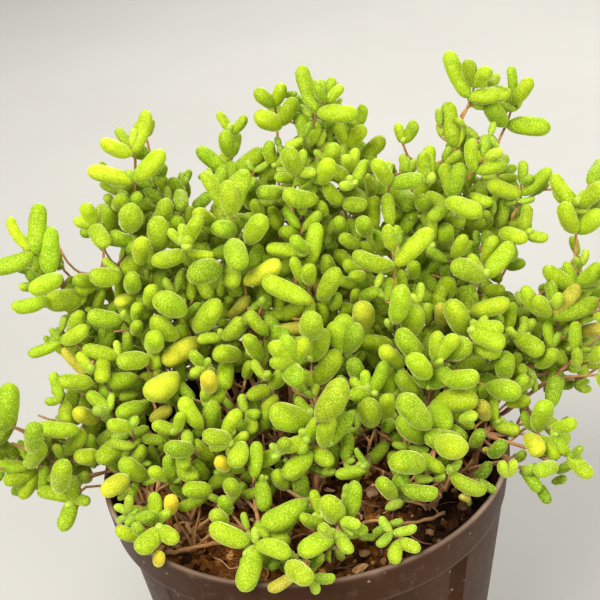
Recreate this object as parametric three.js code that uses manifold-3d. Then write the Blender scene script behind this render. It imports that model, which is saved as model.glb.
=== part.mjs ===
// A drosanthemum in its round plastic nursery pot, in millimetres, +Z up.
// The origin is the middle of the pot's underside, on the surface that the pot stands on.
// The pot holds a plug of potting soil, and many rooted stems stand in it, each one
// forked into twigs that carry pairs of fat, finger-shaped leaves. A few loose bits of
// bark, dry stem and fallen leaf lie on the soil.
import * as THREE from "three";
import { mergeVertices } from "three/addons/utils/BufferGeometryUtils.js";
import Module from "manifold-3d";

// ---- driving dimensions ---------------------------------------------------------------
const POT_HEIGHT = 62;          // top of the rim above the table
const RIM_RADIUS = 35;          // outside of the rim
const RIM_WALL = 1.0;           // thickness of the rim band
const BAND_HEIGHT = 7.0;        // height of the rim band
const BAND_BOTTOM_RADIUS = 34.2;
const WALL = 1.1;               // thickness of the wall below the band
const WALL_TOP_RADIUS = 32.8;   // outside of the wall just under the band
const BASE_RADIUS = 25.0;       // outside of the wall at the table
const BASE_THICKNESS = 1.8;
const PANEL_COUNT = 4;          // raised panels on the wall, flush with the band
const PANEL_ANGLE = 34;         // degrees
const PANEL_START = -46;        // degrees, left edge of the first panel
const PANEL_PROUD = 1.1;
const SLIT_WIDTH = 1.5;         // groove along the left edge of each panel
const SLIT_DEPTH = 0.7;
const DRAIN_HOLES = 6;
const DRAIN_RADIUS = 3.0;
const DRAIN_RING = 15.5;
const SOIL_LEVEL = 57;          // mean height of the soil
const SOIL_BUMP = 0.7;
const GAP = 0.3;                // clearance between separate pieces
const LEAF_RING = 0.56;         // where along its length a leaf is thickest
const SLIVERS = [0.14, 0.17, 0.12, 0.2, 0.1, 0.23, 0.155, 0.185, 0.26, 0.13, 0.3, 0.215, 0.08, 0.33, 0.28, 0.36, 0.4, 0.06];   // smallest detail kept where a leaf or twig joins its stem; the first that leaves no two corners touching

// ---- solids ---------------------------------------------------------------------------
const wasm = await Module();
wasm.setup();

function toSolid(geometry) {
  const g = geometry.clone();
  g.deleteAttribute("normal");
  g.deleteAttribute("uv");
  const m = mergeVertices(g, 1e-4);
  const index = m.index.array;
  const tri = [];
  for (let i = 0; i < index.length; i += 3) {
    const [a, b, c] = [index[i], index[i + 1], index[i + 2]];
    if (a !== b && b !== c && a !== c) tri.push(a, b, c);
  }
  return new wasm.Manifold(new wasm.Mesh({
    numProp: 3,
    vertProperties: new Float32Array(m.attributes.position.array),
    triVerts: new Uint32Array(tri),
  }));
}

function toGeometry(solid) {
  const mesh = solid.getMesh();
  const g = new THREE.BufferGeometry();
  const p = new Float32Array(mesh.numVert * 3);
  for (let i = 0; i < mesh.numVert; i++)
    for (let k = 0; k < 3; k++) p[3 * i + k] = mesh.vertProperties[i * mesh.numProp + k];
  g.setAttribute("position", new THREE.BufferAttribute(p, 3));
  g.setIndex(new THREE.BufferAttribute(new Uint32Array(mesh.triVerts), 1));
  g.computeVertexNormals();
  return g;
}

// join many solids pair by pair, then keep the one connected body
function joinAll(list) {
  let level = list.slice();
  while (level.length > 1) {
    const next = [];
    for (let i = 0; i < level.length; i += 2)
      next.push(i + 1 < level.length ? level[i].add(level[i + 1]) : level[i]);
    level = next;
  }
  return level[0];
}
function biggest(solid) {
  const parts = solid.decompose();
  parts.sort((a, b) => b.volume() - a.volume());
  return parts[0];
}

// no two corners of the surface may share a place to within a few micrometres
function cornersApart(solid) {
  const mesh = solid.getMesh();
  const seen = new Map();
  for (let i = 0; i < mesh.numVert; i++) {
    const [x, y, z] = [0, 1, 2].map((k) => mesh.vertProperties[i * mesh.numProp + k]);
    const cell = [x, y, z].map((v) => Math.round(v / 0.002));
    for (let a = -1; a <= 1; a++) for (let b = -1; b <= 1; b++) for (let c = -1; c <= 1; c++) {
      const near = seen.get(`${cell[0] + a},${cell[1] + b},${cell[2] + c}`);
      if (near && Math.hypot(near[0] - x, near[1] - y, near[2] - z) < 0.0018) return false;
    }
    seen.set(cell.join(","), [x, y, z]);
  }
  return true;
}
function tidied(solid, slivers) {
  let out = null;
  for (const s of slivers) {
    out = biggest(solid.simplify(s));
    if (cornersApart(out)) return out;
  }
  return out;
}

// profile points are [radius, height]
function lathe(points, segments) {
  const g = new THREE.LatheGeometry(points.map(([r, z]) => new THREE.Vector2(r, z)), segments);
  g.rotateX(Math.PI / 2);      // the lathe's own axis is Y
  return g;
}

function prism(points, z0, z1) {
  const s = new THREE.Shape(points.map(([x, y]) => new THREE.Vector2(x, y)));
  const g = new THREE.ExtrudeGeometry(s, { depth: z1 - z0, bevelEnabled: false, steps: 1 });
  g.translate(0, 0, z0);
  return g;
}

function cylinder(r, z0, z1, sides, x = 0, y = 0) {
  const g = new THREE.CylinderGeometry(r, r, z1 - z0, sides);
  g.rotateX(Math.PI / 2);
  g.translate(x, y, (z0 + z1) / 2);
  return g;
}

// ---- pot --------------------------------------------------------------------------------
const BAND_Z = POT_HEIGHT - BAND_HEIGHT;
function makePot() {
  const profile = [
    [0, 0], [BASE_RADIUS - 1.2, 0], [BASE_RADIUS, 1.0],
    [WALL_TOP_RADIUS, BAND_Z], [BAND_BOTTOM_RADIUS, BAND_Z + 0.4],
    [RIM_RADIUS, POT_HEIGHT - 0.7], [RIM_RADIUS - 0.25, POT_HEIGHT], [RIM_RADIUS - RIM_WALL + 0.2, POT_HEIGHT],
    [RIM_RADIUS - RIM_WALL, POT_HEIGHT - 0.5], [BAND_BOTTOM_RADIUS - RIM_WALL, BAND_Z + 1.6],
    [WALL_TOP_RADIUS - WALL, BAND_Z + 0.2], [BASE_RADIUS - WALL, BASE_THICKNESS], [0, BASE_THICKNESS],
  ];
  let pot = toSolid(lathe(profile, 48));
  // raised panels: a ring flush with the band, cut to sectors
  const ring = toSolid(lathe([
    [BASE_RADIUS - 0.5, 0.8], [BASE_RADIUS + PANEL_PROUD, 1.6],
    [WALL_TOP_RADIUS + PANEL_PROUD, BAND_Z + 0.2], [WALL_TOP_RADIUS - 0.5, BAND_Z + 0.2],
    [BASE_RADIUS - 0.5, 0.8],
  ], 48));
  for (let i = 0; i < PANEL_COUNT; i++) {
    const a0 = THREE.MathUtils.degToRad(PANEL_START + (360 * i) / PANEL_COUNT);
    const a1 = a0 + THREE.MathUtils.degToRad(PANEL_ANGLE);
    const R = 60;
    const sector = toSolid(prism([[0, 0], [R * Math.cos(a0), R * Math.sin(a0)],
      [R * Math.cos((a0 + a1) / 2) * 1.1, R * Math.sin((a0 + a1) / 2) * 1.1],
      [R * Math.cos(a1), R * Math.sin(a1)]], -1, BAND_Z + 2));
    pot = pot.add(ring.intersect(sector));
  }
  // slit beside each panel
  for (let i = 0; i < PANEL_COUNT; i++) {
    const a = THREE.MathUtils.degToRad(PANEL_START + (360 * i) / PANEL_COUNT) - SLIT_WIDTH / 2 / WALL_TOP_RADIUS;
    const box = new THREE.BoxGeometry(12, SLIT_WIDTH, BAND_Z - 6);
    box.translate(6, 0, 0);
    const slope = Math.atan2(WALL_TOP_RADIUS - BASE_RADIUS, BAND_Z - 1);
    box.rotateY(slope);
    const zm = BAND_Z / 2;
    box.translate((BASE_RADIUS + WALL_TOP_RADIUS) / 2 - SLIT_DEPTH, 0, zm);
    box.rotateZ(a);
    pot = pot.subtract(toSolid(box));
  }
  for (let i = 0; i < DRAIN_HOLES; i++) {
    const a = (2 * Math.PI * (i + 0.5)) / DRAIN_HOLES;
    pot = pot.subtract(toSolid(cylinder(DRAIN_RADIUS, -1, BASE_THICKNESS + 0.1, 10,
      DRAIN_RING * Math.cos(a), DRAIN_RING * Math.sin(a))));
  }
  return tidied(pot.asOriginal(), [0.01, 0.015, 0.02, 0.03]);
}

// ---- soil -------------------------------------------------------------------------------
function soilHeight(x, y) {
  return SOIL_LEVEL + SOIL_BUMP * (0.6 * Math.sin(x * 0.23 + 1.1) * Math.cos(y * 0.19 - 0.4)
    + 0.4 * Math.sin(x * 0.41 - y * 0.37 + 2.0)) - 0.0006 * (x * x + y * y);
}
function soilRadius(z) {
  const inner = (BASE_RADIUS - WALL) + ((WALL_TOP_RADIUS - BASE_RADIUS) * (z - BASE_THICKNESS)) / (BAND_Z + 0.2 - BASE_THICKNESS);
  return inner - GAP - 0.12;
}
function makeSoil(feet) {
  const z0 = BASE_THICKNESS + GAP;
  const top = BAND_Z - 0.4;
  const profile = [[0, z0], [soilRadius(z0), z0], [soilRadius(top), top], [soilRadius(top) - 0.1, SOIL_LEVEL - 1.2],
    [24, SOIL_LEVEL], [16, SOIL_LEVEL], [8, SOIL_LEVEL], [0, SOIL_LEVEL]];
  const g = lathe(profile, 24);
  const p = g.attributes.position;
  for (let i = 0; i < p.count; i++) {
    if (p.getZ(i) > SOIL_LEVEL - 2) {
      const x = p.getX(i), y = p.getY(i);
      p.setZ(i, soilHeight(x, y) - (p.getZ(i) < SOIL_LEVEL - 0.5 ? 0.5 : 0));
    }
  }
  let soil = toSolid(g);
  // pockets for the rooted ends of the stems
  for (const [x, y, z, r] of feet)
    soil = soil.subtract(toSolid(cylinder((r + GAP) * 1.42, z - GAP, SOIL_LEVEL + 4, 4, x, y)));
  return tidied(soil.asOriginal(), [0.01, 0.02, 0.03]);
}

// ---- stems and leaves ---------------------------------------------------------------------
function tube(radius, flat, endLeaf) {
  const pts = [];
  for (let i = 0; i < flat.length; i += 3) pts.push(new THREE.Vector3(flat[i], flat[i + 1], flat[i + 2]));
  // a section of three sides, swept from point to point
  const pos = [], idx = [];
  let up = new THREE.Vector3(1, 0, 0);
  const sides = 3;
  const radii = pts.map((p, i) => radius * (i === pts.length - 1 ? 0.8 : 1));
  let tip = null;
  if (endLeaf) {
    // the last leaf carries on from the end of the twig: one wide ring, then a point
    const [x, y, z, width] = endLeaf;
    tip = new THREE.Vector3(x, y, z);
    pts.push(pts[pts.length - 1].clone().lerp(tip, LEAF_RING));
    radii.push(width / 2);
  }
  const n = pts.length;
  for (let i = 0; i < n; i++) {
    const ahead = i + 1 < n ? pts[i + 1] : tip && i === n - 1 ? tip : pts[i];
    const t = new THREE.Vector3().subVectors(ahead, pts[Math.max(0, i - 1)]).normalize();
    let u = new THREE.Vector3().copy(up).addScaledVector(t, -up.dot(t));
    if (u.length() < 0.2) u = new THREE.Vector3(0, 1, 0).addScaledVector(t, -t.y);
    u.normalize(); up = u;
    const w = new THREE.Vector3().crossVectors(t, u);
    const r = radii[i];
    for (let k = 0; k < sides; k++) {
      const a = (2 * Math.PI * k) / sides;
      const q = pts[i].clone().addScaledVector(u, r * Math.cos(a)).addScaledVector(w, r * Math.sin(a));
      pos.push(q.x, q.y, q.z);
    }
  }
  for (let i = 0; i + 1 < n; i++)
    for (let k = 0; k < sides; k++) {
      const a = i * sides + k, b = i * sides + ((k + 1) % sides), c = a + sides, d = b + sides;
      idx.push(a, b, c, b, d, c);
    }
  idx.push(0, 2, 1);
  const e = (n - 1) * sides;
  if (tip) {
    pos.push(tip.x, tip.y, tip.z);
    for (let k = 0; k < sides; k++) idx.push(e + k, e + ((k + 1) % sides), e + sides);
  } else idx.push(e, e + 1, e + 2);
  const g = new THREE.BufferGeometry();
  g.setAttribute("position", new THREE.Float32BufferAttribute(pos, 3));
  g.setIndex(idx);
  return g;
}

function leaf(b, t, width, sides = 3) {
  const from = new THREE.Vector3(...b), to = new THREE.Vector3(...t);
  const dir = new THREE.Vector3().subVectors(to, from);
  const len = dir.length();
  const g = new THREE.LatheGeometry([new THREE.Vector2(0, 0), new THREE.Vector2(width / 2, len * LEAF_RING), new THREE.Vector2(0, len)], sides);
  g.applyQuaternion(new THREE.Quaternion().setFromUnitVectors(new THREE.Vector3(0, 1, 0), dir.normalize()));
  g.translate(from.x, from.y, from.z);
  return g;
}

function makeStem(row) {
  const list = row.twigs.map(([r, points, endLeaf]) => toSolid(tube(r, points, endLeaf)));
  for (const [bx, by, bz, tx, ty, tz, w] of row.leaves) list.push(toSolid(leaf([bx, by, bz], [tx, ty, tz], w)));
  return tidied(joinAll(list).asOriginal(), SLIVERS);
}

// each rooted stem: its twigs are [radius, [points from foot to tip], [tip and width of the
// leaf at the twig's end]], its other leaves are [base x, y, z, tip x, y, z, width]
const STEMS = [
  { name: "leafy_stem_01", twigs: [[0.60,[27.4,0.3,54.6,27.4,0.3,58.2,36.9,-0.3,72.1,52.9,-1.5,87.2]],[0.42,[36.9,-0.3,72.1,50.8,4.4,70.3],[52.5,1.8,74.8,2.7]],[0.42,[38.3,-0.4,73.4,38.4,4.7,76.6]],[0.42,[29.3,0.2,61,34.6,2.1,63.6,53.2,1.1,63.6]],[0.42,[41,1.1,71.6,41.2,3.4,71.4]],[0.42,[35.7,-0.2,70.3,35.4,1.2,71.1],[34.9,-1.6,77.7,3.3]],[0.42,[34.1,1.9,63.3,44,-1,64.2,46.1,-2.1,69.6],[50.1,-4.7,75,3.6]]],
    leaves: [[38.4,4.7,76.6,41.6,-0.4,76.2,3.3],[41.2,3.4,71.4,43.9,0,75.8,3.0],[46.1,-2.1,69.6,44.1,-2.4,75,2.5],[41.6,1.7,63.6,45.3,-3.1,59,3.2]] },
  { name: "leafy_stem_02", twigs: [[0.60,[-9.7,16.3,54.6,-9.7,16.3,58.2,-15.6,22.5,80.1,-15.8,23.1,86.3,-20.9,29.9,103.8,-21.5,32.4,110.1]],[0.42,[-18.3,26.4,94.8,-26,33.5,95.1,-27.1,37.5,99.6]],[0.42,[-24.5,32.1,95,-23.8,38.9,92.8,-24.7,41,94.3]],[0.42,[-24,37.3,93.3,-16.2,39.9,90.7,-17.4,43.6,95.5]],[0.42,[-16.3,23.9,88.1,-20.5,33.6,87.5]],[0.42,[-18.2,28.2,87.9,-15,33,89.1,-16,34.6,91.5]],[0.42,[-19.7,31.8,87.6,-23.8,32.4,85.6,-28,36.5,90.3]],[0.42,[-15.9,31.6,88.7,-14.2,37.4,84.6,-14.7,41.7,89.6]],[0.42,[-15.6,22.5,80.1,-18.6,28.7,80.4]],[0.42,[-17.8,27.2,80.3,-16.8,31.8,78.1,-16.6,39.1,82.3]]],
    leaves: [[-26.6,35.8,97.7,-29.2,42.6,96.8,3.0],[-26,33.5,95.1,-33.3,35.2,96.2,3.2],[-26,33.5,95.1,-20.1,36.3,97.9,3.2],[-26.4,35,88.5,-33.2,33.9,91,3.3],[-26.4,35,88.5,-24.4,40.5,92.7,3.3],[-23.8,32.4,85.6,-22.8,30.3,93.1,3.1],[-23.8,32.4,85.6,-28.1,37.1,80,3.1],[-14.2,37.4,84.6,-16.9,35.1,90.4,3.0],[-14.2,37.4,84.6,-13.4,44.3,83.1,3.0],[-16.2,39.9,90.7,-22.9,39.4,93,3.0],[-16.7,36,80.5,-13.3,41.8,79,3.1],[-16.8,31.8,78.1,-10.2,32.1,83.8,3.4],[-21.2,31.1,106.7,-25.9,30.9,111.1,3.4],[-17.5,26.6,88,-13.1,30.4,83,3.2],[-16.9,25.2,80.2,-17.5,28.3,74.2,3.1]] },
  { name: "leafy_stem_03", twigs: [[0.60,[11.8,13.4,54.6,11.8,13.4,58.2,12.7,24.3,73.5,13.6,28.2,86.4,11.7,27.8,94.9,12.2,27.2,97.2,11.7,24.7,96.4],[15.4,19.9,97.7,2.9]],[0.42,[13.3,26.8,81.8,19.6,24.2,86.3,19.7,24.2,97,19.4,18.9,93.6]],[0.42,[16.5,25.5,84.1,22,25.9,82.2,23.1,27.2,84.5]],[0.42,[20.2,25.7,82.9,22.8,18,83.4],[22.6,15.2,87.8,2.6]]],
    leaves: [[11.7,24.7,96.4,8.9,22.3,101.4,2.9]] },
  { name: "leafy_stem_04", twigs: [[0.60,[-7.6,-17.5,54.6,-7.6,-17.5,58.2,-9.7,-29.4,66.5],[-15.4,-30,71,3.2]],[0.42,[-9.2,-26.7,64.6,-7.9,-27.8,67.5,-8.9,-30.5,66.9],[-11.6,-35.3,62.3,3.6]],[0.42,[-8.2,-21.2,60.8,-8.6,-15.7,68.6],[-7.4,-13,73.7,2.3]],[0.42,[-8.5,-16.8,67.1,-7.5,-14.4,66.7]],[0.42,[-8.2,-21.1,61,-13.6,-21.2,64.7],[-15,-24.5,69,2.6]],[0.42,[-8.4,-18.9,64.1,-11.9,-14.5,65],[-12.5,-17.7,69.8,2.7]],[0.42,[-8.2,-21.1,61,-6.6,-20.6,62.4],[-4.6,-26.1,62.9,2.9]]],
    leaves: [[-7.5,-14.4,66.7,-7.4,-18.7,64.1,2.7],[-8.9,-30.5,66.9,-4.1,-34.7,67.5,3.0]] },
  { name: "leafy_stem_05", twigs: [[0.60,[12.9,-8.8,54.6,12.9,-8.8,58.2,17,-6.9,66.7,23.6,-6.3,77.3],[28.8,-10.8,79.5,3.7]],[0.42,[20.8,-6.5,72.8,21.6,-3.9,76.5],[18.6,-7.4,82.6,3.6]],[0.42,[18.9,-6.7,69.8,22.7,-7.8,68.9,25.7,-9.7,71]],[0.42,[22.7,-7.8,68.9,21.6,-14,73,21.1,-16.2,72.1]],[0.42,[21.9,-12.5,72,20.1,-14,73.1],[15.9,-15.3,80.5,4.4]],[0.42,[18.9,-6.7,69.8,22.7,-4.2,71.8],[28.8,-8.8,73.9,4.4]],[0.42,[21.6,-14,73,19.3,-19,68.1,14.4,-21.2,67.3]],[0.42,[20.5,-16.3,70.7,18.5,-17.8,68.6],[13.3,-22.1,73.1,4.2]],[0.42,[16.2,-7.2,65.1,12.7,-5.2,67.2,11.5,-8,71],[10.9,-11.7,77.8,3.8]],[0.42,[16.1,-20.5,67.6,13.1,-20.8,65.2],[11,-23.3,70.9,2.8]],[0.42,[17,-6.9,66.7,20.3,-9.7,67.8],[15.7,-12.3,74.4,4.1]],[0.42,[12.7,-5.2,67.2,14.5,-3.8,68.7],[14.4,-6,75.1,2.9]],[0.42,[13.8,-8.3,60.2,16.1,-10.8,59.8,17.8,-10.9,61.9]]],
    leaves: [[14.4,-21.2,67.3,19.7,-24.4,68,2.8],[16.1,-10.8,59.8,14.2,-8,65.2,2.9]] },
  { name: "leafy_stem_06", twigs: [[0.60,[6.7,11,54.6,6.7,11,58.2,8.9,14.3,63,13.6,24.5,94.4,14.1,25.9,102]],[0.42,[13.8,25.1,97.5,13.2,18.2,102.6]],[0.42,[13.7,23.8,98.4,10.1,22.9,102,8.3,22.5,101.7],[9.7,18.9,107.2,3.4]],[0.42,[13.6,24.5,94.4,19.6,21,98.6,19.6,20.5,102.4]],[0.42,[13.4,24,92.8,17.1,26.5,97.2]],[0.42,[12.9,23,89.6,17.1,23.5,91.4],[17.2,23.7,97.5,2.8]],[0.42,[14.3,23.1,90.2,15.1,18.7,92.7],[14.3,14.4,97.7,3.2]],[0.42,[12.7,22.4,87.9,11.5,25,90.4],[10.6,21.7,95,2.8]],[0.42,[12.4,21.8,86.1,13.6,19.6,90.1],[10.5,17,93.7,2.6]]],
    leaves: [[19.6,20.7,101.1,25.2,16.5,103,3.2],[19.6,20.7,101.1,17.5,17,106.8,3.3],[15.8,25.6,95.6,12.4,30.9,97.1,2.8]] },
  { name: "leafy_stem_07", twigs: [[0.60,[-14,12.8,54.6,-14,12.8,58.2,-21,21.7,80.5,-29.4,31.3,103.3]],[0.42,[-26.9,28.4,96.5,-24.1,24.9,102.3,-23.8,25.8,110.8]],[0.42,[-26.9,28.4,96.5,-28.5,28.2,98.9],[-26.6,24.2,102.8,2.8]],[0.42,[-25.2,26.5,92,-25.6,20.5,97.8],[-24.6,16.3,104.1,4.1]],[0.42,[-25.2,26.5,92,-30.5,30.7,92.5],[-29.8,28.6,99.3,3.3]],[0.42,[-25.4,24.1,94.3,-21.4,22.7,97],[-18.6,20,102.8,3.2]],[0.42,[-25.4,24.1,94.3,-25.3,22.3,95],[-29,18.8,98,2.9]],[0.42,[-25.3,23.3,94.6,-21,18.9,94.1],[-20.5,16.2,101.4,4.0]],[0.42,[-22.4,20.3,94.3,-24.1,15.2,93.6],[-23,12.3,99.6,3.2]],[0.42,[-24.1,25.2,88.8,-27.9,25,90.4,-27.9,24.4,92.3,-27.9,22.5,92]],[0.42,[-27.9,22.5,92,-28.2,16.7,91.4],[-32.5,12,94.2,3.6]],[0.42,[-24.1,25.2,88.8,-24.9,24,90.9],[-27.6,17.1,91.6,3.8]],[0.42,[-22.9,23.8,85.5,-27.8,22.1,88.2,-32,20.5,99.4],[-32.3,18.5,104.5,2.7]],[0.42,[-26.5,22.6,87.5,-26.4,16.5,88],[-25.8,12.6,93.2,3.0]],[0.42,[-26.5,20.5,87.7,-26.8,17.8,85.9],[-29.3,13.2,87.5,2.7]]],
    leaves: [[-23.9,25.7,109.7,-28.3,23,113.7,3.2],[-23.9,25.7,109.7,-20.4,28.9,116.2,2.8],[-24,25.2,105.2,-32,25.6,107.8,3.5],[-24,25.2,105.2,-18.1,23.8,110.3,3.4],[-32,20.5,99.4,-29.4,13.8,98.4,3.2]] },
  { name: "leafy_stem_08", twigs: [[0.60,[-22.9,-1.9,54.6,-22.9,-1.9,58.2,-32,0.7,73.7]],[0.42,[-29.3,-0.1,69.2,-34.8,3.6,70.6],[-37.6,0.2,75,3.0]],[0.42,[-27.5,-0.6,66.1,-35.4,-0.8,67]],[0.42,[-31.7,-0.7,66.6,-34,-3.8,68.1],[-37.6,-7.5,71,2.9]],[0.42,[-28.4,-0.3,67.7,-30.3,-2.4,70.3],[-33.8,-8.1,69.9,3.4]]],
    leaves: [[-31.6,1.5,69.8,-35.5,5.1,65.1,3.2]] },
  { name: "leafy_stem_09", twigs: [[0.60,[-5.7,9.7,54.6,-5.7,9.7,58.2,-7.5,13.4,67.3,-11.5,19.5,81.2,-16.9,26.1,101.9]],[0.42,[-14.3,22.9,91.7,-11.3,23.8,96],[-13.9,19.8,100.3,3.1]],[0.42,[-14.3,22.9,91.7,-17,23.2,94.6],[-17.9,20.4,99.3,2.7]],[0.42,[-12.3,23.5,94.6,-7.9,21.2,96.6,-6.2,18,97.3,-7.9,16.1,100.2],[-7.9,14.7,107.3,3.5]],[0.42,[-9.4,22,95.9,-7.9,20.4,95.2],[-10.8,15.3,98.7,3.4]],[0.42,[-7.9,21.2,96.6,-6.9,19.1,96.9,-8.3,15.6,96],[-7.3,7.8,94.4,4.0]],[0.42,[-7.9,20.4,95.2,-5.7,17,94.4],[-2.5,13.8,100.4,3.7]],[0.42,[-8.7,21.2,95.6,-9.1,18.9,93.2]],[0.42,[-12.9,21.3,86.7,-16.9,15.9,91.2,-16.1,14.7,96.3],[-12.9,13.1,102.1,3.0]],[0.42,[-9.1,18.9,93.2,-10.8,12.9,92.3],[-15.4,6.8,94.4,4.5]],[0.42,[-9.6,17.1,92.9,-8.6,16.6,90.1],[-9.2,9.9,90.4,3.2]],[0.42,[-11.5,19.5,81.2,-8.3,19.6,86.6],[-9,12.9,87.4,3.3]],[0.42,[-10,17.2,75.9,-7.1,21.6,77.2,-6.4,21,84,-10.5,15.5,81]]],
    leaves: [[-16.9,26.1,101.9,-16.5,20.7,100.6,2.6],[-16.3,14.9,95.2,-21.6,9.6,96.4,3.5],[-7.9,16.1,100.2,-4.5,19.7,107,3.3],[-7.9,16.1,100.2,-11.8,20,107.4,3.0],[-10.5,15.5,81,-6.7,14,85.7,2.7]] },
  { name: "leafy_stem_10", twigs: [[0.60,[22.4,16.4,54.6,22.4,16.4,58.2,24.7,19.4,63.3,30.4,25.7,75,32.6,28.1,79,35.9,33.5,82.4]],[0.42,[30.4,25.7,75,27.5,31.6,77.5,29,37.3,81.8]],[0.42,[29,24.1,72.1,37.7,24.3,73.1,41.4,28.3,78.1]],[0.42,[28.3,23.4,70.7,29.7,29.5,72,31.9,34.9,75.8]],[0.42,[25.7,20.5,65.4,27.7,32.6,64.2,28,35,65.9]],[0.42,[26.7,26.3,64.8,25.1,28.3,63.6,25.3,31.7,63.6]],[0.42,[24.7,19.4,63.3,31.3,20.4,63.6,37.7,24.9,63.6]],[0.42,[29.6,20.2,63.5,31.6,29.8,63.6]]],
    leaves: [[28.5,35.2,80.3,23.8,38.7,82.9,3.3],[28.5,35.2,80.3,34.3,36.7,81.8,3.3],[27.5,31.6,77.5,27.4,29.2,85.3,3.2],[27.5,31.6,77.5,28.8,38.7,74.2,3.2],[29.7,29.5,72,35.4,27.4,76.3,3.1],[27.7,32.6,64.2,31.4,37.5,61.9,3.1],[32.6,28.1,79,30.3,34.3,81.7,2.6],[32.6,28.1,79,39.7,27.9,78.6,2.6],[37.7,24.3,73.1,36,22.1,79.1,3.3],[37.7,24.3,73.1,41.7,28.3,71.1,3.3],[25.4,27.9,63.8,29.9,26.8,57.1,3.2],[30.2,20.3,63.5,36.6,16.7,62.7,3.3]] },
  { name: "leafy_stem_11", twigs: [[0.60,[12.8,2.3,54.6,12.8,2.3,58.2,20.5,13.9,82.2]],[0.42,[19.6,12.6,79.4,18.6,10.5,83.5,18.4,10,93.4]],[0.42,[18.6,10.5,83.5,17.3,1.8,83.9],[18.7,0.2,91.5,3.9]],[0.42,[18.7,11.1,76.5,22.1,9.8,80.3,22.2,9,83]],[0.42,[20.9,10.2,79,23.5,8.5,79.4]],[0.42,[23.5,8.5,79.4,23.2,-3.2,78.5],[26.4,-4.8,84,2.9]],[0.42,[22.2,9.4,79.2,20.8,6.3,78.8],[20.4,2.6,86,4.3]],[0.42,[23.3,3.7,79,25.2,1.9,77.2],[28.2,-3.5,81.5,4.2]],[0.42,[17.7,9.7,73.4,17.2,9.7,75.1],[11.8,5.7,78.4,3.4]],[0.42,[17.2,9.7,75.1,17.9,1.3,75.8],[14.7,-1.7,81.5,3.3]],[0.42,[17.7,4.5,75.5,21.9,1.6,72.6,21.1,0.5,77.6],[17.5,-1.8,84.4,3.7]],[0.42,[20.5,2.6,73.5,20.2,0.2,70.9],[17.1,-2.9,76.8,3.3]],[0.42,[15.2,5.9,65.7,14.5,1.8,69.9],[15.9,-1.1,75.7,3.0]]],
    leaves: [[18.5,10.1,90.6,11.7,8,94.4,3.6],[18.5,10.1,90.6,25.7,12.1,95.4,3.4],[23.2,-2.9,78.5,23.7,-3.6,84.4,2.6],[25.2,1.9,77.2,27,-0.7,81.6,2.6]] },
  { name: "leafy_stem_12", twigs: [[0.60,[-19.8,-17.3,54.6,-19.8,-17.3,58.2,-28.8,-19.6,67.7]],[0.42,[-25.2,-18.7,63.9,-23.7,-23.5,66.8],[-20.8,-28.2,67.6,2.6]],[0.42,[-23.7,-18.3,62.3,-22.7,-16.5,64.4],[-21.9,-19.1,69.2,2.5]]],
    leaves: [[-23.7,-23.5,66.8,-26.6,-29.1,67.3,3.5]] },
  { name: "leafy_stem_13", twigs: [[0.60,[-28,-4.4,54.6,-28,-4.4,58.2,-31.6,-2.5,63.3,-40.9,-2.6,67.8,-46.8,-1.3,73,-54.6,-1.5,77.7]],[0.42,[-43.3,-2.1,69.9,-44.7,-7.7,77.6,-49.2,-9.7,81.5]],[0.42,[-40.9,-2.6,67.8,-45.6,-5.6,69.4],[-51.6,-5.2,69.7,2.2]],[0.42,[-41.8,-3.2,68.1,-45.1,-3.3,66.4],[-48.3,-7,63.6,2.6]],[0.42,[-39.3,-2.6,67,-44,-3.7,66.6,-48.5,-5.6,76.4,-43.8,-9.8,74.5],[-41.9,-12.1,81.2,3.2]],[0.42,[-43.6,-4.3,68.7,-43.4,-7.8,68.2,-40.2,-12.3,67.8],[-38.2,-14.5,75,3.5]],[0.42,[-37.7,-2.6,66.3,-40.2,-1.8,68],[-36.4,-2.9,72.9,2.6]],[0.42,[-36.2,-2.5,65.5,-38.5,-2.7,71.6,-36.7,-3.7,73.7],[-43,-5.3,76.2,3.3]]],
    leaves: [[-48.5,-5.6,76.4,-46,-4.6,84.7,4.2],[-45.6,-5.6,69.4,-42.2,-8.9,74.8,3.2],[-45.1,-3.3,66.4,-50.2,-7,67.1,3.1],[-47.3,-8.8,79.8,-54.2,-9.2,78.7,2.9]] },
  { name: "leafy_stem_14", twigs: [[0.60,[0.4,-9.3,54.6,0.4,-9.3,58.2,2.4,-15.3,77.9],[7.2,-15.8,85,4.9]],[0.42,[1.2,-11.7,66.3,1.7,-6.2,72],[-4.5,-9.5,76.8,5.0]],[0.42,[1.4,-12.2,67.9,3.1,-12.6,71],[8.1,-12.5,76.4,3.2]],[0.42,[1.3,-11.2,66.8,0.4,-10.2,71.3],[2.8,-12.2,76,2.7]],[0.42,[1.2,-11.7,66.3,1,-10.7,68.8],[-3.5,-16.2,68.4,3.5]],[0.42,[0.9,-10.7,63,1.2,-8,67.3]],[0.42,[0.7,-10.2,61.4,1,-17,62.2,-4,-18.4,67.9,-0.4,-21.8,67.2]],[0.42,[0.5,-9.8,59.7,-3.8,-11.3,62.7],[-4.9,-14.4,68.2,2.8]],[0.42,[0.5,-9.8,59.7,-4,-4.2,59.1,-3.3,-5,61.5]],[0.42,[-0.9,-10.3,60.7,-1.1,-12.1,60.4],[-1.4,-13.9,67,2.8]]],
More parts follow.
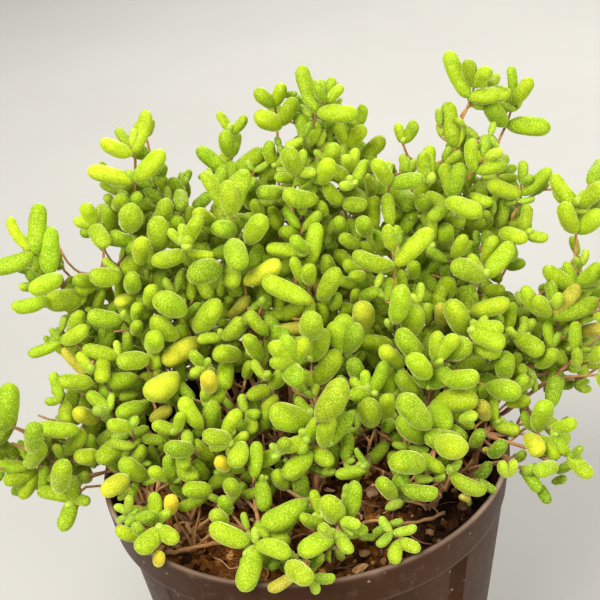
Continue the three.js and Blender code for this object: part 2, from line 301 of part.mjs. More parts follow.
    leaves: [[0.4,-10.2,71.3,-3.8,-14.1,72.4,2.7],[3.1,-12.6,71,4.5,-14.7,77.6,3.2],[1.2,-8,67.3,3.9,-13.6,68,3.0],[-0.4,-21.8,67.2,-7.9,-24.6,65.8,4.1],[-4,-4.2,59.1,-0.6,-10.4,59.6,2.6]] },
  { name: "leafy_stem_15", twigs: [[0.60,[2.2,-22.7,54.6,2.2,-22.7,58.2,2.2,-31.7,67.8]],[0.42,[2.2,-27.3,63,-3.4,-34.4,63.8]],[0.42,[-1.5,-31.9,63.5,-2.1,-34.7,64.4,-4.4,-35.3,67],[-1.4,-40.8,67.6,3.3]],[0.42,[2.2,-27.3,63,4.1,-28,67.8,3.4,-29.5,67],[-2.6,-32.9,66.2,3.2]],[0.42,[2.2,-25.2,60.8,9.5,-24.3,64.1,11.3,-25,64.5,12.5,-29.3,63.7,11.7,-29.3,65.2]],[0.42,[3.5,-25,61.4,3.5,-25.1,65.6],[2.3,-28.5,72.3,3.7]],[0.42,[3.5,-25,62.6,5.4,-24.4,65],[7.1,-23.7,71.6,2.7]]],
    leaves: [[4.4,-24.9,61.8,4,-18.3,59.8,3.2]] },
  { name: "leafy_stem_16", twigs: [[0.60,[-16.2,20.5,54.6,-16.2,20.5,58.2,-18.4,22.8,64.5,-27.8,33.1,84.7]],[0.42,[-22.8,27.6,74,-27.8,39.4,75.8]],[0.42,[-23.4,29.2,74.3,-21.2,32.6,76.8,-23.9,37.6,82.6]],[0.42,[-20.6,25.2,69.3,-29.6,28.5,69.9,-31.2,33.8,73.2]],[0.42,[-19.8,24.4,67.7,-17.8,33.6,68.8,-18.9,40.2,73.6]],[0.42,[-19,28.1,68.1,-20.5,30.8,66.9,-23.7,36.1,70.5]]],
    leaves: [[-22.3,33.8,68.9,-27.1,33,73.9,2.9],[-22.3,33.8,68.9,-20.5,39.7,67.8,2.9],[-20.5,30.8,66.9,-17.3,32.9,73.7,3.0],[-20.5,30.8,66.9,-25.8,33.3,62.2,3.0],[-29.6,28.5,69.9,-27.6,26.6,76.2,3.1],[-29.6,28.5,69.9,-32.1,33.5,66.3,3.1],[-22.8,35.5,80.1,-17,37.8,85.2,3.0],[-21.2,32.6,76.8,-22.9,28.8,81.9,3.4],[-18.4,37.4,71.5,-19.9,44.9,69.1,3.3]] },
  { name: "leafy_stem_17", twigs: [[0.60,[19.2,0.2,54.6,19.2,0.2,58.2,24,3.6,65.4,31.3,3.7,79.9]],[0.42,[27.2,3.6,71.8,28.8,1.4,75,29.7,1,81.4],[34.4,-3.1,83.5,3.3]],[0.42,[26.4,3.6,70.2,31.7,-2.7,72.4],[35.6,-8.6,74.2,4.1]],[0.42,[23.1,2.9,64,22.3,0.7,65.8,22.5,0.2,72.6,22.2,-1.3,72.8],[24.8,-5.2,77.6,3.2]],[0.42,[21.3,1.6,61.3,18.5,2.3,63.5,18.9,1.3,65.9]]],
    leaves: [[29.7,1,81.4,34,-4.9,81.2,3.9],[29.3,1.2,78.5,34.1,-2.3,78.1,2.6],[18.5,2.3,63.5,17.6,5.9,68.9,2.9],[18.5,2.3,63.5,20.2,-4,64.4,2.9]] },
  { name: "leafy_stem_18", twigs: [[0.60,[-2.5,16.7,54.6,-2.5,16.7,58.2,-0.9,10,67.3,-1,10.7,68.5,-2.3,21.8,71.2,-2.3,27.4,76.7,-0.1,31.4,83.9,0.5,36,94.2,1.7,38.5,103.3,2.3,37.9,107.4,1.8,39.1,110.7],[3.6,37.2,115.3,2.6]],[0.42,[0.9,36.9,97.4,0.9,35.1,100.4],[0,34.5,105.8,2.7]],[0.42,[0.4,35.3,92.6,-10.2,40.5,95.1,-10.7,42.7,96.9]],[0.42,[-5.7,38.3,94.1,-7.7,39.9,95.9,-7.6,39.1,98.4,-6.9,41.2,105.5]],[0.42,[0.2,33.8,89.3,-4,36.8,92.1,-4.1,41.7,97.6]],[0.42,[-0.1,31.4,83.9,2,39.2,85.2,1.8,43.5,89.8]]],
    leaves: [[-7.3,40,101.4,-7.8,37.9,107.4,3.1],[-7.3,40,101.4,-5.8,45.4,104.2,2.7],[-7.6,39.1,98.4,-13.4,40.5,103.8,3.4],[-7.6,39.1,98.4,-1.1,37.4,103.1,3.6],[1.8,39.1,110.7,-1.3,36.6,114.9,2.8],[2.3,37.9,107.4,-1.6,32.7,111.5,3.9],[2.3,37.9,107.4,5.3,35.6,113,3.2],[2,39.2,85.2,-3.9,37.3,89.8,3.3],[-4,36.8,92.1,-8.1,43.5,89.9,3.3],[1.1,35.8,84.6,1.8,37.9,77.9,3.3]] },
  { name: "leafy_stem_19", twigs: [[0.60,[22.6,-9.1,54.6,22.6,-9.1,58.2,30,-12.2,63.6,37.4,-15.9,63.6]],[0.42,[32.9,-13.7,63.6,34.6,-15.5,64.2]],[0.42,[33.4,-14.2,63.8,28.8,-7.9,66.5,30.9,-4.7,67.4],[29.6,-7.7,72.6,2.8]],[0.42,[31,-10.9,65.2,30,-12.1,64.9],[31.9,-14.7,69.2,2.6]]],
    leaves: [] },
  { name: "leafy_stem_20", twigs: [[0.60,[-4,24.6,54.6,-4,24.6,58.2,-4.2,31.9,69.3,-4.8,45.2,85.7]],[0.42,[-4.5,37.9,76.7,-10.4,42.4,77.6,-11,44.9,79.3]],[0.42,[-4.4,35.5,73.7,-4.3,45,75.6]],[0.42,[-4.2,31,67.8,-10.3,37.1,68.3,-11.4,39.4,69.8]],[0.42,[-4.1,27.3,62.3,-12.8,38.2,63.6]],[0.42,[-5.6,29.2,62.5,-3.6,39.5,63.6]]],
    leaves: [[-5.1,31.9,62.8,-8.2,35.7,68.2,3.3],[-10.4,42.4,77.6,-10.8,49.1,74.2,3.6],[-10.4,42.4,77.6,-10.7,42.5,86,3.6],[-10.3,37.1,68.3,-11.8,37.2,74.9,2.8],[-10.3,37.1,68.3,-12.4,43,65.3,2.8],[-4.3,42.3,75.1,-5.9,47.2,71,3.0]] },
  { name: "leafy_stem_21", twigs: [[0.60,[-11.2,-6.7,54.6,-11.2,-6.7,58.2,-17.9,-11.6,72.6],[-21.4,-15.6,76.3,3.2]],[0.42,[-15.7,-10,67.9,-11.8,-11.4,73.4],[-15.3,-15.5,77.5,3.3]],[0.42,[-15.7,-10,67.9,-16.4,-5.9,72.8],[-19,-6.1,79.1,2.9]],[0.42,[-16.4,-10.5,69.4,-19.6,-9.7,71]],[0.42,[-18,-10.1,70.2,-21.2,-8,69.2]],[0.42,[-13.7,-10.7,70.6,-10,-10.4,71.7],[-11,-16.9,72.5,3.5]],[0.42,[-21.2,-8,69.2,-20.6,-4.8,69,-19,-6.4,73,-20.3,-7.1,73.3]],[0.42,[-15.9,-8.8,69.4,-12.8,-7.1,71.4],[-9.9,-7.8,76.6,2.6]],[0.42,[-20.6,-4.8,69,-15.8,-2.4,70.1],[-14.4,-5,76.8,3.2]],[0.42,[-14.2,-8.9,64.8,-12.8,-11.1,67.8],[-13.8,-14.1,72.1,2.5]],[0.42,[-12.8,-7.9,61.7,-19.7,-4.2,63.5]],[0.42,[-15.7,-6.4,62.4,-17,-7.2,63.6],[-17.9,-10.1,68.7,2.7]],[0.42,[-12.1,-7.4,60.1,-9.8,-3.9,63.5],[-11.9,-8,69.1,3.5]],[0.42,[-12.1,-7.4,60.1,-13.1,-11.5,60,-18.2,-13.5,64.3,-15.6,-14.8,66.5],[-19.9,-17.5,69.1,2.7]]],
    leaves: [[-19.7,-4.2,63.5,-17,-6.8,67.4,2.4],[-21.2,-8,69.2,-18,-13.4,68.1,2.9],[-15.6,-14.8,66.5,-21.4,-15.9,64.3,2.2],[-10.9,-5.6,61.8,-5.2,-2.7,58.9,3.3]] },
  { name: "leafy_stem_22", twigs: [[0.60,[-27.8,4,54.6,-27.8,4,58.2,-31.3,4.1,63.3,-40.4,4.6,66.4,-41.6,5.7,71.8,-51.6,6.2,74,-53.6,6.4,75.8]],[0.42,[-40.4,4.6,66.4,-40,5.9,73.5],[-39.3,0.4,73.1,2.7]],[0.42,[-40.3,4.9,68.2,-40.8,10.1,71,-35.4,7.9,74.9,-40.2,4.5,75.1,-34.2,3.1,78.3]],[0.42,[-36.3,4.4,65,-44.6,15.1,63.6]],[0.42,[-42.6,12.5,63.9,-48.3,19.1,63.6]],[0.42,[-37.4,5.8,64.8,-38.8,5.1,63.6,-46.5,2.4,64.5]],[0.42,[-41.8,4.1,63.9,-50.8,5.6,63.6]],[0.42,[-39.5,8.5,64.5,-47.2,12.6,63.6]]],
    leaves: [[-34.2,3.1,78.3,-39.4,0.6,81,2.9],[-51.6,6.2,74,-55.8,1.9,74.5,3.2],[-51.6,6.2,74,-53,10.9,77.4,3.2],[-48.9,6.1,73.4,-52.8,3.3,68.2,3.3]] },
  { name: "leafy_stem_23", twigs: [[0.60,[-15.9,2.2,54.6,-15.9,2.2,58.2,-20.1,6.7,66.6,-23.4,9.3,71.2,-26.9,11.8,82.5,-28.8,12,85],[-33.9,9.1,88.2,3.2]],[0.42,[-26.5,11.5,81,-26.3,13.1,83.6],[-25.4,10.9,88.3,2.5]],[0.42,[-25,10.4,76.4,-23.4,8.8,78.4,-24,7.6,80.8],[-22.5,3.4,86.2,3.3]],[0.42,[-24.2,9.7,77.4,-24.6,10.4,79.7]],[0.42,[-23.4,8.8,78.4,-24.6,5.2,80.8],[-29,0.6,83.3,3.5]],[0.42,[-23.9,9.7,73,-27.3,8.1,75.3],[-32.1,4.4,77.4,3.0]],[0.42,[-23.4,9.3,71.2,-19.9,3.6,77.9],[-25,-2.4,78.4,4.6]],[0.42,[-23.4,9.3,71.2,-27.8,8,72.2]],[0.42,[-24.8,8.9,71.5,-26.3,2.6,73.4],[-30.5,-1.9,74.6,3.0]]],
    leaves: [[-24.6,10.4,79.7,-23.5,4.9,78.8,2.7]] },
  { name: "leafy_stem_24", twigs: [[0.60,[-20.3,-8.5,54.6,-20.3,-8.5,58.2,-29.2,-12.4,69.5],[-32.4,-17.5,70.2,3.2]],[0.42,[-25,-10.5,64.1,-27.8,-6.1,67.7,-27.7,-6.6,74.8],[-30.7,-9.8,78.1,2.7]],[0.42,[-25,-10.5,64.1,-26.2,-9.1,66.3],[-29.7,-11.4,71.8,3.2]]],
    leaves: [] },
  { name: "leafy_stem_25", twigs: [[0.60,[-25.2,12.8,54.6,-25.2,12.8,58.2,-25.4,17,64.1,-32.5,25.2,72.7,-36.4,28.4,78.8]],[0.42,[-31.6,24.1,71.6,-35.3,28.1,72.5,-38,33.2,76.9]],[0.42,[-29.6,21.9,69.2,-37.8,27.7,68.5,-39.5,30.4,70.2]],[0.42,[-30.6,23,70.4,-34.8,22.2,73.6,-36.1,23.4,75.4]],[0.42,[-25.4,16,62.7,-40.6,23.3,63.6]],[0.42,[-28,17.3,62.9,-37.4,29.5,63.6]]],
    leaves: [[-37.8,27.7,68.5,-41.1,27.1,74.7,3.4],[-37.8,27.7,68.5,-39.2,34.1,64.7,3.4],[-35.7,27.3,63.5,-40.6,27.7,61,3.3],[-35.7,27.3,63.5,-35.7,31.9,67.4,3.3],[-32.9,23.6,63.2,-36.3,22.7,68.9,3.0],[-32.9,23.6,63.2,-31.5,29,56.6,3.0],[-37,31.3,75.3,-34.6,33.7,81,2.7],[-35.3,28.1,72.5,-39.6,27,77.3,3.2],[-35.3,28.1,72.5,-33.7,34.3,71.3,3.2],[-34.8,22.2,73.6,-38.3,19.3,78.5,3.0]] },
  { name: "leafy_stem_26", twigs: [[0.60,[-17.3,7.6,54.6,-17.3,7.6,58.2,-20,11.3,61.4,-28.3,17.5,78.2]],[0.42,[-19.3,10.2,60.5,-20.5,9.3,64.4]]],
    leaves: [[-19.7,9.9,62,-15.1,8.9,67.4,2.7],[-19.7,9.9,62,-26.1,9.9,63.3,2.7]] },
  { name: "leafy_stem_27", twigs: [[0.60,[20,11.2,54.6,20,11.2,58.2,28,16.5,66.2,34.4,23.3,77.3,38.3,24.7,81.4,43.6,26.8,91.1,43.9,26.4,95.4]],[0.42,[41.1,25.9,86.6,38.5,27.4,88.2,34.8,27.5,94.1]],[0.42,[35.7,27.5,92.6,29.2,18.7,97.5],[34.3,13.3,96.8,3.5]],[0.42,[39,25,82.8,42.8,21.5,87.7]],[0.42,[41.8,22.3,86.5,38.3,17.8,90.8,42.2,16.2,90.5]],[0.42,[39.7,25.3,84.1,39.8,25.9,87.2],[41,28.6,92.2,2.5]],[0.42,[39.8,25.9,87.2,33.7,26.4,89.2]],[0.42,[35.3,26.3,88.7,28.6,24.4,89.3,26.7,20.9,88.6]],[0.42,[30.6,24.9,89.1,29.7,24.7,85.6]],[0.42,[35.8,23.8,78.8,39.8,21.9,81.7]],[0.42,[38.4,22.6,80.7,36.4,18.3,84.7],[36.1,19.6,90.4,2.6]],[0.42,[36.9,19.3,83.7,35,16,85.6],[36.6,14.7,91.5,2.9]],[0.42,[35,16,85.6,29.6,16.4,87.3],[31.7,15.3,92,2.5]],[0.42,[32.6,21.4,74.2,35.3,18.9,79.1]]],
    leaves: [[43.8,26.6,93.5,49.2,25.9,98,3.1],[43.8,26.6,93.5,37.7,23.9,97.6,3.1],[29.7,24.7,85.6,29.3,20.7,91.6,3.5],[33.7,26.4,89.2,36.1,22.1,90.8,2.6],[38.3,17.8,90.8,41.7,12.5,91.1,3.1],[34.1,20,76.9,41,19.9,76.4,3.2]] },
  { name: "leafy_stem_28", twigs: [[0.60,[-8.3,3.2,54.6,-8.3,3.2,58.2,-12.7,10.3,69.4]],[0.42,[-10.1,6,62.6,-14.5,4,67.9]]],
    leaves: [[-12.8,4.7,65.9,-9.3,1.1,70.8,2.6]] },
  { name: "leafy_stem_29", twigs: [[0.60,[4,0.1,54.6,4,0.1,58.2,2.8,-0.2,61.4,3.3,-1.5,85],[3.6,-5.7,91.2,3.9]],[0.42,[3.1,-0.9,74.5,6.6,0.7,75.8,8.2,3.5,78.5],[10.9,0.1,85,3.9]],[0.42,[3,-0.8,72.7,-0.7,-3.1,75.9,-0.1,-4.4,82.4],[-1.2,-6.5,88.5,2.9]],[0.42,[3,-0.7,70.8,11.8,-3.2,73.8],[14.8,-2.8,79.6,2.7]],[0.42,[6.4,-1.7,72,10.4,1.6,74.2],[9.5,-1.6,79.8,3.0]],[0.42,[2.9,-0.3,63.2,2.2,5.1,66.2,2.3,5.2,76.4,2.8,1.2,74.3,2.9,1.5,78.9],[1,0.2,84.1,2.6]]],
    leaves: [[-0.1,-4.4,82.4,-3.2,-7.3,87.9,3.2],[-0.1,-4.4,82.4,-3.6,-8.7,85.4,2.9],[-0.2,-4.3,81.6,0.5,-11,82.4,3.6],[-0.2,-4.3,81.6,2.2,-5.6,87.3,2.9],[8.2,3.5,78.5,7.2,1,85.7,3.6],[2.9,1.5,78.9,5.2,-0.9,85.7,3.5],[2.8,1.2,74.3,7.2,-0.3,81.1,3.9],[11.5,-3.2,73.7,8.6,-7.4,76.5,2.7]] },
  { name: "leafy_stem_30", twigs: [[0.60,[5.4,16.5,54.6,5.4,16.5,58.2,5.2,19.6,73.3,7.2,23.2,85.1,8.4,30.2,104.2,11.9,34.6,110.7]],[0.42,[8.4,30.2,104.2,8.7,34.3,104.3,6.6,39.9,105.1]],[0.42,[8.7,34.3,104.3,10.6,37.5,105.6,12.3,40.4,110.9]],[0.42,[8.3,29.6,102.6,6.6,29.9,106,10.4,29,113.9]],[0.42,[8.6,32.5,104.2,6.6,34.1,103.8],[6.1,37.1,109.5,2.5]],[0.42,[8.2,29.1,101,14.2,36.7,101.9,16,37.6,105.2]],[0.42,[13,35.2,101.7,16.6,39.4,98.3],[21,37.3,102.8,3.1]],[0.42,[8.2,29.1,101,9.9,31.1,101.9],[11.2,26.9,106.7,3.1]],[0.42,[7.6,25.3,90.7,7.9,26.3,88.4,11.9,35.9,90.5]],[0.42,[10.1,31.4,89.6,6.1,36.9,90.2,7.2,41.8,96.4]],[0.42,[10.1,31.4,89.6,16.3,33.1,88.3,18.3,34.6,90.6]]],
    leaves: [[9.6,29.2,112.2,7,32.6,119.9,3.0],[9.6,29.2,112.2,15.7,25,112.5,3.4],[14.2,36.7,101.9,17.2,33.9,106.7,3.0],[14.2,36.7,101.9,12.2,35.8,107.5,2.8],[6.8,39.8,93.9,3.8,45.7,94.8,3.4],[6.8,39.8,93.9,11.2,38.2,98.4,3.4],[6.1,36.9,90.2,0.2,33.3,96.5,3.4],[6.1,36.9,90.2,12.3,42.4,88.8,3.4],[11.6,39.1,108.6,9.1,37.1,115.3,2.6],[16.3,33.1,88.3,13.6,37.2,92.6,3.0]] },
  { name: "leafy_stem_31", twigs: [[0.60,[1.4,12.6,54.6,1.4,12.6,58.2,1.2,14.8,67.4,1.6,15.3,70.8,1.3,16.7,75.4,1.5,16.4,77,1.3,14.7,79.4,2.1,18.8,88.9,2.9,22.5,99.7,3.2,22.7,101.3,4.3,22.1,104.2],[3,18.8,110.1,3.4]],[0.42,[2.7,22,98.1,3.9,27.2,100.7]],[0.42,[3.1,23.8,99,1.6,24.1,100.3],[-2.7,19.5,102.6,3.1]],[0.42,[2.5,20.8,94.8,7.3,22.7,98.6]],[0.42,[2.1,18.8,88.9,-0.1,25.9,91.8]],[0.42,[0.9,22.5,90.5,3.6,26.2,91]],[0.42,[1.5,15.8,81.8,3,20.8,83.1,5.2,27.4,84.3,5.3,29.4,84.7,5.7,30.5,87.5]]],
    leaves: [[7.3,22.7,98.6,1.5,19.4,101.9,3.4],[3.6,26.2,91,0.4,21,93.9,3.1],[5.3,29.4,84.7,10.7,31.3,87.2,2.9]] },
  { name: "leafy_stem_32", twigs: [[0.60,[-2.8,4.3,54.6,-2.8,4.3,58.2,-3.8,5.2,62.7,-6.3,9.4,75.7,-7.1,12.5,89.1],[-0.5,10.5,93.3,3.7]],[0.42,[-6.4,9.8,77.5,-11.7,7,81.9],[-8.1,4.5,86.6,2.8]],[0.42,[-7.7,9.1,78.6,-11.7,11.2,80.1]],[0.42,[-6.4,9.8,77.5,-4,6.3,81.9],[-7,6.7,86.6,2.5]],[0.42,[-5.6,8.7,78.9,-4.6,9.2,81.3],[-0.3,5.2,81.8,2.7]],[0.42,[-6.3,9.4,75.7,-7.6,19.5,76.6]],[0.42,[-6.5,11.1,75.9,-3.3,12.8,79.1],[3.8,12.8,79.4,2.7]],[0.42,[-7.7,9.1,78.6,-9.2,5.6,78.8],[-12.8,0.9,82.5,3.5]],[0.42,[-8.4,7.4,78.7,-11.4,6.4,77.4],[-12.3,0.2,76,3.0]],[0.42,[-5.9,8.8,73.9,-5.8,4.1,78.3],[-7.5,2.3,84.5,3.0]]],
    leaves: [[-11.7,11.2,80.1,-8.6,8.8,84.1,2.5]] },
  { name: "leafy_stem_33", twigs: [[0.60,[7.4,5.5,54.6,7.4,5.5,58.2,9,8.6,65.8,9.9,12.2,70.6,12.7,14.9,82.1]],[0.42,[10.8,13,74.1,12.3,10.2,79.1],[12.4,6.1,85.7,4.0]],[0.42,[11.3,12.1,75.7,9.1,8.7,78.2],[8.9,4.3,84.6,4.1]]],
    leaves: [] },
  { name: "leafy_stem_34", twigs: [[0.60,[27.6,-6.4,54.6,27.6,-6.4,58.2,30.4,-6.7,65.9,45.7,-7,78.9,51.1,-7.9,84.8]],[0.42,[41.5,-6.9,75.3,50.9,-10,77.2]],[0.42,[30.4,-6.7,65.9,42.8,-15.4,65]],[0.42,[33.7,-9,65.6,40.4,-11.7,68.7],[43.3,-15,71.9,2.7]],[0.42,[36.8,-11.2,65.4,40.1,-15.6,63.9],[36.2,-20.1,66.5,2.8]],[0.42,[30.4,-6.7,65.9,39.1,-8.7,65.3],[40.9,-13.7,64.1,2.7]],[0.42,[34.5,-7.7,65.6,39.2,-6.7,64.9],[40,-9.1,72.1,3.6]],[0.42,[30.4,-6.7,65.9,36.7,-9,66.2],[37.5,-15,66.3,3.1]]],
    leaves: [[42.1,-14.9,65.1,45.1,-19.1,63.5,2.7],[48.7,-9.3,76.7,54.4,-5.9,77.7,3.0],[48.7,-9.3,76.7,49.4,-15.4,78.2,3.0]] },
  { name: "leafy_stem_35", twigs: [[0.60,[19,-14.1,54.6,19,-14.1,58.2,25.6,-11.6,68.3]],[0.42,[22,-13,62.8,27,-17.7,64.5]],[0.42,[23.3,-14.2,63.2,22.1,-16.3,64.6]],[0.42,[22.1,-16.3,64.6,20.8,-16.1,64,21.8,-17.7,63.3,22.5,-18.3,66.8],[27.6,-21.5,64.9,2.8]],[0.42,[20.8,-16.1,64,16.6,-16.8,61.8],[14.1,-19.8,68.3,3.4]]],
    leaves: [] },
  { name: "leafy_stem_36", twigs: [[0.60,[26.9,6.4,54.6,26.9,6.4,58.2,30.8,8.5,63.3,40.1,13.8,70,50.6,18,78.7,51.9,19.3,83,52.9,19.7,92.9],[56.2,17,97.8,3.2]],[0.42,[48.1,17,76.7,52,18.1,77.5,51.9,17.9,81.3,51.1,14.7,80,51.6,15.1,83.3]],[0.42,[44.2,15.4,73.4,51.4,7.4,76.3,55.4,9.7,82.1]],[0.42,[47.8,11.4,74.8,50.7,10.6,72.8],[54.2,6.8,75.3,2.9]],[0.42,[42.8,14.9,72.3,43.2,18.7,74.9,49.4,22.2,77.4]],[0.42,[47.8,11.4,74.8,46.5,8,74.8,44.2,6.5,79.1,45.1,6.5,80.6]],[0.42,[38.7,13,69.1,42.2,14.3,67.1,48.3,14.3,67,50.9,14.4,68.7]],[0.42,[37.4,12.3,68.1,38.5,18.9,66.9,42.9,23.8,68.9]],[0.42,[34.9,10.9,66.3,46.1,15.9,63.6]],[0.42,[31.7,9,64,39.7,12,63.6]]],
    leaves: [[52.9,19.7,92.9,48.6,22.6,98.3,2.9],[52.4,19.5,88.3,49.3,16.6,95.3,3.6],[52.4,19.5,88.3,55.7,15.9,93.1,3.4],[51.1,14.7,80,45,13.7,84.7,3.1],[51.1,14.7,80,54.6,11.8,85.2,3.4],[44.2,6.5,79.1,39.9,6.9,85.2,3.0],[44.2,6.5,79.1,53,7.3,80.7,3.3],[44.2,6.5,79.1,41.7,4.5,84.3,2.7],[44.2,6.5,79.1,49.9,8.7,83.3,2.8],[43.6,14.8,64.2,44.6,19.4,69.6,3.1],[43.6,14.8,64.2,50.4,13.3,60.1,3.1],[40.9,21.6,68,40.5,26.7,64.8,3.1],[40.9,21.6,68,46,20.7,71.5,3.1],[38.5,18.9,66.9,35.8,21.4,73.1,3.1],[38.5,18.9,66.9,43.5,19.4,62.8,3.1],[46.9,20.8,76.4,48.3,25.8,72.8,3.2],[46.9,20.8,76.4,50,17.7,81.6,3.2],[53.5,8.6,79.3,59.5,5.4,82,3.4],[48.3,14.3,67,51.8,9,68,2.9]] },
  { name: "leafy_stem_37", twigs: [[0.60,[-11.7,7.7,54.6,-11.7,7.7,58.2,-15.6,10.9,67.8,-19.7,17.2,86.3]],[0.42,[-18.6,15.6,81.6,-23.9,14.3,85.4],[-22.6,11.8,90.9,2.9]],[0.42,[-18.3,15.1,80,-17.7,9.4,86.5],[-21.4,5,92,4.7]],[0.42,[-17.9,14.5,78.4,-22.5,19,78.9,-24.5,19.6,81.1]],[0.42,[-18.2,14,81.3,-17.5,10.8,81.7,-19.4,9,81.8],[-22.8,6.7,87.7,3.3]],[0.42,[-17.9,12.5,81.4,-16.3,10.1,82.2],[-11.6,7.2,88.8,4.4]],[0.42,[-17,11.2,81.8,-16,9.9,80.7],[-22.3,5.4,79.3,3.7]],[0.42,[-17.2,13.4,75,-19.4,13.9,77.8],[-18.9,10.3,83.2,3.0]]],
    leaves: [[-22.5,19,78.9,-21.1,17,85.4,2.8],[-22.5,19,78.9,-28.3,22.9,77.1,2.8],[-20.8,15.1,83.1,-26.1,12.7,79.1,3.3]] },
  { name: "leafy_stem_38", twigs: [[0.60,[8.7,23.1,54.6,8.7,23.1,58.2,7.7,29.4,66.3,7.2,33.5,72.5,6.5,40.9,82.7,6.5,43,85.3,6.7,44.6,85.7,7.2,47.3,87.5]],[0.42,[6.6,39.9,81.3,12.9,40.9,84.5,15,42.8,88.3,16.2,44.4,90.9]],[0.42,[7,35.7,75.5,18.3,38.6,79.7,19,41.1,81.6]],[0.42,[7,35.7,75.5,4.6,39.5,75.9,4.1,42.5,77.2]],[0.42,[7.9,28.3,64.9,13.1,29.8,65.8,20,32.2,67.3,22.4,37.8,71.1]],[0.42,[9.6,28.8,65.2,10.6,35.5,64,11.2,38.3,64.5]]],
    leaves: [[21.2,35.1,69.3,20.8,34.7,77.1,2.8],[21.2,35.1,69.3,24.5,39.4,65,2.8],[20,32.2,67.3,27.7,30.8,70.8,3.6],[20,32.2,67.3,14.3,38.8,67.5,3.6],[15,42.8,88.3,12.7,41.9,95,3.2],[15,42.8,88.3,20.7,47.2,88.7,3.2],[12.9,40.9,84.5,17.8,35.7,88.7,3.4],[12.9,40.9,84.5,10.5,48.3,86.6,3.4],[18.3,38.6,79.7,22.1,43.9,76.8,3.0],[6.7,44.6,85.7,0.5,49.8,86.9,3.5],[10.6,35.5,64,5.5,39.9,66.3,3.0],[4.6,39.5,75.9,-0.3,43.3,73.9,2.8],[10.7,36.6,76.9,14.9,31.4,78.9,3.2]] },
  { name: "leafy_stem_39", twigs: [[0.60,[16.8,16,54.6,16.8,16,58.2,22.1,21.2,64.8,32,31.1,78.3,39.9,37.9,90.8,43.1,40.2,97,43.9,38.8,102,45.5,39.9,105.6],[45.9,43.2,111.7,2.0]],[0.42,[43.1,40.2,97,34,36.9,101,37.7,36.3,111],[39.9,32.9,115.2,3.0]],[0.42,[37,38,99.7,32.9,33.5,98.5,33.3,32.7,101.1],[33,36.7,108.7,3.3]],[0.42,[32.9,33.5,98.5,30.7,31,99.4]],[0.42,[31.8,32.2,99,24.4,31.7,97.9,24,33.1,103.1]],[0.42,[26.3,31.8,98.2,21.3,36.3,95.4]],[0.42,[28.1,32,98.4,27.3,26.1,97.2]],[0.42,[27.6,28.1,97.6,31.6,26.1,95.5,37,24.4,102.1]],[0.42,[34.9,33.6,82.8,30.1,35.4,92,30.6,37,93.6]],[0.42,[24.8,33.1,97.4,21.1,29.9,96.1],[23.7,22.7,95.2,3.7]],[0.42,[30.1,26.9,96.3,31,24.9,94.9]],[0.42,[31.6,34.9,89,22.7,39.5,88.9,23.4,40.9,91]],[0.42,[27.6,28.1,97.6,25.9,23.6,94],[25,19.8,98,2.8]]],
    leaves: [[27.3,26.1,97.2,26.8,27.8,103.3,2.8],[27.3,26.1,97.2,28.4,29.5,103.6,2.6],[31,24.9,94.9,33,24.6,101.5,3.1],[31,24.9,94.9,30.3,27.9,100.5,2.6],[37.7,36.3,111,36.5,34.4,116.8,3.0],[37,36.4,109.1,33.7,39.9,117,3.2],[37,36.4,109.1,44,34.3,110,3.3],[45.5,39.9,105.6,48.5,38.3,110.7,3.0],[43.9,38.8,102,40.3,35.8,108.2,3.6],[43.9,38.8,102,51.8,36.6,101.3,3.6],[35.3,24.9,100,35.1,24.9,105.8,2.7],[35.3,24.9,100,40.8,23.2,100.9,2.6],[22.7,39.5,88.9,26.5,44.8,89,2.8],[23.9,33.9,96.9,26.6,40.6,96,3.2]] },
  { name: "leafy_stem_40", twigs: [[0.60,[-6.2,-1.9,54.6,-6.2,-1.9,58.2,-15.2,1.8,79.5]],[0.42,[-12.6,0.7,73.4,-13.7,1.2,75.1,-14.8,-0.8,76.4],[-14.4,-4.1,81.9,2.9]],[0.42,[-11.9,0.4,71.7,-15.8,1.4,72.7]],[0.42,[-9.1,-0.7,65,-6.8,-3.2,69.2],[-5.3,-4.9,74.1,2.4]],[0.42,[-9.1,-0.7,65,-7.9,2.5,66.8,-4.5,1.4,74.3],[-1.5,-0.8,79.4,2.8]]],
    leaves: [[-15.8,1.4,72.7,-12.5,-1.1,76.2,2.5]] },
  { name: "leafy_stem_41", twigs: [[0.60,[-19.6,12.7,54.6,-19.6,12.7,58.2,-21.3,14.7,63.8,-34.1,24.6,89.5,-40,27.8,94]],[0.42,[-32.9,23.6,87,-43.4,18.5,90.1]],[0.42,[-38.3,21,88.6,-41.7,20.4,88,-44.8,24.9,91.5]],[0.42,[-31.8,22.8,84.9,-39.5,25.2,86.1]],[0.42,[-37.2,24.5,85.7,-40,23,86.5,-42.7,21.4,94.9,-40.4,17,92.5,-43,17.7,97.5],[-45.9,20.6,102.8,2.0]],[0.42,[-37.2,24.5,85.7,-43.2,27.9,80.1,-44.5,29.7,82.7]],[0.42,[-31.3,22.3,83.7,-32.9,20.3,88.8],[-36.3,16.4,91.5,2.9]],[0.42,[-31.7,21.8,85.2,-36.4,18.5,86.4,-37.5,18.1,89.8,-41.1,14.8,89.4,-38,15.1,93.1]],[0.42,[-33,20.8,85.5,-35.4,19.9,86.3],[-41.9,15.8,88.2,4.1]],[0.42,[-29.2,20.8,79.6,-32.4,29.7,79.7,-33.1,31.8,81.5]]],
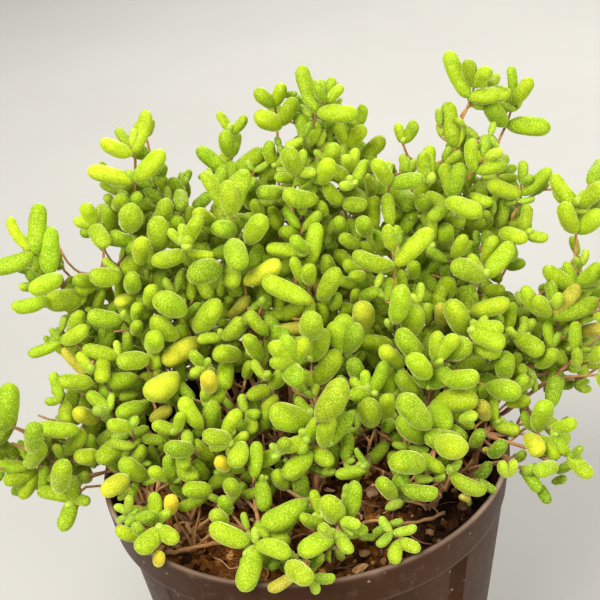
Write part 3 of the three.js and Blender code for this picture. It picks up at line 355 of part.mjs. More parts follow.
    leaves: [[-42.5,17.6,96.6,-40.6,21.7,104.3,3.2],[-42.5,17.6,96.6,-51.2,17.1,95.4,3.5],[-40.4,17,92.5,-39.4,21,100.1,3.7],[-38,15.1,93.1,-42.8,9.8,93.6,3.7],[-41.1,14.8,89.4,-47.2,13,89.4,2.8],[-32.9,20.3,88.8,-36.4,16.5,89.2,2.6],[-43.4,22.9,90,-40,28.1,91.6,3.0],[-41.7,20.4,88,-44.6,24.2,84,3.2],[-43.2,27.9,80.1,-39,29.8,85.3,2.9],[-32.4,29.7,79.7,-35.4,28.8,85.6,3.3],[-32.4,29.7,79.7,-32.1,34.8,76.9,3.3]] },
  { name: "leafy_stem_42", twigs: [[0.60,[19,5.7,54.6,19,5.7,58.2,32.8,12,81.2,33.6,10.6,85.8],[31.7,9.7,90.9,2.5]],[0.42,[29.3,10.4,75.4,28.5,15.9,80.1],[27.9,13,85.1,2.8]],[0.42,[30.2,10.8,76.9,30.9,8.2,80.8],[37.1,5.1,83.8,3.7]],[0.42,[28.9,13.2,77.8,26.4,16,77.5]],[0.42,[30.4,10,78,29.6,5.5,77.9],[27.1,3.6,85.9,4.3]],[0.42,[27.5,9.6,72.4,26.1,10.1,77.6],[25.8,8.1,83.1,2.7]]],
    leaves: [[26.4,16,77.5,26.1,12.3,82.5,2.9],[33.6,10.6,85.8,39.4,13.2,90.7,3.3],[33.6,10.6,85.8,28.3,6.7,90.9,4.0]] },
  { name: "leafy_stem_43", twigs: [[0.60,[-22.3,5.1,54.6,-22.3,5.1,58.2,-25.6,5.6,63.7,-33.6,6.3,78.5,-37.1,6.4,88.6,-48,5.9,98.1]],[0.42,[-34.3,6.3,80.5,-38.2,13.6,81.7]],[0.42,[-33.6,6.3,78.5,-32.4,8.2,80.4,-29.7,7,80.6,-34.5,5.6,78.7]],[0.42,[-31.9,6.1,75.3,-33.1,15.3,77.8]],[0.42,[-32.4,9.9,76.3,-37.2,11.7,74.5,-39.5,10.7,82.7],[-34.4,7.9,86.4,2.8]]],
    leaves: [[-38.2,13.6,81.7,-35.4,11,87.9,3.2],[-39.5,10.7,82.7,-45.5,10.1,81.3,2.3],[-39.2,10.8,81.7,-35.7,8.2,77.2,2.2],[-29.7,7,80.6,-35.8,8.1,82.5,2.6],[-32.4,8.2,80.4,-32.6,2.3,78.8,2.8],[-45.8,6,96.2,-51.4,4.1,94.9,3.2]] },
  { name: "leafy_stem_44", twigs: [[0.60,[2,7,54.6,2,7,58.2,3.4,8.5,64.7,5.1,12,77.4,5.1,12.9,81.1,5,13.3,86.2,4.6,13.7,91,4.4,14.4,92.5],[2.1,11.9,97,2.7]],[0.42,[5.1,13.2,84.5,-2,17.4,87.8]],[0.42,[3.7,14,85.2,4.6,18,87.7,3.9,17.6,90.4,4.4,15.1,89.6]],[0.42,[5.1,13.2,84.5,3.1,11.9,87.9]],[0.42,[5.1,13,82.8,8.1,18.5,85.4],[7.3,16.1,90.7,2.7]],[0.42,[4.1,12.5,86.2,3.9,9.2,86.9,4,5.9,87.5],[-3.9,8.2,91.7,3.9]],[0.42,[5.1,12.9,81.1,4.7,12.2,83,4.8,10.9,84.8,5.5,9.5,85.8],[9,7.4,92.3,3.7]],[0.42,[5.1,12.5,79.3,4.1,11.9,80.7,3.9,10.9,82,3.9,10,88.8],[4.2,7.3,93.5,2.6]]],
    leaves: [[4.4,14.4,92.5,-2.7,15.2,93.9,2.5],[4.4,15.1,89.6,6.6,18.5,96.2,3.0]] },
];

// ---- loose bits on the soil ---------------------------------------------------------------
const LIE = 0.45;                // daylight under the loose bits
// dry stems: radius, lift, points [x, y]
const DRY_STEMS = [
  ["dry_stem_1", 0.45, 1.5, [[-24.3, -17.2], [-21.2, -19.3], [-17.9, -19.2], [-14.6, -18.0]]],
  ["dry_stem_2", 0.4, 0, [[-24.2, -9.4], [-23.6, -13.0], [-22.0, -17.0]]],
  ["dry_stem_3", 0.45, 0, [[-21.0, -10.8], [-19.6, -14.0], [-17.8, -16.6]]],
  ["dry_stem_4", 0.35, 0, [[21.6, -15.6], [17.4, -17.6], [14.0, -17.9]]],
];
// flat flakes of bark: x, y, length, width, thickness, turn and tilt in degrees
const BARK = [
  ["bark_chip_1", 10.6, -8.2, 2.9, 1.7, 0.8, 25, 14],
  ["bark_chip_2", 3.4, -6.4, 2.4, 1.5, 0.8, -35, 18],
  ["bark_chip_3", 7.4, -24.2, 2.6, 1.6, 0.7, 70, 12],
  ["bark_chip_4", -18.6, -5.2, 2.6, 1.8, 0.8, 10, 20],
];
// fallen leaves: x, y, length, width, turn
const FALLEN = [
  ["fallen_leaf_1", 13.6, -13.9, 3.4, 1.7, 20],
  ["fallen_leaf_2", 25.6, -13.0, 3.0, 1.6, 115],
];

// lowers a shape onto the soil, with daylight all round
function lay(g, lift = 0) {
  const p = g.attributes.position;
  let need = -Infinity;
  for (let i = 0; i < p.count; i++) need = Math.max(need, soilHeight(p.getX(i), p.getY(i)) - p.getZ(i));
  g.translate(0, 0, need + LIE + lift);
  return g;
}
function dryStem(radius, lift, points) {
  return toSolid(lay(tube(radius, points.flatMap(([x, y]) => [x, y, soilHeight(x, y)])), lift));
}
function barkChip(x, y, length, width, thickness, turn, tilt) {
  const outline = [[-0.5, -0.3], [0.1, -0.5], [0.5, -0.1], [0.35, 0.45], [-0.4, 0.4]].map(([a, b]) => [a * length, b * width]);
  const g = prism(outline, 0, thickness);
  g.rotateY(THREE.MathUtils.degToRad(tilt));
  g.rotateZ(THREE.MathUtils.degToRad(turn));
  g.translate(x, y, SOIL_LEVEL);
  return toSolid(lay(g));
}
function fallenLeaf(x, y, length, width, turn) {
  const a = THREE.MathUtils.degToRad(turn), c = (Math.cos(a) * length) / 2, s = (Math.sin(a) * length) / 2;
  return toSolid(lay(leaf([x - c, y - s, SOIL_LEVEL], [x + c, y + s, SOIL_LEVEL + 0.4], width, 5)));
}
const LOOSE = [
  ...DRY_STEMS.map(([name, ...a]) => [name, dryStem(...a), "dry"]),
  ...BARK.map(([name, ...a]) => [name, barkChip(...a), "bark"]),
  ...FALLEN.map(([name, ...a]) => [name, fallenLeaf(...a), "fallen"]),
];

// ---- the whole ----------------------------------------------------------------------------
const material = {
  pot: new THREE.MeshStandardMaterial({ color: 0x3b2d26, roughness: 0.55, metalness: 0 }),
  soil: new THREE.MeshStandardMaterial({ color: 0x3a2416, roughness: 1, metalness: 0 }),
  plant: new THREE.MeshStandardMaterial({ color: 0x9cc832, roughness: 0.6, metalness: 0 }),
  dry: new THREE.MeshStandardMaterial({ color: 0xa9713a, roughness: 0.9, metalness: 0 }),
  bark: new THREE.MeshStandardMaterial({ color: 0xb9855c, roughness: 0.95, metalness: 0 }),
  fallen: new THREE.MeshStandardMaterial({ color: 0xa9b36a, roughness: 0.8, metalness: 0 }),
};
const group = new THREE.Group();
function put(name, solid, mat) {
  const mesh = new THREE.Mesh(toGeometry(solid), mat);
  mesh.name = name;
  group.add(mesh);
}
put("pot", makePot(), material.pot);
put("potting_soil", makeSoil(STEMS.map((s) => {
  const [r, [x, y, z]] = s.twigs[0];
  return [x, y, z, r];
})), material.soil);
for (const row of STEMS) put(row.name, makeStem(row), material.plant);
for (const [name, solid, kind] of LOOSE) put(name, solid, material[kind]);

export default group;
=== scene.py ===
# A drosanthemum in a round plastic nursery pot.
# The lengths in the tables are in millimetres; the scene is in metres, +Z up,
# with the origin in the middle of the pot's underside.
import math

import bpy
import numpy as np
from mathutils import Matrix, Vector


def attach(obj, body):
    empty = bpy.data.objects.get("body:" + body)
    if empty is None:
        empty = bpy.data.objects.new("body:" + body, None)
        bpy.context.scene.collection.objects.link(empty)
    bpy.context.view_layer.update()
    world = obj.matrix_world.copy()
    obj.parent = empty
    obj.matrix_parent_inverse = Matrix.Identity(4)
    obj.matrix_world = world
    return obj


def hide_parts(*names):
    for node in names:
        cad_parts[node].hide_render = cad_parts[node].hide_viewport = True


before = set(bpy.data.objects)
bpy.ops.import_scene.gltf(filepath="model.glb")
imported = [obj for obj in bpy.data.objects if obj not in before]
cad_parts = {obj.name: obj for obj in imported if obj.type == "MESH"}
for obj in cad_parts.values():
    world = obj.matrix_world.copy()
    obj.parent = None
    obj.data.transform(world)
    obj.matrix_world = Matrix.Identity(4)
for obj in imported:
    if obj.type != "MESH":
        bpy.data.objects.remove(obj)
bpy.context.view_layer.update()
MM = 0.001

# ---- sizes, as in the solid model -----------------------------------------------------------
POT_HEIGHT = 62.0
RIM_RADIUS = 35.0
RIM_WALL = 1.0
BAND_HEIGHT = 7.0
BAND_BOTTOM_RADIUS = 34.2
WALL = 1.1
WALL_TOP_RADIUS = 32.8
BASE_RADIUS = 25.0
BASE_THICKNESS = 1.8
PANEL_COUNT = 4
PANEL_ANGLE = 34.0
PANEL_START = -46.0
PANEL_PROUD = 1.1
SLIT_WIDTH = 1.5
SLIT_DEPTH = 0.7
DRAIN_HOLES = 6
DRAIN_RADIUS = 3.0
DRAIN_RING = 15.5
SOIL_LEVEL = 57.0
SOIL_BUMP = 0.7
BAND_Z = POT_HEIGHT - BAND_HEIGHT

# ---- the plant ------------------------------------------------------------------------------
# Each rooted stem: its twigs are [radius at the foot, radius at the tip (1/100 mm), points in
# 1/20 mm]; its leaves are [base x, y, z, tip x, y, z (1/20 mm), radius (1/100 mm), kind].
# kind: 0 in front, 1 inner, 2 filling (1 and 2 painted darker as shade), 3 yellow, 4 ochre, 5 pale, 6 dark (painted
# shade), 7 ripe yellow,
# 8 the youngest pair at a tip
STEMS = [
    ([[82,30,[548,6,1100,621,6,1251,677,2,1349,692,5,1369,701,15,1373,713,38,1369,744,116,1341,758,141,1337,768,143,1346,785,122,1375,797,133,1375,829,186,1354,842,196,1354,850,186,1366,862,110,1435,868,101,1450,877,106,1456,912,152,1454,942,179,1465,951,184,1471,959,182,1481,971,169,1505,978,168,1514,1005,184,1531,1020,181,1549,1028,185,1555,1049,204,1560,1054,194,1574,1057,-31,1744]],[37,30,[942,179,1465,954,195,1459,962,199,1460,976,160,1495,1008,176,1505,1029,180,1518,1043,163,1543,1059,69,1630]],[44,30,[768,143,1346,796,141,1344,821,148,1338,848,174,1322,893,236,1285,921,271,1280,931,273,1280,938,258,1283,940,226,1296,943,157,1340,950,143,1350,961,145,1350,989,165,1344,1001,164,1347,1017,88,1406]],[37,30,[931,273,1280,941,260,1287,949,238,1301,971,162,1347,975,139,1367,955,68,1478]],[37,30,[797,133,1375,827,300,1296,830,331,1290,825,317,1311,780,172,1459,773,155,1481,768,147,1505,768,94,1532]],[37,30,[931,273,1280,937,305,1280,929,281,1288,923,258,1328,912,208,1382,893,124,1457]],[37,30,[848,174,1322,866,256,1290,883,340,1280,879,319,1284,860,232,1325,824,68,1427]],[37,30,[728,76,1356,707,24,1421]],[37,30,[692,5,1369,738,58,1396]],[37,30,[692,5,1369,734,10,1370]],[26,30,[734,10,1370,766,39,1367,776,42,1369,817,31,1395]],[27,30,[1001,164,1347,983,99,1458]],[32,28,[657,4,1315,613,-13,1338]],[32,28,[657,4,1315,600,49,1355]]],
     [[768,94,1532,731,74,1587,83,0],[768,94,1532,798,99,1584,75,0],[768,94,1532,813,91,1543,58,0],[757,103,1535,831,-8,1523,166,0],[824,68,1427,877,-1,1517,150,0],[707,24,1421,699,-31,1555,165,0],[738,58,1396,770,11,1469,117,0],[734,10,1370,769,-25,1451,116,0],[734,10,1370,807,25,1399,91,0],[955,68,1478,971,104,1566,108,0],[962,64,1403,963,56,1488,100,0],[1017,88,1406,1050,35,1496,134,0],[893,124,1457,886,169,1541,101,0],[893,124,1457,924,138,1509,76,0],[1059,69,1630,1112,92,1605,81,2],[1059,69,1630,1089,77,1689,81,2],[1015,47,1613,1116,-22,1629,144,2],[1064,72,1632,1106,97,1625,58,2],[1064,72,1632,1095,89,1667,58,2],[1057,-31,1744,1140,-43,1730,96,2],[1057,-31,1744,1083,-46,1833,96,2],[1062,-31,1748,1100,-58,1775,64,2],[1062,-31,1748,1098,-11,1782,64,2],[645,5,1294,617,54,1366,105,1],[946,72,1397,984,162,1354,122,1],[929,41,1214,915,114,1130,128,1],[832,43,1237,905,-62,1181,160,1],[868,93,1250,929,151,1329,132,1],[859,12,1281,895,73,1386,145,1],[774,101,1249,830,48,1160,134,1],[797,2,1199,823,-71,1140,111,1],[724,24,1242,724,44,1165,91,1],[686,80,1273,624,140,1253,101,1],[817,31,1395,781,41,1440,68,0],[817,31,1395,809,24,1349,64,1],[983,99,1458,1037,110,1447,69,0],[983,99,1458,936,98,1461,59,1],[613,-13,1338,678,10,1400,135,2],[613,-13,1338,622,18,1266,122,1],[600,49,1355,695,75,1392,135,2],[600,49,1355,562,12,1283,122,1]]),
    ([[83,30,[-193,327,1100,-244,384,1356,-295,434,1537,-306,448,1573,-310,462,1581,-314,487,1582,-327,597,1566,-328,599,1578,-320,497,1675,-317,476,1702,-316,469,1722,-319,482,1763,-354,526,1860,-358,536,1869,-363,556,1872,-395,773,1825,-398,778,1836,-394,631,1937,-395,613,1957,-400,627,1962,-418,742,1949,-422,754,1955,-424,747,1970,-423,629,2086,-423,625,2099,-427,651,2129,-429,654,2148,-431,649,2201]],[40,30,[-396,680,1904,-403,712,1926,-409,749,1938,-416,764,1963,-429,805,1984]],[37,30,[-404,721,1930,-416,742,1936,-435,795,1938,-441,801,1946,-444,785,1970,-445,741,2009,-444,678,2055]],[44,30,[-370,596,1867,-408,694,1837,-418,695,1841,-435,664,1865,-444,666,1868,-457,691,1861,-485,781,1831,-497,804,1825,-506,793,1834,-518,732,1870,-525,727,1881,-537,779,1903,-541,796,1918,-543,789,1940,-542,750,1991]],[40,30,[-506,793,1834,-497,818,1816,-492,817,1819,-488,830,1821,-482,818,1841,-494,819,1886]],[37,30,[-370,596,1867,-340,624,1923,-327,643,1950,-326,663,1990]],[37,30,[-435,664,1865,-424,624,1912]],[37,30,[-486,830,1824,-340,825,1808,-335,833,1824,-349,871,1909]],[37,30,[-342,512,1829,-318,563,1884]],[44,30,[-319,482,1763,-335,546,1758,-409,672,1750]],[40,30,[-348,571,1756,-305,650,1779,-303,660,1785,-321,692,1830]],[37,30,[-390,639,1752,-461,647,1719,-476,652,1719,-527,695,1770,-560,731,1806]],[37,30,[-316,630,1773,-304,685,1737,-292,825,1659,-290,833,1660,-289,832,1681,-289,817,1741,-290,817,1762,-294,835,1791]],[40,30,[-323,533,1641,-316,557,1659,-307,571,1675,-260,579,1740,-260,578,1795]],[37,30,[-295,574,1690,-206,623,1670,-201,628,1673,-205,640,1720]],[37,30,[-327,597,1566,-327,610,1568,-326,611,1576,-319,532,1654,-332,480,1718]],[40,30,[-314,487,1582,-371,575,1607]],[37,30,[-357,553,1601,-339,631,1565,-337,645,1565,-331,781,1646]],[37,30,[-291,430,1524,-203,529,1579]],[42,30,[-314,487,1582,-298,420,1626]],[26,30,[-260,578,1795,-243,582,1807,-215,574,1827,-179,570,1847]],[42,30,[-329,498,1796,-337,491,1829]],[32,28,[-395,613,1957,-375,611,1977]],[32,28,[-542,769,1966,-572,716,1982]],[32,28,[-354,526,1860,-361,527,1882]]],
     [[-318,563,1884,-305,565,1953,87,0],[-444,678,2055,-421,726,2091,92,2],[-427,654,2005,-514,749,2013,126,2],[-427,654,2005,-382,612,2102,126,2],[-445,680,2061,-441,679,2109,58,2],[-445,680,2061,-468,709,2092,58,2],[-542,750,1991,-603,754,2036,81,2],[-532,718,1953,-584,852,1936,148,2],[-520,670,1902,-666,703,1923,159,2],[-520,670,1902,-403,726,1957,159,2],[-543,754,1996,-530,787,2030,59,2],[-543,754,1996,-573,779,2026,59,2],[-560,731,1806,-604,801,1797,94,2],[-560,731,1806,-569,730,1900,94,2],[-529,696,1772,-663,679,1821,165,2],[-529,696,1772,-488,811,1855,165,2],[-475,648,1713,-455,606,1862,155,2],[-475,648,1713,-561,742,1600,155,2],[-564,733,1810,-609,757,1823,63,2],[-564,733,1810,-585,735,1858,63,2],[-294,835,1791,-286,901,1797,87,2],[-288,799,1751,-383,871,1774,142,2],[-288,799,1751,-212,798,1830,142,2],[-283,749,1693,-338,702,1807,151,2],[-283,749,1693,-267,885,1661,151,2],[-494,819,1886,-518,902,1881,87,2],[-494,819,1886,-514,824,1963,87,2],[-496,824,1889,-492,868,1920,64,2],[-496,824,1889,-537,855,1907,64,2],[-349,871,1909,-414,884,1924,85,2],[-349,871,1909,-313,914,1952,85,2],[-337,836,1865,-344,801,1975,126,2],[-324,799,1814,-458,788,1860,151,2],[-349,874,1914,-335,900,1949,55,2],[-331,781,1646,-387,858,1649,92,2],[-333,721,1610,-266,836,1581,153,2],[-336,637,1562,-203,641,1676,169,2],[-331,786,1649,-347,838,1659,66,2],[-331,786,1649,-313,820,1689,66,2],[-431,649,2201,-468,703,2238,102,2],[-431,649,2201,-402,618,2275,102,2],[-424,625,2133,-518,618,2221,169,2],[-433,651,2207,-429,685,2252,68,2],[-433,651,2207,-469,654,2250,68,2],[-326,663,1990,-368,709,1996,90,2],[-324,622,1958,-360,575,2063,148,2],[-326,667,1994,-319,714,2005,58,2],[-326,667,1994,-333,688,2037,58,2],[-203,529,1579,-235,588,1587,71,2],[-203,529,1579,-172,517,1645,71,2],[-204,533,1583,-194,549,1621,50,2],[-204,533,1583,-219,568,1601,50,2],[-332,480,1718,-371,437,1759,78,2],[-332,480,1718,-347,528,1770,78,2],[-313,480,1680,-239,460,1764,121,2],[-313,480,1680,-422,498,1682,121,2],[-334,479,1723,-368,482,1749,51,2],[-334,479,1723,-335,474,1765,51,2],[-409,672,1750,-429,747,1762,81,2],[-409,672,1750,-412,645,1828,81,2],[-411,674,1756,-420,674,1805,60,2],[-411,674,1756,-425,713,1784,60,2],[-321,692,1830,-302,760,1870,84,2],[-321,692,1830,-385,686,1878,84,2],[-299,660,1782,-261,640,1897,144,2],[-323,695,1835,-330,710,1884,62,2],[-323,695,1835,-352,735,1851,62,2],[-205,640,1720,-266,709,1744,83,2],[-205,640,1720,-167,628,1796,83,2],[-205,642,1726,-192,675,1763,61,2],[-205,642,1726,-217,640,1775,61,2],[-424,624,1912,-469,613,1960,74,2],[-424,624,1912,-394,667,1952,74,2],[-426,626,1918,-423,650,1954,52,2],[-426,626,1918,-451,622,1953,52,2],[-371,575,1607,-429,562,1645,71,2],[-371,575,1607,-346,605,1668,71,2],[-374,576,1613,-377,595,1652,52,2],[-374,576,1613,-404,568,1643,52,2],[-429,805,1984,-408,871,1998,85,2],[-429,805,1984,-470,781,2037,85,2],[-431,808,1988,-454,816,2028,55,2],[-431,808,1988,-434,848,2012,55,2],[-260,578,1795,-222,620,1827,76,2],[-260,578,1795,-303,575,1846,76,2],[-257,559,1747,-220,511,1849,118,2],[-261,579,1801,-253,568,1843,52,2],[-261,579,1801,-268,604,1836,52,2],[-419,598,2077,-389,543,2150,111,1],[-393,568,1982,-455,547,2041,101,1],[-317,451,1657,-408,450,1675,107,1],[-302,440,1559,-317,512,1520,95,1],[-416,743,1982,-451,804,1914,112,1],[-467,625,1899,-412,695,1823,134,1],[-478,718,1867,-454,731,1761,125,1],[-331,541,1759,-263,609,1660,158,1],[-337,503,1604,-349,566,1484,156,1],[-347,588,1585,-246,576,1592,116,1],[-251,475,1549,-136,464,1511,139,1],[-298,420,1626,-200,455,1641,125,2],[-298,420,1626,-369,387,1628,101,1],[-179,570,1847,-227,649,1897,125,2],[-179,570,1847,-177,516,1771,114,1],[-337,491,1829,-419,541,1839,125,2],[-337,491,1829,-272,455,1852,111,1],[-375,611,1977,-411,621,2071,135,2],[-572,716,1982,-467,732,1998,135,2],[-572,716,1982,-601,800,1959,122,1],[-361,527,1882,-416,569,1958,135,2]]),
    ([[74,30,[237,267,1100,246,337,1234,248,353,1252,249,372,1255,252,405,1248,258,502,1218,260,526,1218,259,515,1240,254,425,1341,253,419,1359,254,422,1372,256,491,1482,270,536,1635,273,561,1717,269,566,1743,266,576,1755,251,688,1798,246,708,1823,245,691,1851,247,619,1905,235,495,1928]],[42,30,[270,536,1635,382,489,1719,389,486,1733,389,485,1831,393,488,1902,394,482,1922,388,378,1872]],[37,30,[270,536,1635,270,594,1678,287,619,1716]],[40,30,[332,511,1681,428,517,1649,439,519,1649,463,543,1689]],[37,30,[404,515,1657,409,508,1655,415,512,1647,437,558,1606,441,546,1606,448,398,1660,455,360,1668]],[37,30,[262,509,1538,286,484,1630]],[37,30,[258,499,1504,251,509,1506,244,531,1503,224,636,1469,215,642,1474,190,567,1539,191,556,1558,202,556,1588]],[44,30,[254,443,1406,289,623,1309,302,638,1304,326,485,1403,335,459,1422,345,449,1432,367,446,1441,487,454,1480]],[40,30,[356,446,1437,392,472,1513,419,501,1548]],[37,30,[374,458,1475,346,444,1510,342,441,1522,341,435,1589,330,431,1601,316,431,1606,306,442,1610,310,499,1624,310,511,1636,301,489,1655,274,379,1714]],[37,30,[254,443,1406,272,599,1335,278,623,1331,282,496,1435,285,475,1461,289,471,1481,294,474,1496]],[37,30,[302,638,1304,317,747,1286,323,738,1284,324,658,1304,325,582,1339,336,460,1413,347,412,1446,371,380,1515]],[37,30,[260,526,1218,272,556,1228,283,568,1236,292,555,1240,300,525,1244,308,493,1255,317,469,1271,334,438,1296,399,362,1366]],[37,30,[270,536,1635,292,522,1653]],[30,30,[389,486,1733,426,471,1791]],[27,30,[190,567,1539,191,542,1600]],[27,30,[306,442,1610,297,360,1635]],[28,30,[439,519,1649,446,541,1618]],[26,30,[419,501,1548,400,528,1562]],[32,28,[410,478,1768,374,407,1779]],[32,28,[343,438,1568,300,442,1591]],[32,28,[342,439,1543,309,428,1567]]],
     [[235,495,1928,179,447,2029,144,0],[235,495,1928,308,399,1954,144,0],[388,378,1872,387,433,1975,119,0],[455,360,1668,452,304,1756,129,0],[274,379,1714,214,330,1778,120,0],[463,543,1689,517,585,1706,76,2],[463,543,1689,455,547,1756,76,2],[441,517,1645,391,604,1675,137,2],[441,517,1645,518,492,1701,137,2],[464,546,1694,492,551,1732,56,2],[464,546,1694,461,579,1727,56,2],[294,474,1496,305,552,1528,78,2],[294,474,1496,332,442,1563,78,2],[279,457,1454,233,459,1583,124,2],[279,457,1454,397,512,1461,124,2],[296,477,1501,331,494,1530,57,2],[296,477,1501,291,490,1547,57,2],[286,484,1630,267,455,1688,71,2],[288,484,1636,291,473,1680,54,2],[288,484,1636,319,499,1665,54,2],[371,380,1515,374,445,1548,67,2],[371,380,1515,416,356,1554,67,2],[342,359,1473,300,382,1576,130,2],[342,359,1473,442,403,1467,130,2],[375,382,1519,413,399,1532,52,2],[375,382,1519,386,395,1560,52,2],[287,619,1716,347,620,1747,74,2],[268,590,1678,228,581,1782,128,2],[268,590,1678,358,677,1668,128,2],[289,622,1720,317,654,1734,53,2],[289,622,1720,293,638,1761,53,2],[419,501,1548,476,529,1542,78,2],[391,470,1513,395,576,1512,106,2],[391,470,1513,431,419,1593,106,2],[421,504,1553,442,511,1588,50,2],[421,504,1553,433,541,1569,50,2],[487,454,1480,538,497,1480,87,2],[487,454,1480,470,441,1553,87,2],[489,457,1485,490,475,1533,61,2],[489,457,1485,523,489,1505,61,2],[202,556,1588,261,573,1614,78,2],[202,556,1588,169,548,1643,78,2],[185,546,1548,155,649,1593,133,2],[204,558,1594,221,546,1633,52,2],[204,558,1594,211,584,1628,52,2],[399,362,1366,425,422,1388,84,2],[399,362,1366,420,331,1424,84,2],[402,364,1371,418,353,1412,54,2],[402,364,1371,424,391,1399,54,2],[272,546,1672,291,441,1746,149,1],[266,519,1575,171,509,1606,114,1],[247,341,1242,161,376,1270,110,1],[434,426,1663,360,361,1631,118,1],[424,449,1460,496,522,1399,137,1],[332,444,1430,380,389,1372,107,1],[314,404,1442,261,415,1530,118,1],[336,367,1341,366,248,1382,148,1],[292,522,1653,307,440,1566,139,2],[292,522,1653,288,600,1727,126,1],[426,471,1791,494,503,1867,125,2],[191,542,1600,207,569,1702,125,2],[297,360,1635,362,325,1550,125,2],[297,360,1635,238,383,1716,103,1],[446,541,1618,555,537,1639,125,2],[446,541,1618,359,560,1606,107,1],[400,528,1562,314,508,1596,125,2],[400,528,1562,433,609,1554,108,1],[374,407,1779,475,394,1795,135,2],[374,407,1779,326,480,1767,122,1],[300,442,1591,393,462,1588,135,2],[309,428,1567,223,465,1631,135,2]]),
    ([[71,30,[-151,-351,1100,-178,-522,1271,-194,-587,1330]],[37,30,[-181,-538,1286,-178,-534,1291,-175,-520,1288,-167,-440,1251,-166,-444,1256,-179,-568,1310,-179,-610,1339]],[50,30,[-164,-444,1190,-174,-386,1273,-176,-375,1281,-179,-334,1281,-182,-249,1264,-181,-234,1269,-179,-239,1287,-172,-315,1372]],[37,30,[-181,-234,1269,-157,-235,1309,-149,-289,1334]],[42,30,[-168,-421,1220,-273,-424,1295]],[37,30,[-194,-422,1239,-205,-467,1287]],[37,30,[-176,-375,1281,-187,-344,1283,-210,-270,1257,-217,-261,1258,-225,-265,1268,-238,-289,1299]],[37,30,[-220,-422,1257,-261,-353,1278]],[37,30,[-164,-444,1190,-131,-511,1184,-123,-530,1187,-120,-559,1227]],[37,30,[-172,-400,1252,-179,-417,1276]],[37,30,[-168,-421,1220,-131,-411,1248]],[28,30,[-150,-416,1234,-138,-418,1232,-127,-405,1217,-121,-408,1217,-97,-462,1246]]],
     [[-172,-315,1372,-149,-260,1474,116,0],[-238,-289,1299,-250,-354,1396,134,0],[-261,-353,1278,-273,-397,1369,117,0],[-273,-424,1295,-300,-490,1381,130,0],[-194,-587,1330,-307,-599,1421,161,0],[-149,-289,1334,-149,-305,1373,55,0],[-149,-289,1334,-130,-300,1363,47,0],[-154,-276,1341,-148,-375,1282,133,0],[-179,-417,1276,-145,-494,1272,108,0],[-131,-411,1248,-91,-522,1259,145,0],[-205,-467,1287,-214,-440,1338,61,0],[-179,-610,1339,-178,-590,1391,67,0],[-179,-610,1339,-220,-637,1325,67,0],[-179,-610,1339,-82,-694,1350,148,0],[-179,-610,1339,-231,-705,1245,178,0],[-120,-559,1227,-148,-614,1245,69,2],[-121,-537,1185,-5,-586,1204,120,2],[-121,-537,1185,-219,-548,1274,120,2],[-119,-563,1232,-132,-581,1269,51,2],[-119,-563,1232,-96,-588,1258,51,2],[-168,-467,1214,-243,-500,1182,101,1],[-205,-467,1287,-203,-513,1262,54,1],[-131,-411,1248,-141,-332,1236,99,1],[-97,-462,1246,-65,-442,1283,63,0],[-97,-462,1246,-106,-485,1215,52,1],[-127,-410,1250,-102,-402,1277,61,8],[-127,-410,1250,-90,-404,1244,53,8]]),
    ([[80,30,[257,-176,1100,318,-150,1252,341,-138,1335,369,-131,1387,383,-126,1404,390,-114,1407,400,-86,1399,437,70,1328,447,99,1319,455,108,1324,468,100,1350,471,75,1377,472,-126,1545]],[37,30,[437,70,1328,443,103,1323,444,96,1346,442,41,1418,432,-79,1530]],[47,30,[376,-130,1397,455,-152,1377,469,-146,1372,499,-115,1352,508,-116,1357,514,-195,1420]],[46,30,[455,-152,1377,436,-183,1383,429,-200,1399,440,-171,1391,441,-204,1406,423,-325,1443]],[37,30,[437,-175,1395,434,-102,1349,402,-280,1461]],[37,30,[376,-130,1397,429,-86,1414,453,-85,1436]],[42,30,[441,-204,1406,409,-289,1356,397,-310,1325,384,-314,1305,375,-319,1299,364,-329,1298,316,-383,1322,289,-424,1347]],[37,30,[419,-265,1373,398,-288,1357,390,-304,1357,370,-356,1371]],[37,30,[357,-133,1367,428,-77,1375]],[42,30,[332,-146,1300,259,-107,1343,249,-106,1352,239,-112,1370,237,-86,1361,229,-160,1421]],[37,30,[328,-370,1316,311,-324,1259,300,-319,1246,288,-343,1258,262,-415,1305]],[37,30,[341,-138,1335,374,-149,1334,406,-194,1356]],[37,30,[259,-107,1343,289,-77,1373]],[37,30,[241,-111,1365,222,-158,1358,218,-165,1355,215,-167,1348,211,-123,1289,211,-126,1278,203,-283,1339]],[37,30,[322,-149,1263,332,-116,1272]],[37,30,[296,-159,1193,238,-157,1236,198,-161,1265]],[37,30,[296,-159,1193,318,-207,1196,324,-214,1200,356,-218,1238]],[42,30,[332,-146,1300,339,-208,1344]],[29,30,[218,-165,1355,214,-161,1359,211,-148,1357,204,-49,1309,199,-46,1313,181,-148,1399]]],
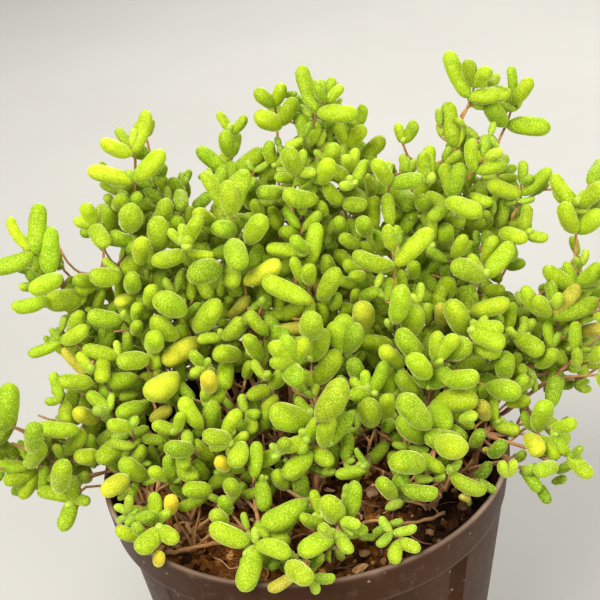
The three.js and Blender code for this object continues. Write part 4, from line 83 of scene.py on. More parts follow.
     [[432,-79,1530,373,-147,1652,178,0],[428,-77,1375,457,-96,1399,57,0],[428,-77,1375,413,-111,1311,73,0],[428,-77,1375,451,-116,1336,73,0],[289,-77,1373,289,-121,1501,147,0],[289,-77,1373,280,-167,1403,122,0],[229,-160,1421,217,-234,1556,191,0],[402,-280,1461,317,-305,1610,221,0],[406,-194,1356,315,-245,1489,205,0],[332,-116,1272,299,-124,1351,98,6],[198,-161,1265,279,-132,1323,113,6],[198,-161,1265,167,-136,1313,57,6],[370,-356,1371,266,-441,1462,209,0],[472,-126,1545,575,-215,1590,186,0],[453,-85,1436,576,-176,1477,218,0],[453,-85,1436,459,-228,1411,194,0],[514,-195,1420,563,-241,1463,103,0],[423,-325,1443,486,-446,1486,211,0],[203,-283,1339,88,-288,1327,110,0],[203,-283,1339,162,-251,1398,55,0],[262,-415,1305,219,-465,1417,138,0],[289,-424,1347,393,-488,1359,139,0],[356,-218,1238,416,-175,1261,84,2],[356,-218,1238,372,-264,1299,84,2],[322,-216,1196,283,-160,1304,146,2],[360,-219,1242,407,-232,1253,59,2],[360,-219,1242,382,-217,1286,59,2],[385,-130,1412,375,-55,1455,99,1],[481,-169,1388,537,-185,1333,92,1],[238,-122,1378,208,-51,1448,119,1],[332,-116,1272,370,-95,1209,87,1],[339,-208,1344,406,-216,1330,82,2],[339,-208,1344,286,-198,1361,71,1],[181,-148,1399,189,-121,1445,66,2],[181,-148,1399,131,-138,1398,62,1],[290,-79,1378,317,-94,1408,59,8],[290,-79,1378,280,-93,1418,69,8],[199,-284,1342,160,-279,1356,59,8],[199,-284,1342,175,-306,1363,59,8],[334,-111,1273,334,-71,1279,58,8],[334,-111,1273,355,-86,1287,58,8]]),
    ([[73,30,[135,221,1100,178,289,1259,181,299,1266,184,317,1267,190,368,1262,193,381,1268,195,374,1286,196,335,1340,197,320,1379,205,350,1476,210,364,1511,214,378,1531,219,413,1540,234,578,1508,236,591,1516,236,566,1544,234,468,1624,234,439,1654,235,428,1673,237,431,1686,240,445,1693,243,475,1691,259,638,1650,261,648,1660,259,517,1764,260,500,1785,262,511,1792,266,542,1790,285,728,1754,287,733,1764,286,703,1790,282,566,1887,282,564,1900,287,622,1908,287,618,1921,283,555,1981,284,568,1997,284,556,2013,281,518,2039]],[40,30,[286,608,1903,286,637,1900,285,656,1907,264,365,2053]],[37,30,[286,637,1900,243,571,1967,215,540,1998,204,523,2009,166,449,2033]],[37,30,[286,703,1790,332,583,1879,348,569,1893,368,573,1897,379,565,1903,390,544,1914,397,515,1932,398,487,1955,398,468,1977,397,452,2009,393,411,2047]],[37,30,[281,691,1758,292,715,1757,303,730,1761,314,728,1772,323,710,1790,337,644,1843,343,530,1945]],[37,30,[259,517,1764,268,552,1785,276,628,1772,281,650,1772,287,650,1789,294,626,1820,300,589,1857]],[42,30,[259,517,1764,288,513,1780,343,469,1828]],[37,30,[288,513,1780,293,513,1782,295,502,1788,302,375,1854]],[37,30,[261,648,1660,229,501,1808]],[37,30,[315,488,1806,332,582,1750,343,596,1733,355,485,1766,368,407,1783]],[37,30,[248,527,1678,259,474,1731,263,476,1736,267,488,1736,271,491,1741,272,392,1803]],[37,30,[236,591,1516,241,604,1515,254,485,1599,262,445,1631,267,440,1639,278,461,1639,280,329,1718]],[26,30,[368,407,1783,406,353,1803]],[26,30,[300,589,1857,318,587,1878,340,627,1878,347,629,1883,354,567,1920]],[37,30,[261,648,1660,281,477,1773]],[32,28,[282,564,1900,270,580,1909]],[32,28,[355,485,1766,331,422,1773]],[32,28,[235,428,1673,253,457,1680]]],
     [[281,518,2039,298,518,2120,102,0],[281,518,2039,252,480,2111,111,0],[264,365,2053,324,400,2120,108,0],[264,365,2053,222,303,2077,99,0],[166,449,2033,194,377,2145,169,0],[166,449,2033,124,438,2084,84,0],[393,411,2047,400,406,2104,75,0],[394,404,2020,503,330,2060,159,0],[394,404,2020,349,341,2137,167,0],[343,469,1828,345,473,1951,138,0],[229,501,1808,213,435,1899,139,0],[272,392,1803,209,340,1874,128,0],[302,375,1854,286,288,1953,161,0],[368,407,1783,336,361,1864,120,0],[368,407,1783,413,382,1867,120,0],[280,329,1718,227,265,1754,111,0],[343,530,1945,390,581,1970,88,2],[343,530,1945,324,511,2023,88,2],[329,512,1902,248,618,1942,142,2],[345,532,1950,370,527,1989,56,2],[345,532,1950,344,560,1988,56,2],[300,589,1857,368,597,1883,82,2],[300,589,1857,285,628,1918,82,2],[303,592,1861,321,598,1907,60,2],[303,592,1861,332,630,1877,60,2],[280,511,1987,172,534,2065,154,1],[230,411,1646,142,442,1672,111,1],[268,408,2022,324,427,2093,105,1],[249,370,1661,186,318,1721,116,1],[406,353,1803,417,380,1854,70,2],[406,353,1803,392,349,1760,56,1],[354,567,1920,437,615,1922,125,2],[354,567,1920,333,515,1980,111,1],[281,477,1773,252,551,1837,125,2],[281,477,1773,364,480,1731,118,1],[270,580,1909,331,646,1954,135,2],[270,580,1909,189,592,1888,122,1],[331,422,1773,320,496,1834,135,2],[331,422,1773,371,480,1730,122,1],[253,457,1680,191,465,1760,135,2],[253,457,1680,292,452,1603,122,1],[264,362,2057,278,332,2073,56,8],[264,362,2057,254,344,2092,66,8]]),
    ([[83,30,[-281,256,1100,-325,325,1299,-354,364,1398,-389,398,1502,-398,420,1518,-409,460,1525,-413,472,1533,-416,472,1547,-421,443,1605,-424,442,1620,-430,452,1642,-438,479,1656,-444,507,1656,-468,644,1629,-474,673,1629,-477,673,1643,-477,647,1669,-475,537,1764,-477,523,1783,-480,520,1798,-483,525,1808,-488,536,1816,-494,559,1818,-521,700,1790,-528,731,1789,-532,730,1801,-528,610,1891,-528,586,1913,-531,577,1928,-538,580,1949,-589,627,2066]],[37,30,[-531,577,1928,-515,544,1971,-505,556,2001,-501,556,2013,-484,531,2085,-471,537,2163,-472,535,2181,-477,517,2215]],[37,30,[-531,577,1928,-539,586,1932,-559,634,1926,-566,638,1932,-570,563,1979]],[37,30,[-529,651,1861,-508,553,1987]],[37,30,[-529,651,1861,-541,660,1858,-569,715,1835,-582,730,1829,-592,723,1834,-631,631,1894,-641,614,1911,-660,599,1939]],[46,30,[-502,597,1812,-503,598,1818,-506,613,1816,-528,744,1777,-531,762,1775,-536,776,1779,-536,739,1804,-531,673,1837,-512,410,1956]],[37,30,[-502,597,1812,-610,613,1849]],[37,30,[-528,744,1777,-525,784,1763,-518,792,1763,-498,743,1792,-429,455,1940]],[42,30,[-528,744,1777,-538,798,1748,-539,764,1758,-505,446,1899]],[40,30,[-539,787,1751,-421,378,1882]],[37,30,[-460,514,1838,-471,428,1850,-475,422,1845,-481,430,1834,-486,430,1827,-482,304,1872]],[40,30,[-475,537,1764,-557,511,1805,-559,492,1840,-557,450,1841]],[37,30,[-475,537,1764,-499,594,1789]],[37,30,[-557,450,1841,-577,407,1835,-585,413,1818,-582,410,1810,-563,334,1829]],[37,30,[-475,537,1764,-498,480,1819]],[42,30,[-468,644,1629,-490,760,1574,-501,781,1567,-511,618,1658,-518,598,1672,-534,577,1693,-560,528,1738,-591,485,1790,-610,461,1828,-630,441,1914,-640,411,1987]],[40,30,[-543,562,1706,-529,329,1760]],[37,30,[-538,485,1724,-561,605,1628,-563,596,1620,-536,356,1719]],[37,30,[-430,452,1642,-499,552,1667]],[28,30,[-565,606,2013,-559,556,2045]],[32,28,[-622,654,1877,-588,666,1919]],[32,28,[-611,679,1860,-651,668,1875,-690,657,1882]],[32,28,[-438,479,1656,-400,487,1719]],[32,28,[-416,472,1547,-411,521,1580]]],
     [[-477,517,2215,-517,552,2281,92,0],[-477,517,2215,-454,539,2278,84,0],[-473,511,2195,-567,461,2274,159,0],[-473,511,2195,-407,579,2324,142,0],[-482,484,2106,-639,512,2155,177,0],[-482,484,2106,-362,476,2207,168,0],[-482,484,2106,-498,477,2152,67,0],[-640,411,1987,-693,370,2035,109,0],[-640,411,1987,-612,415,2050,84,0],[-640,411,1987,-646,371,2089,134,0],[-640,411,1987,-588,275,1969,159,0],[-610,613,1849,-595,572,1986,167,0],[-570,563,1979,-598,543,2042,96,0],[-570,563,1979,-532,485,2055,140,0],[-508,553,1987,-477,499,2050,112,0],[-512,410,1956,-491,326,2082,203,0],[-505,446,1899,-579,376,1961,145,0],[-505,446,1899,-513,351,1907,119,0],[-557,450,1841,-555,460,1860,26,0],[-482,304,1872,-461,246,1992,158,0],[-498,480,1819,-553,342,1831,189,0],[-563,334,1829,-651,239,1884,178,0],[-563,334,1829,-619,364,1883,76,0],[-529,329,1760,-515,253,1864,152,0],[-536,356,1719,-586,265,1750,137,3],[-536,356,1719,-489,307,1735,85,0],[-429,455,1940,-372,400,2057,162,0],[-421,378,1882,-411,323,2029,202,0],[-499,594,1789,-573,614,1813,88,2],[-502,597,1793,-503,625,1835,60,2],[-502,597,1793,-542,616,1816,60,2],[-499,552,1667,-573,552,1683,88,2],[-499,552,1667,-459,587,1716,88,2],[-502,555,1671,-503,581,1716,61,2],[-502,555,1671,-542,562,1702,61,2],[-660,599,1939,-701,645,1931,78,2],[-660,599,1939,-689,596,1994,78,2],[-625,577,1916,-709,529,1907,122,2],[-665,603,1942,-678,634,1965,50,2],[-665,603,1942,-704,614,1949,50,2],[-589,627,2066,-610,682,2114,73,2],[-589,627,2066,-640,596,2120,73,2],[-592,629,2070,-626,623,2102,56,2],[-592,629,2070,-605,659,2104,56,2],[-566,607,2016,-517,698,2027,119,1],[-439,463,1677,-484,424,1710,77,1],[-416,427,1595,-470,502,1572,109,1],[-394,401,1519,-468,370,1527,93,1],[-506,508,1996,-475,439,1957,98,1],[-551,574,1846,-594,511,1907,111,1],[-471,434,1892,-462,401,1799,113,1],[-464,501,1656,-530,527,1563,134,1],[-559,556,2045,-612,574,2078,84,2],[-559,556,2045,-519,563,2015,70,1],[-588,666,1919,-489,692,1976,135,2],[-690,657,1882,-602,631,1934,135,2],[-690,657,1882,-659,725,1833,122,1],[-400,487,1719,-486,535,1759,135,2],[-400,487,1719,-330,474,1664,122,1],[-411,521,1580,-329,503,1639,135,2],[-411,521,1580,-464,583,1554,122,1],[-507,441,1901,-504,404,1931,64,8],[-507,441,1901,-524,407,1905,56,8]]),
    ([[69,30,[-459,-38,1100,-550,-10,1295,-561,-3,1313,-568,10,1316,-600,117,1282,-608,135,1284,-611,121,1304,-610,52,1370,-614,44,1388,-643,127,1369,-646,116,1388,-639,14,1475]],[37,30,[-611,121,1304,-630,115,1324,-642,123,1328,-689,213,1296,-698,207,1309,-695,72,1411]],[40,30,[-561,-3,1313,-707,-16,1341]],[37,30,[-634,-9,1327,-679,-75,1361]],[37,30,[-588,78,1295,-606,-48,1406]],[40,30,[-545,-12,1284,-584,-76,1324]],[37,30,[-564,-44,1304,-623,-60,1293]],[37,30,[-515,-20,1220,-605,-71,1249,-637,-87,1264,-687,-112,1267,-742,-130,1282,-763,-151,1280,-770,-196,1281]],[37,30,[-501,-25,1188,-508,79,1215,-512,85,1220,-545,77,1260]],[37,30,[-515,-20,1220,-502,-25,1263]],[26,30,[-606,-48,1406,-589,-62,1423,-574,-85,1440]],[28,30,[-597,15,1351,-569,-91,1395]],[26,30,[-584,-76,1324,-563,-81,1334,-556,-90,1341]]],
     [[-639,14,1475,-706,36,1550,115,0],[-639,14,1475,-625,44,1530,74,0],[-639,14,1475,-681,-34,1524,106,5],[-695,72,1411,-753,5,1500,150,3],[-707,-16,1341,-718,-42,1426,107,0],[-679,-75,1361,-753,-150,1420,146,0],[-606,-48,1406,-677,-162,1398,171,0],[-584,-76,1324,-533,-133,1414,130,0],[-770,-196,1281,-762,-219,1387,119,0],[-770,-196,1281,-895,-174,1320,119,0],[-777,-188,1285,-816,-292,1234,143,0],[-777,-188,1285,-721,-252,1309,104,0],[-623,-60,1293,-649,-111,1366,115,0],[-545,77,1260,-582,30,1280,73,2],[-509,88,1217,-487,30,1308,115,2],[-509,88,1217,-609,135,1220,115,2],[-548,75,1264,-586,80,1289,54,2],[-502,-25,1263,-532,-85,1295,72,2],[-502,-25,1263,-528,20,1320,72,2],[-506,-25,1268,-525,-9,1305,53,2],[-506,-25,1268,-535,-46,1295,53,2],[-633,30,1393,-711,101,1301,160,1],[-707,-16,1341,-730,-15,1277,81,1],[-574,-85,1440,-513,-37,1428,99,2],[-574,-85,1440,-632,-110,1449,93,1],[-569,-91,1395,-625,-104,1368,71,0],[-569,-91,1395,-531,-58,1413,61,1],[-556,-90,1341,-515,-127,1339,67,2],[-556,-90,1341,-523,-83,1375,54,1],[-774,-199,1281,-797,-239,1293,70,8]]),
    ([[78,30,[-115,193,1100,-147,256,1287,-152,269,1346,-175,305,1410,-208,361,1538,-215,387,1553,-227,439,1569,-238,469,1597,-242,485,1603,-246,513,1603,-258,601,1587,-263,632,1586,-266,629,1602,-267,486,1717,-268,457,1746,-270,446,1764,-276,450,1789,-290,482,1836,-299,488,1881,-305,499,1899,-312,541,1903,-327,646,1889,-331,666,1891,-333,662,1904,-334,545,1997,-339,522,2038]],[50,30,[-287,476,1827,-274,588,1806,-268,599,1812,-242,508,1885,-227,477,1920]],[37,30,[-287,476,1827,-305,478,1847,-340,465,1893]],[49,30,[-250,540,1860,-244,600,1834,-234,610,1831,-199,505,1886,-160,462,1914,-145,443,1921,-134,435,1919,-128,438,1913,-136,456,1920,-141,449,1932,-158,322,2005]],[46,30,[-189,491,1895,-169,447,1896,-159,408,1904]],[37,30,[-160,462,1914,-148,449,1911,-144,453,1903,-153,500,1857,-158,477,1859,-165,312,1920]],[37,30,[-159,408,1904,-147,502,1844,-139,493,1840,-113,341,1888]],[42,30,[-174,460,1895,-182,535,1834,-184,535,1821,-182,379,1863]],[40,30,[-267,536,1678,-301,454,1737,-311,440,1748,-318,445,1749,-339,491,1733,-344,488,1736,-345,440,1781,-336,363,1858,-337,397,1852,-336,398,1859,-323,294,1926]],[37,30,[-296,466,1729,-316,374,1807]],[40,30,[-182,379,1863,-181,354,1856,-181,349,1850,-185,355,1840,-200,407,1798,-205,402,1795,-216,259,1845]],[37,30,[-181,349,1850,-172,332,1802]],[40,30,[-234,459,1587,-223,463,1604,-217,458,1615,-200,429,1658,-166,393,1731]],[37,30,[-217,458,1615,-159,488,1685]],[37,30,[-202,349,1515,-169,413,1526,-143,431,1544,-126,443,1570,-115,449,1614,-118,449,1631,-124,457,1644,-135,465,1642,-157,450,1625,-184,395,1614,-209,310,1620]],[26,30,[-166,393,1731,-207,347,1778]],[26,30,[-159,408,1904,-149,425,1909,-128,411,1935]],[26,30,[-182,379,1863,-176,388,1868,-174,401,1867,-167,456,1853,-164,453,1858,-156,409,1886]],[28,30,[-333,634,1927,-366,522,1997]],[34,30,[-160,462,1914,-147,442,1956]],[27,30,[-115,449,1614,-121,385,1647]],[32,28,[-178,499,1863,-180,503,1887]],[32,28,[-205,402,1795,-257,388,1803]],[32,28,[-215,387,1553,-205,368,1606]]],
     [[-339,522,2038,-330,414,2012,128,0],[-323,294,1926,-308,242,1979,100,0],[-323,294,1926,-328,298,2008,100,0],[-323,294,1926,-377,325,1982,91,0],[-323,294,1926,-259,262,2041,149,0],[-329,289,1902,-431,192,1929,174,0],[-329,289,1902,-229,278,1883,91,0],[-340,465,1893,-358,409,1987,137,0],[-227,477,1920,-278,396,2005,154,0],[-158,322,2005,-89,394,2140,165,0],[-158,322,2005,-235,400,2148,148,0],[-158,322,2005,-158,294,2146,173,0],[-159,408,1904,-217,306,1975,169,0],[-113,341,1888,-50,275,2009,184,0],[-165,312,1920,-145,156,1888,199,0],[-182,379,1863,-241,312,1864,110,0],[-172,332,1802,-184,198,1807,160,0],[-166,393,1731,-180,258,1748,163,0],[-216,259,1845,-309,137,1889,223,0],[-209,310,1620,-135,280,1714,137,4],[-316,374,1807,-376,401,1863,81,2],[-316,374,1807,-266,342,1875,81,2],[-316,374,1813,-295,374,1860,62,2],[-316,374,1813,-340,385,1857,62,2],[-159,488,1685,-209,510,1731,90,2],[-159,488,1685,-110,524,1724,90,2],[-159,491,1689,-140,517,1726,58,2],[-159,491,1689,-183,515,1724,58,2],[-302,488,1893,-267,579,1917,115,1],[-211,364,1554,-244,298,1610,105,1],[-191,332,1474,-292,348,1508,123,1],[-261,471,1870,-304,404,1929,113,1],[-300,371,1780,-266,281,1721,130,1],[-204,391,1667,-202,306,1696,104,1],[-207,347,1778,-236,311,1710,92,0],[-207,347,1778,-189,384,1832,85,1],[-128,411,1935,-177,391,1971,82,0],[-128,411,1935,-107,437,1889,76,1],[-156,409,1886,-131,409,1942,70,2],[-156,409,1886,-142,456,1868,58,1],[-366,522,1997,-381,548,2046,71,2],[-366,522,1997,-401,523,1972,57,1],[-147,442,1956,-95,409,1942,70,0],[-147,442,1956,-199,470,1954,60,1],[-121,385,1647,-103,307,1593,125,2],[-121,385,1647,-147,391,1715,107,1],[-180,503,1887,-79,539,1896,135,2],[-180,503,1887,-272,507,1888,122,1],[-257,388,1803,-289,481,1868,135,2],[-257,388,1803,-240,323,1729,122,1],[-205,368,1606,-98,410,1605,135,2],[-205,368,1606,-303,364,1613,122,1],[-158,322,2010,-161,350,2065,89,8],[-158,322,2010,-161,297,2075,111,8],[-323,290,1929,-337,264,1974,84,8],[-323,290,1929,-313,232,1953,100,8]]),
    ([[73,30,[447,327,1100,495,388,1263,508,402,1282,531,424,1329,535,433,1336,541,452,1336,570,595,1289,578,620,1287,579,605,1309,575,517,1384,575,491,1412,578,484,1429,583,492,1436,589,514,1437,606,577,1427,612,595,1430,615,591,1444,620,569,1481,625,579,1488,638,618,1491,643,622,1501,650,577,1561,656,574,1577,667,586,1592,718,669,1648]],[37,30,[617,577,1465,577,620,1510,558,646,1533,555,656,1542,580,745,1637]],[37,30,[606,577,1427,614,596,1429,619,595,1443,629,507,1544]],[42,30,[583,492,1436,720,491,1456,744,495,1464,768,512,1483,803,552,1528,829,566,1563]],[37,30,[720,491,1456,741,475,1448,765,461,1454]],[37,30,[686,490,1452,732,562,1368,737,569,1365,744,579,1370,759,600,1387]],[37,30,[575,517,1384,597,609,1433,638,697,1515]],[40,30,[519,412,1304,529,496,1289,551,641,1284,553,652,1286,561,700,1318]],[37,30,[531,424,1329,667,365,1345]],[37,30,[533,526,1287,517,546,1266,492,579,1266,493,603,1266,505,635,1266]],[40,30,[495,388,1263,559,395,1266,649,414,1266,679,434,1266,754,499,1266]],[37,30,[592,401,1266,598,467,1266,633,597,1266]],[28,30,[567,633,1522,556,616,1556,535,542,1620]],[26,30,[765,461,1454,792,429,1474,826,388,1491]]],
     [[580,745,1637,591,832,1631,83,2],[580,745,1637,596,744,1722,83,2],[568,703,1608,475,774,1659,163,2],[568,703,1608,687,734,1636,163,2],[550,631,1550,547,585,1706,162,2],[550,631,1550,576,774,1485,162,2],[581,750,1640,593,800,1650,63,2],[581,750,1640,594,771,1687,63,2],[638,697,1515,615,761,1509,81,2],[638,697,1515,690,704,1560,81,2],[620,653,1484,711,726,1440,133,2],[593,589,1440,708,548,1525,154,2],[640,702,1518,640,749,1529,58,2],[640,702,1518,671,725,1548,58,2],[759,600,1387,826,595,1397,78,2],[759,600,1387,732,654,1432,78,2],[736,567,1361,750,681,1331,140,2],[736,567,1361,753,557,1482,140,2],[762,604,1391,777,613,1434,55,2],[762,604,1391,784,642,1405,55,2],[633,597,1248,601,665,1258,95,2],[633,597,1248,694,624,1281,95,2],[620,545,1223,594,560,1356,143,2],[620,545,1223,669,649,1151,143,2],[596,460,1182,728,434,1223,156,2],[634,602,1250,620,651,1264,63,2],[634,602,1250,663,637,1277,63,2],[561,700,1318,531,787,1306,87,2],[561,700,1318,596,720,1391,87,2],[553,651,1284,628,750,1237,153,2],[562,705,1321,585,751,1325,61,2],[562,705,1321,563,736,1362,61,2],[718,669,1648,703,738,1683,74,2],[695,626,1619,748,708,1576,138,2],[695,626,1619,709,641,1728,138,2],[653,562,1580,605,685,1634,131,2],[653,562,1580,795,558,1572,131,2],[754,499,1193,774,564,1151,98,2],[754,499,1193,825,510,1212,98,2],[715,466,1201,723,561,1260,152,2],[715,466,1201,789,443,1118,152,2],[759,502,1192,784,538,1164,62,2],[759,502,1192,808,518,1199,62,2],[505,635,1202,468,700,1172,87,2],[505,635,1202,568,666,1237,87,2],[486,585,1200,451,636,1275,135,2],[486,585,1200,538,597,1115,135,2],[507,641,1203,532,678,1191,55,2],[829,566,1563,873,631,1547,77,2],[829,566,1563,835,562,1646,77,2],[796,535,1519,774,643,1563,135,2],[754,487,1462,720,442,1582,165,2],[754,487,1462,835,567,1422,165,2],[831,569,1567,863,603,1584,58,2],[831,569,1567,840,580,1614,58,2],[629,507,1544,695,469,1590,88,2],[634,509,1547,677,503,1569,59,2],[634,509,1547,664,544,1563,59,2],[667,365,1345,727,408,1338,88,2],[667,365,1345,671,365,1413,88,2],[670,367,1349,689,376,1396,61,2],[670,367,1349,708,400,1361,61,2],[765,461,1454,837,449,1445,77,2],[770,461,1457,796,473,1497,59,2],[770,461,1457,819,459,1462,59,2],[555,450,1386,636,402,1382,107,1],[483,373,1224,564,324,1275,122,1],[576,571,1527,464,579,1500,133,1],[708,520,1414,674,548,1322,116,1],[580,523,1427,690,564,1397,138,1],[544,592,1284,511,609,1205,100,1],[597,393,1336,606,293,1301,122,1],[515,548,1253,598,535,1141,160,1],[605,404,1257,733,333,1254,167,1],[535,542,1620,479,505,1552,125,2],[535,542,1620,584,598,1663,111,1],[826,388,1491,924,394,1449,125,2],[826,388,1491,788,343,1550,112,1]]),
    ([[79,30,[255,45,1100,317,145,1337,339,178,1412,346,193,1430,350,211,1432,356,245,1425,371,345,1392,376,373,1389,383,351,1442,390,370,1457,391,354,1479,390,287,1543,391,266,1567,393,259,1583,398,263,1605,410,279,1644]],[42,30,[393,259,1583,375,223,1656,371,255,1688,371,262,1706,373,258,1730,376,245,1760,375,216,1819,369,200,1868]],[37,30,[379,228,1640,338,226,1658]],[37,30,[373,228,1663,353,84,1670,346,36,1679]],[46,30,[387,363,1448,426,277,1538,434,269,1549,449,277,1561,451,271,1578,443,181,1660]],[44,30,[426,277,1538,469,171,1587]],[40,30,[469,171,1587,482,254,1526,484,266,1512,485,258,1509,483,233,1517,469,71,1576,467,30,1580,467,-21,1567,463,-63,1570]],[37,30,[448,224,1563,428,168,1566,417,126,1576]],[37,30,[470,95,1570,505,39,1543]],[37,30,[363,295,1408,377,421,1369,378,430,1375,377,413,1396,361,236,1568,356,207,1583,346,159,1590]],[44,30,[363,295,1408,358,274,1432,355,268,1447,345,195,1502]],[42,30,[345,195,1502,351,206,1487,355,200,1482,357,122,1504,359,65,1507,359,26,1515]],[40,30,[358,92,1506,384,160,1445,393,158,1436,413,65,1463,436,35,1460,434,28,1523,423,9,1552]],[37,30,[413,65,1463,410,46,1433,405,3,1419]],[37,30,[317,145,1337,366,135,1381]],[37,30,[308,131,1306,291,35,1398]],[26,30,[291,35,1398,287,-13,1430]],[28,30,[374,373,1434,395,192,1560]],[32,28,[391,266,1567,399,285,1580]],[32,28,[368,337,1395,411,272,1410]]],
     [[369,200,1868,357,183,1970,123,0],[374,191,1811,234,161,1889,181,0],[374,191,1811,513,241,1909,172,0],[410,279,1644,404,295,1739,110,0],[346,36,1679,375,5,1831,195,0],[338,226,1658,365,265,1732,76,0],[443,181,1660,462,216,1725,75,0],[443,181,1660,421,182,1702,58,0],[469,171,1587,475,162,1670,100,0],[417,126,1576,408,52,1719,215,0],[346,159,1590,327,145,1636,67,0],[291,35,1398,318,-22,1514,148,0],[405,3,1419,342,-58,1537,164,0],[345,195,1502,236,113,1568,170,0],[359,26,1515,294,-35,1630,164,0],[423,9,1552,351,-37,1688,187,0],[463,-63,1570,454,-49,1621,64,0],[463,-63,1570,479,-97,1596,64,0],[464,-58,1574,474,-72,1689,129,0],[464,-58,1574,529,-96,1679,145,0],[505,39,1543,564,-70,1630,212,0],[505,39,1543,540,-14,1631,131,0],[366,135,1381,409,99,1400,81,2],[366,135,1381,368,156,1434,81,2],[370,133,1386,383,133,1428,53,2],[370,133,1386,404,111,1403,53,2],[396,259,1597,509,229,1610,135,1],[351,195,1450,424,159,1450,94,1],[323,154,1359,313,126,1468,130,1],[299,116,1271,358,96,1295,77,1],[468,113,1585,454,75,1500,107,1],[298,75,1359,359,11,1364,102,1],[287,-13,1430,223,-30,1432,80,2],[287,-13,1430,340,-16,1444,74,1],[395,192,1560,485,168,1508,125,2],[395,192,1560,384,204,1641,101,1],[399,285,1580,463,282,1658,135,2],[399,285,1580,381,367,1562,122,1],[411,272,1410,334,281,1466,135,2],[411,272,1410,429,339,1367,122,1]]),
    ([[61,30,[-396,-346,1100,-507,-378,1254,-543,-389,1288,-571,-385,1332,-575,-392,1353]],[40,30,[-515,-381,1264,-503,-414,1285,-474,-471,1337]],[37,30,[-506,-406,1280,-530,-452,1299]],[37,30,[-490,-373,1230,-491,-396,1253,-491,-418,1265,-495,-509,1266]],[37,30,[-515,-381,1264,-500,-385,1285]],[37,30,[-490,-373,1230,-453,-330,1288]],[31,30,[-554,-390,1303,-581,-394,1344]]],
     [[-575,-392,1353,-613,-402,1390,69,0],[-575,-392,1353,-562,-397,1418,77,0],[-567,-391,1328,-573,-447,1349,85,0],[-567,-391,1328,-487,-436,1363,108,0],[-500,-385,1285,-566,-353,1342,100,0],[-500,-385,1285,-489,-352,1389,116,0],[-500,-385,1285,-443,-400,1345,92,0],[-453,-330,1288,-438,-382,1385,124,7],[-530,-452,1299,-606,-486,1364,121,0],[-530,-452,1299,-549,-484,1374,99,0],[-474,-471,1337,-533,-583,1346,173,0],[-474,-471,1337,-417,-563,1352,128,0],[-495,-509,1229,-482,-546,1304,99,7],[-453,-330,1288,-481,-290,1238,79,1],[-581,-394,1344,-617,-372,1309,63,0],[-581,-394,1344,-543,-403,1364,53,1],[-473,-475,1339,-470,-506,1372,75,8],[-473,-475,1339,-465,-523,1330,79,8]]),
    ([[76,30,[-559,-88,1100,-607,-63,1202,-632,-54,1263,-652,-48,1277,-668,-31,1280,-710,67,1280,-722,82,1280,-729,65,1280,-732,29,1284,-734,-8,1296,-739,-32,1312,-747,-43,1323,-766,-43,1330,-791,-21,1325,-846,55,1297,-864,92,1285,-882,132,1280,-897,160,1280,-906,164,1280,-910,145,1286,-909,111,1308,-907,70,1342,-903,-3,1406,-906,-21,1426,-910,-27,1439,-924,-27,1458,-951,-22,1475,-1064,-25,1530,-1092,-30,1553]],[40,30,[-910,145,1286,-910,-76,1493,-914,-81,1500,-957,-74,1522,-969,-88,1539,-985,-194,1630]],[37,30,[-911,62,1366,-926,-4,1390,-931,-16,1393,-938,-18,1389,-949,-3,1372,-993,97,1286,-998,92,1283,-990,-7,1323,-994,-32,1333,-999,-79,1361,-998,-161,1415,-990,-266,1485]],[44,30,[-831,30,1307,-837,30,1306,-847,48,1297,-864,87,1285,-887,131,1280,-910,158,1280,-924,148,1280,-929,99,1283,-929,26,1301,-926,-41,1335,-912,-112,1388]],[37,30,[-864,87,1285,-906,192,1281,-929,215,1280,-936,169,1280,-942,47,1282,-952,5,1292,-970,-22,1310,-1011,-60,1343,-1059,-113,1381]],[37,30,[-864,87,1285,-898,178,1281,-917,209,1280,-924,183,1280,-922,121,1280,-914,33,1292,-902,-66,1329]],[40,30,[-791,-21,1325,-815,-9,1311,-838,-8,1304,-853,8,1294,-872,41,1284,-894,82,1280,-912,109,1280,-923,105,1280,-927,72,1288,-927,24,1316,-928,-19,1355,-932,-46,1389,-940,-60,1413,-958,-73,1446,-965,-70,1450,-964,-66,1446,-948,-79,1446,-917,-125,1462,-876,-197,1490]],[37,30,[-924,148,1280,-928,117,1281,-932,115,1280,-934,119,1280,-896,3,1285,-878,-57,1301,-849,-137,1330,-805,-245,1356]],[37,30,[-872,41,1284,-888,-140,1290]],[37,30,[-756,-46,1328,-775,9,1304,-795,68,1286,-807,85,1283,-807,48,1299,-804,0,1330,-805,-35,1360]],[37,30,[-756,-46,1328,-775,13,1301,-796,75,1284,-807,94,1280,-808,59,1286,-806,15,1301,-807,-14,1320]],[40,30,[-652,-48,1277,-679,-40,1273,-727,-37,1266,-866,-44,1266]],[37,30,[-734,-8,1296,-743,-17,1335,-768,-20,1393,-771,-24,1413,-763,-35,1431,-734,-74,1474]],[37,30,[-679,-40,1274,-691,-48,1273,-783,-78,1271]]],
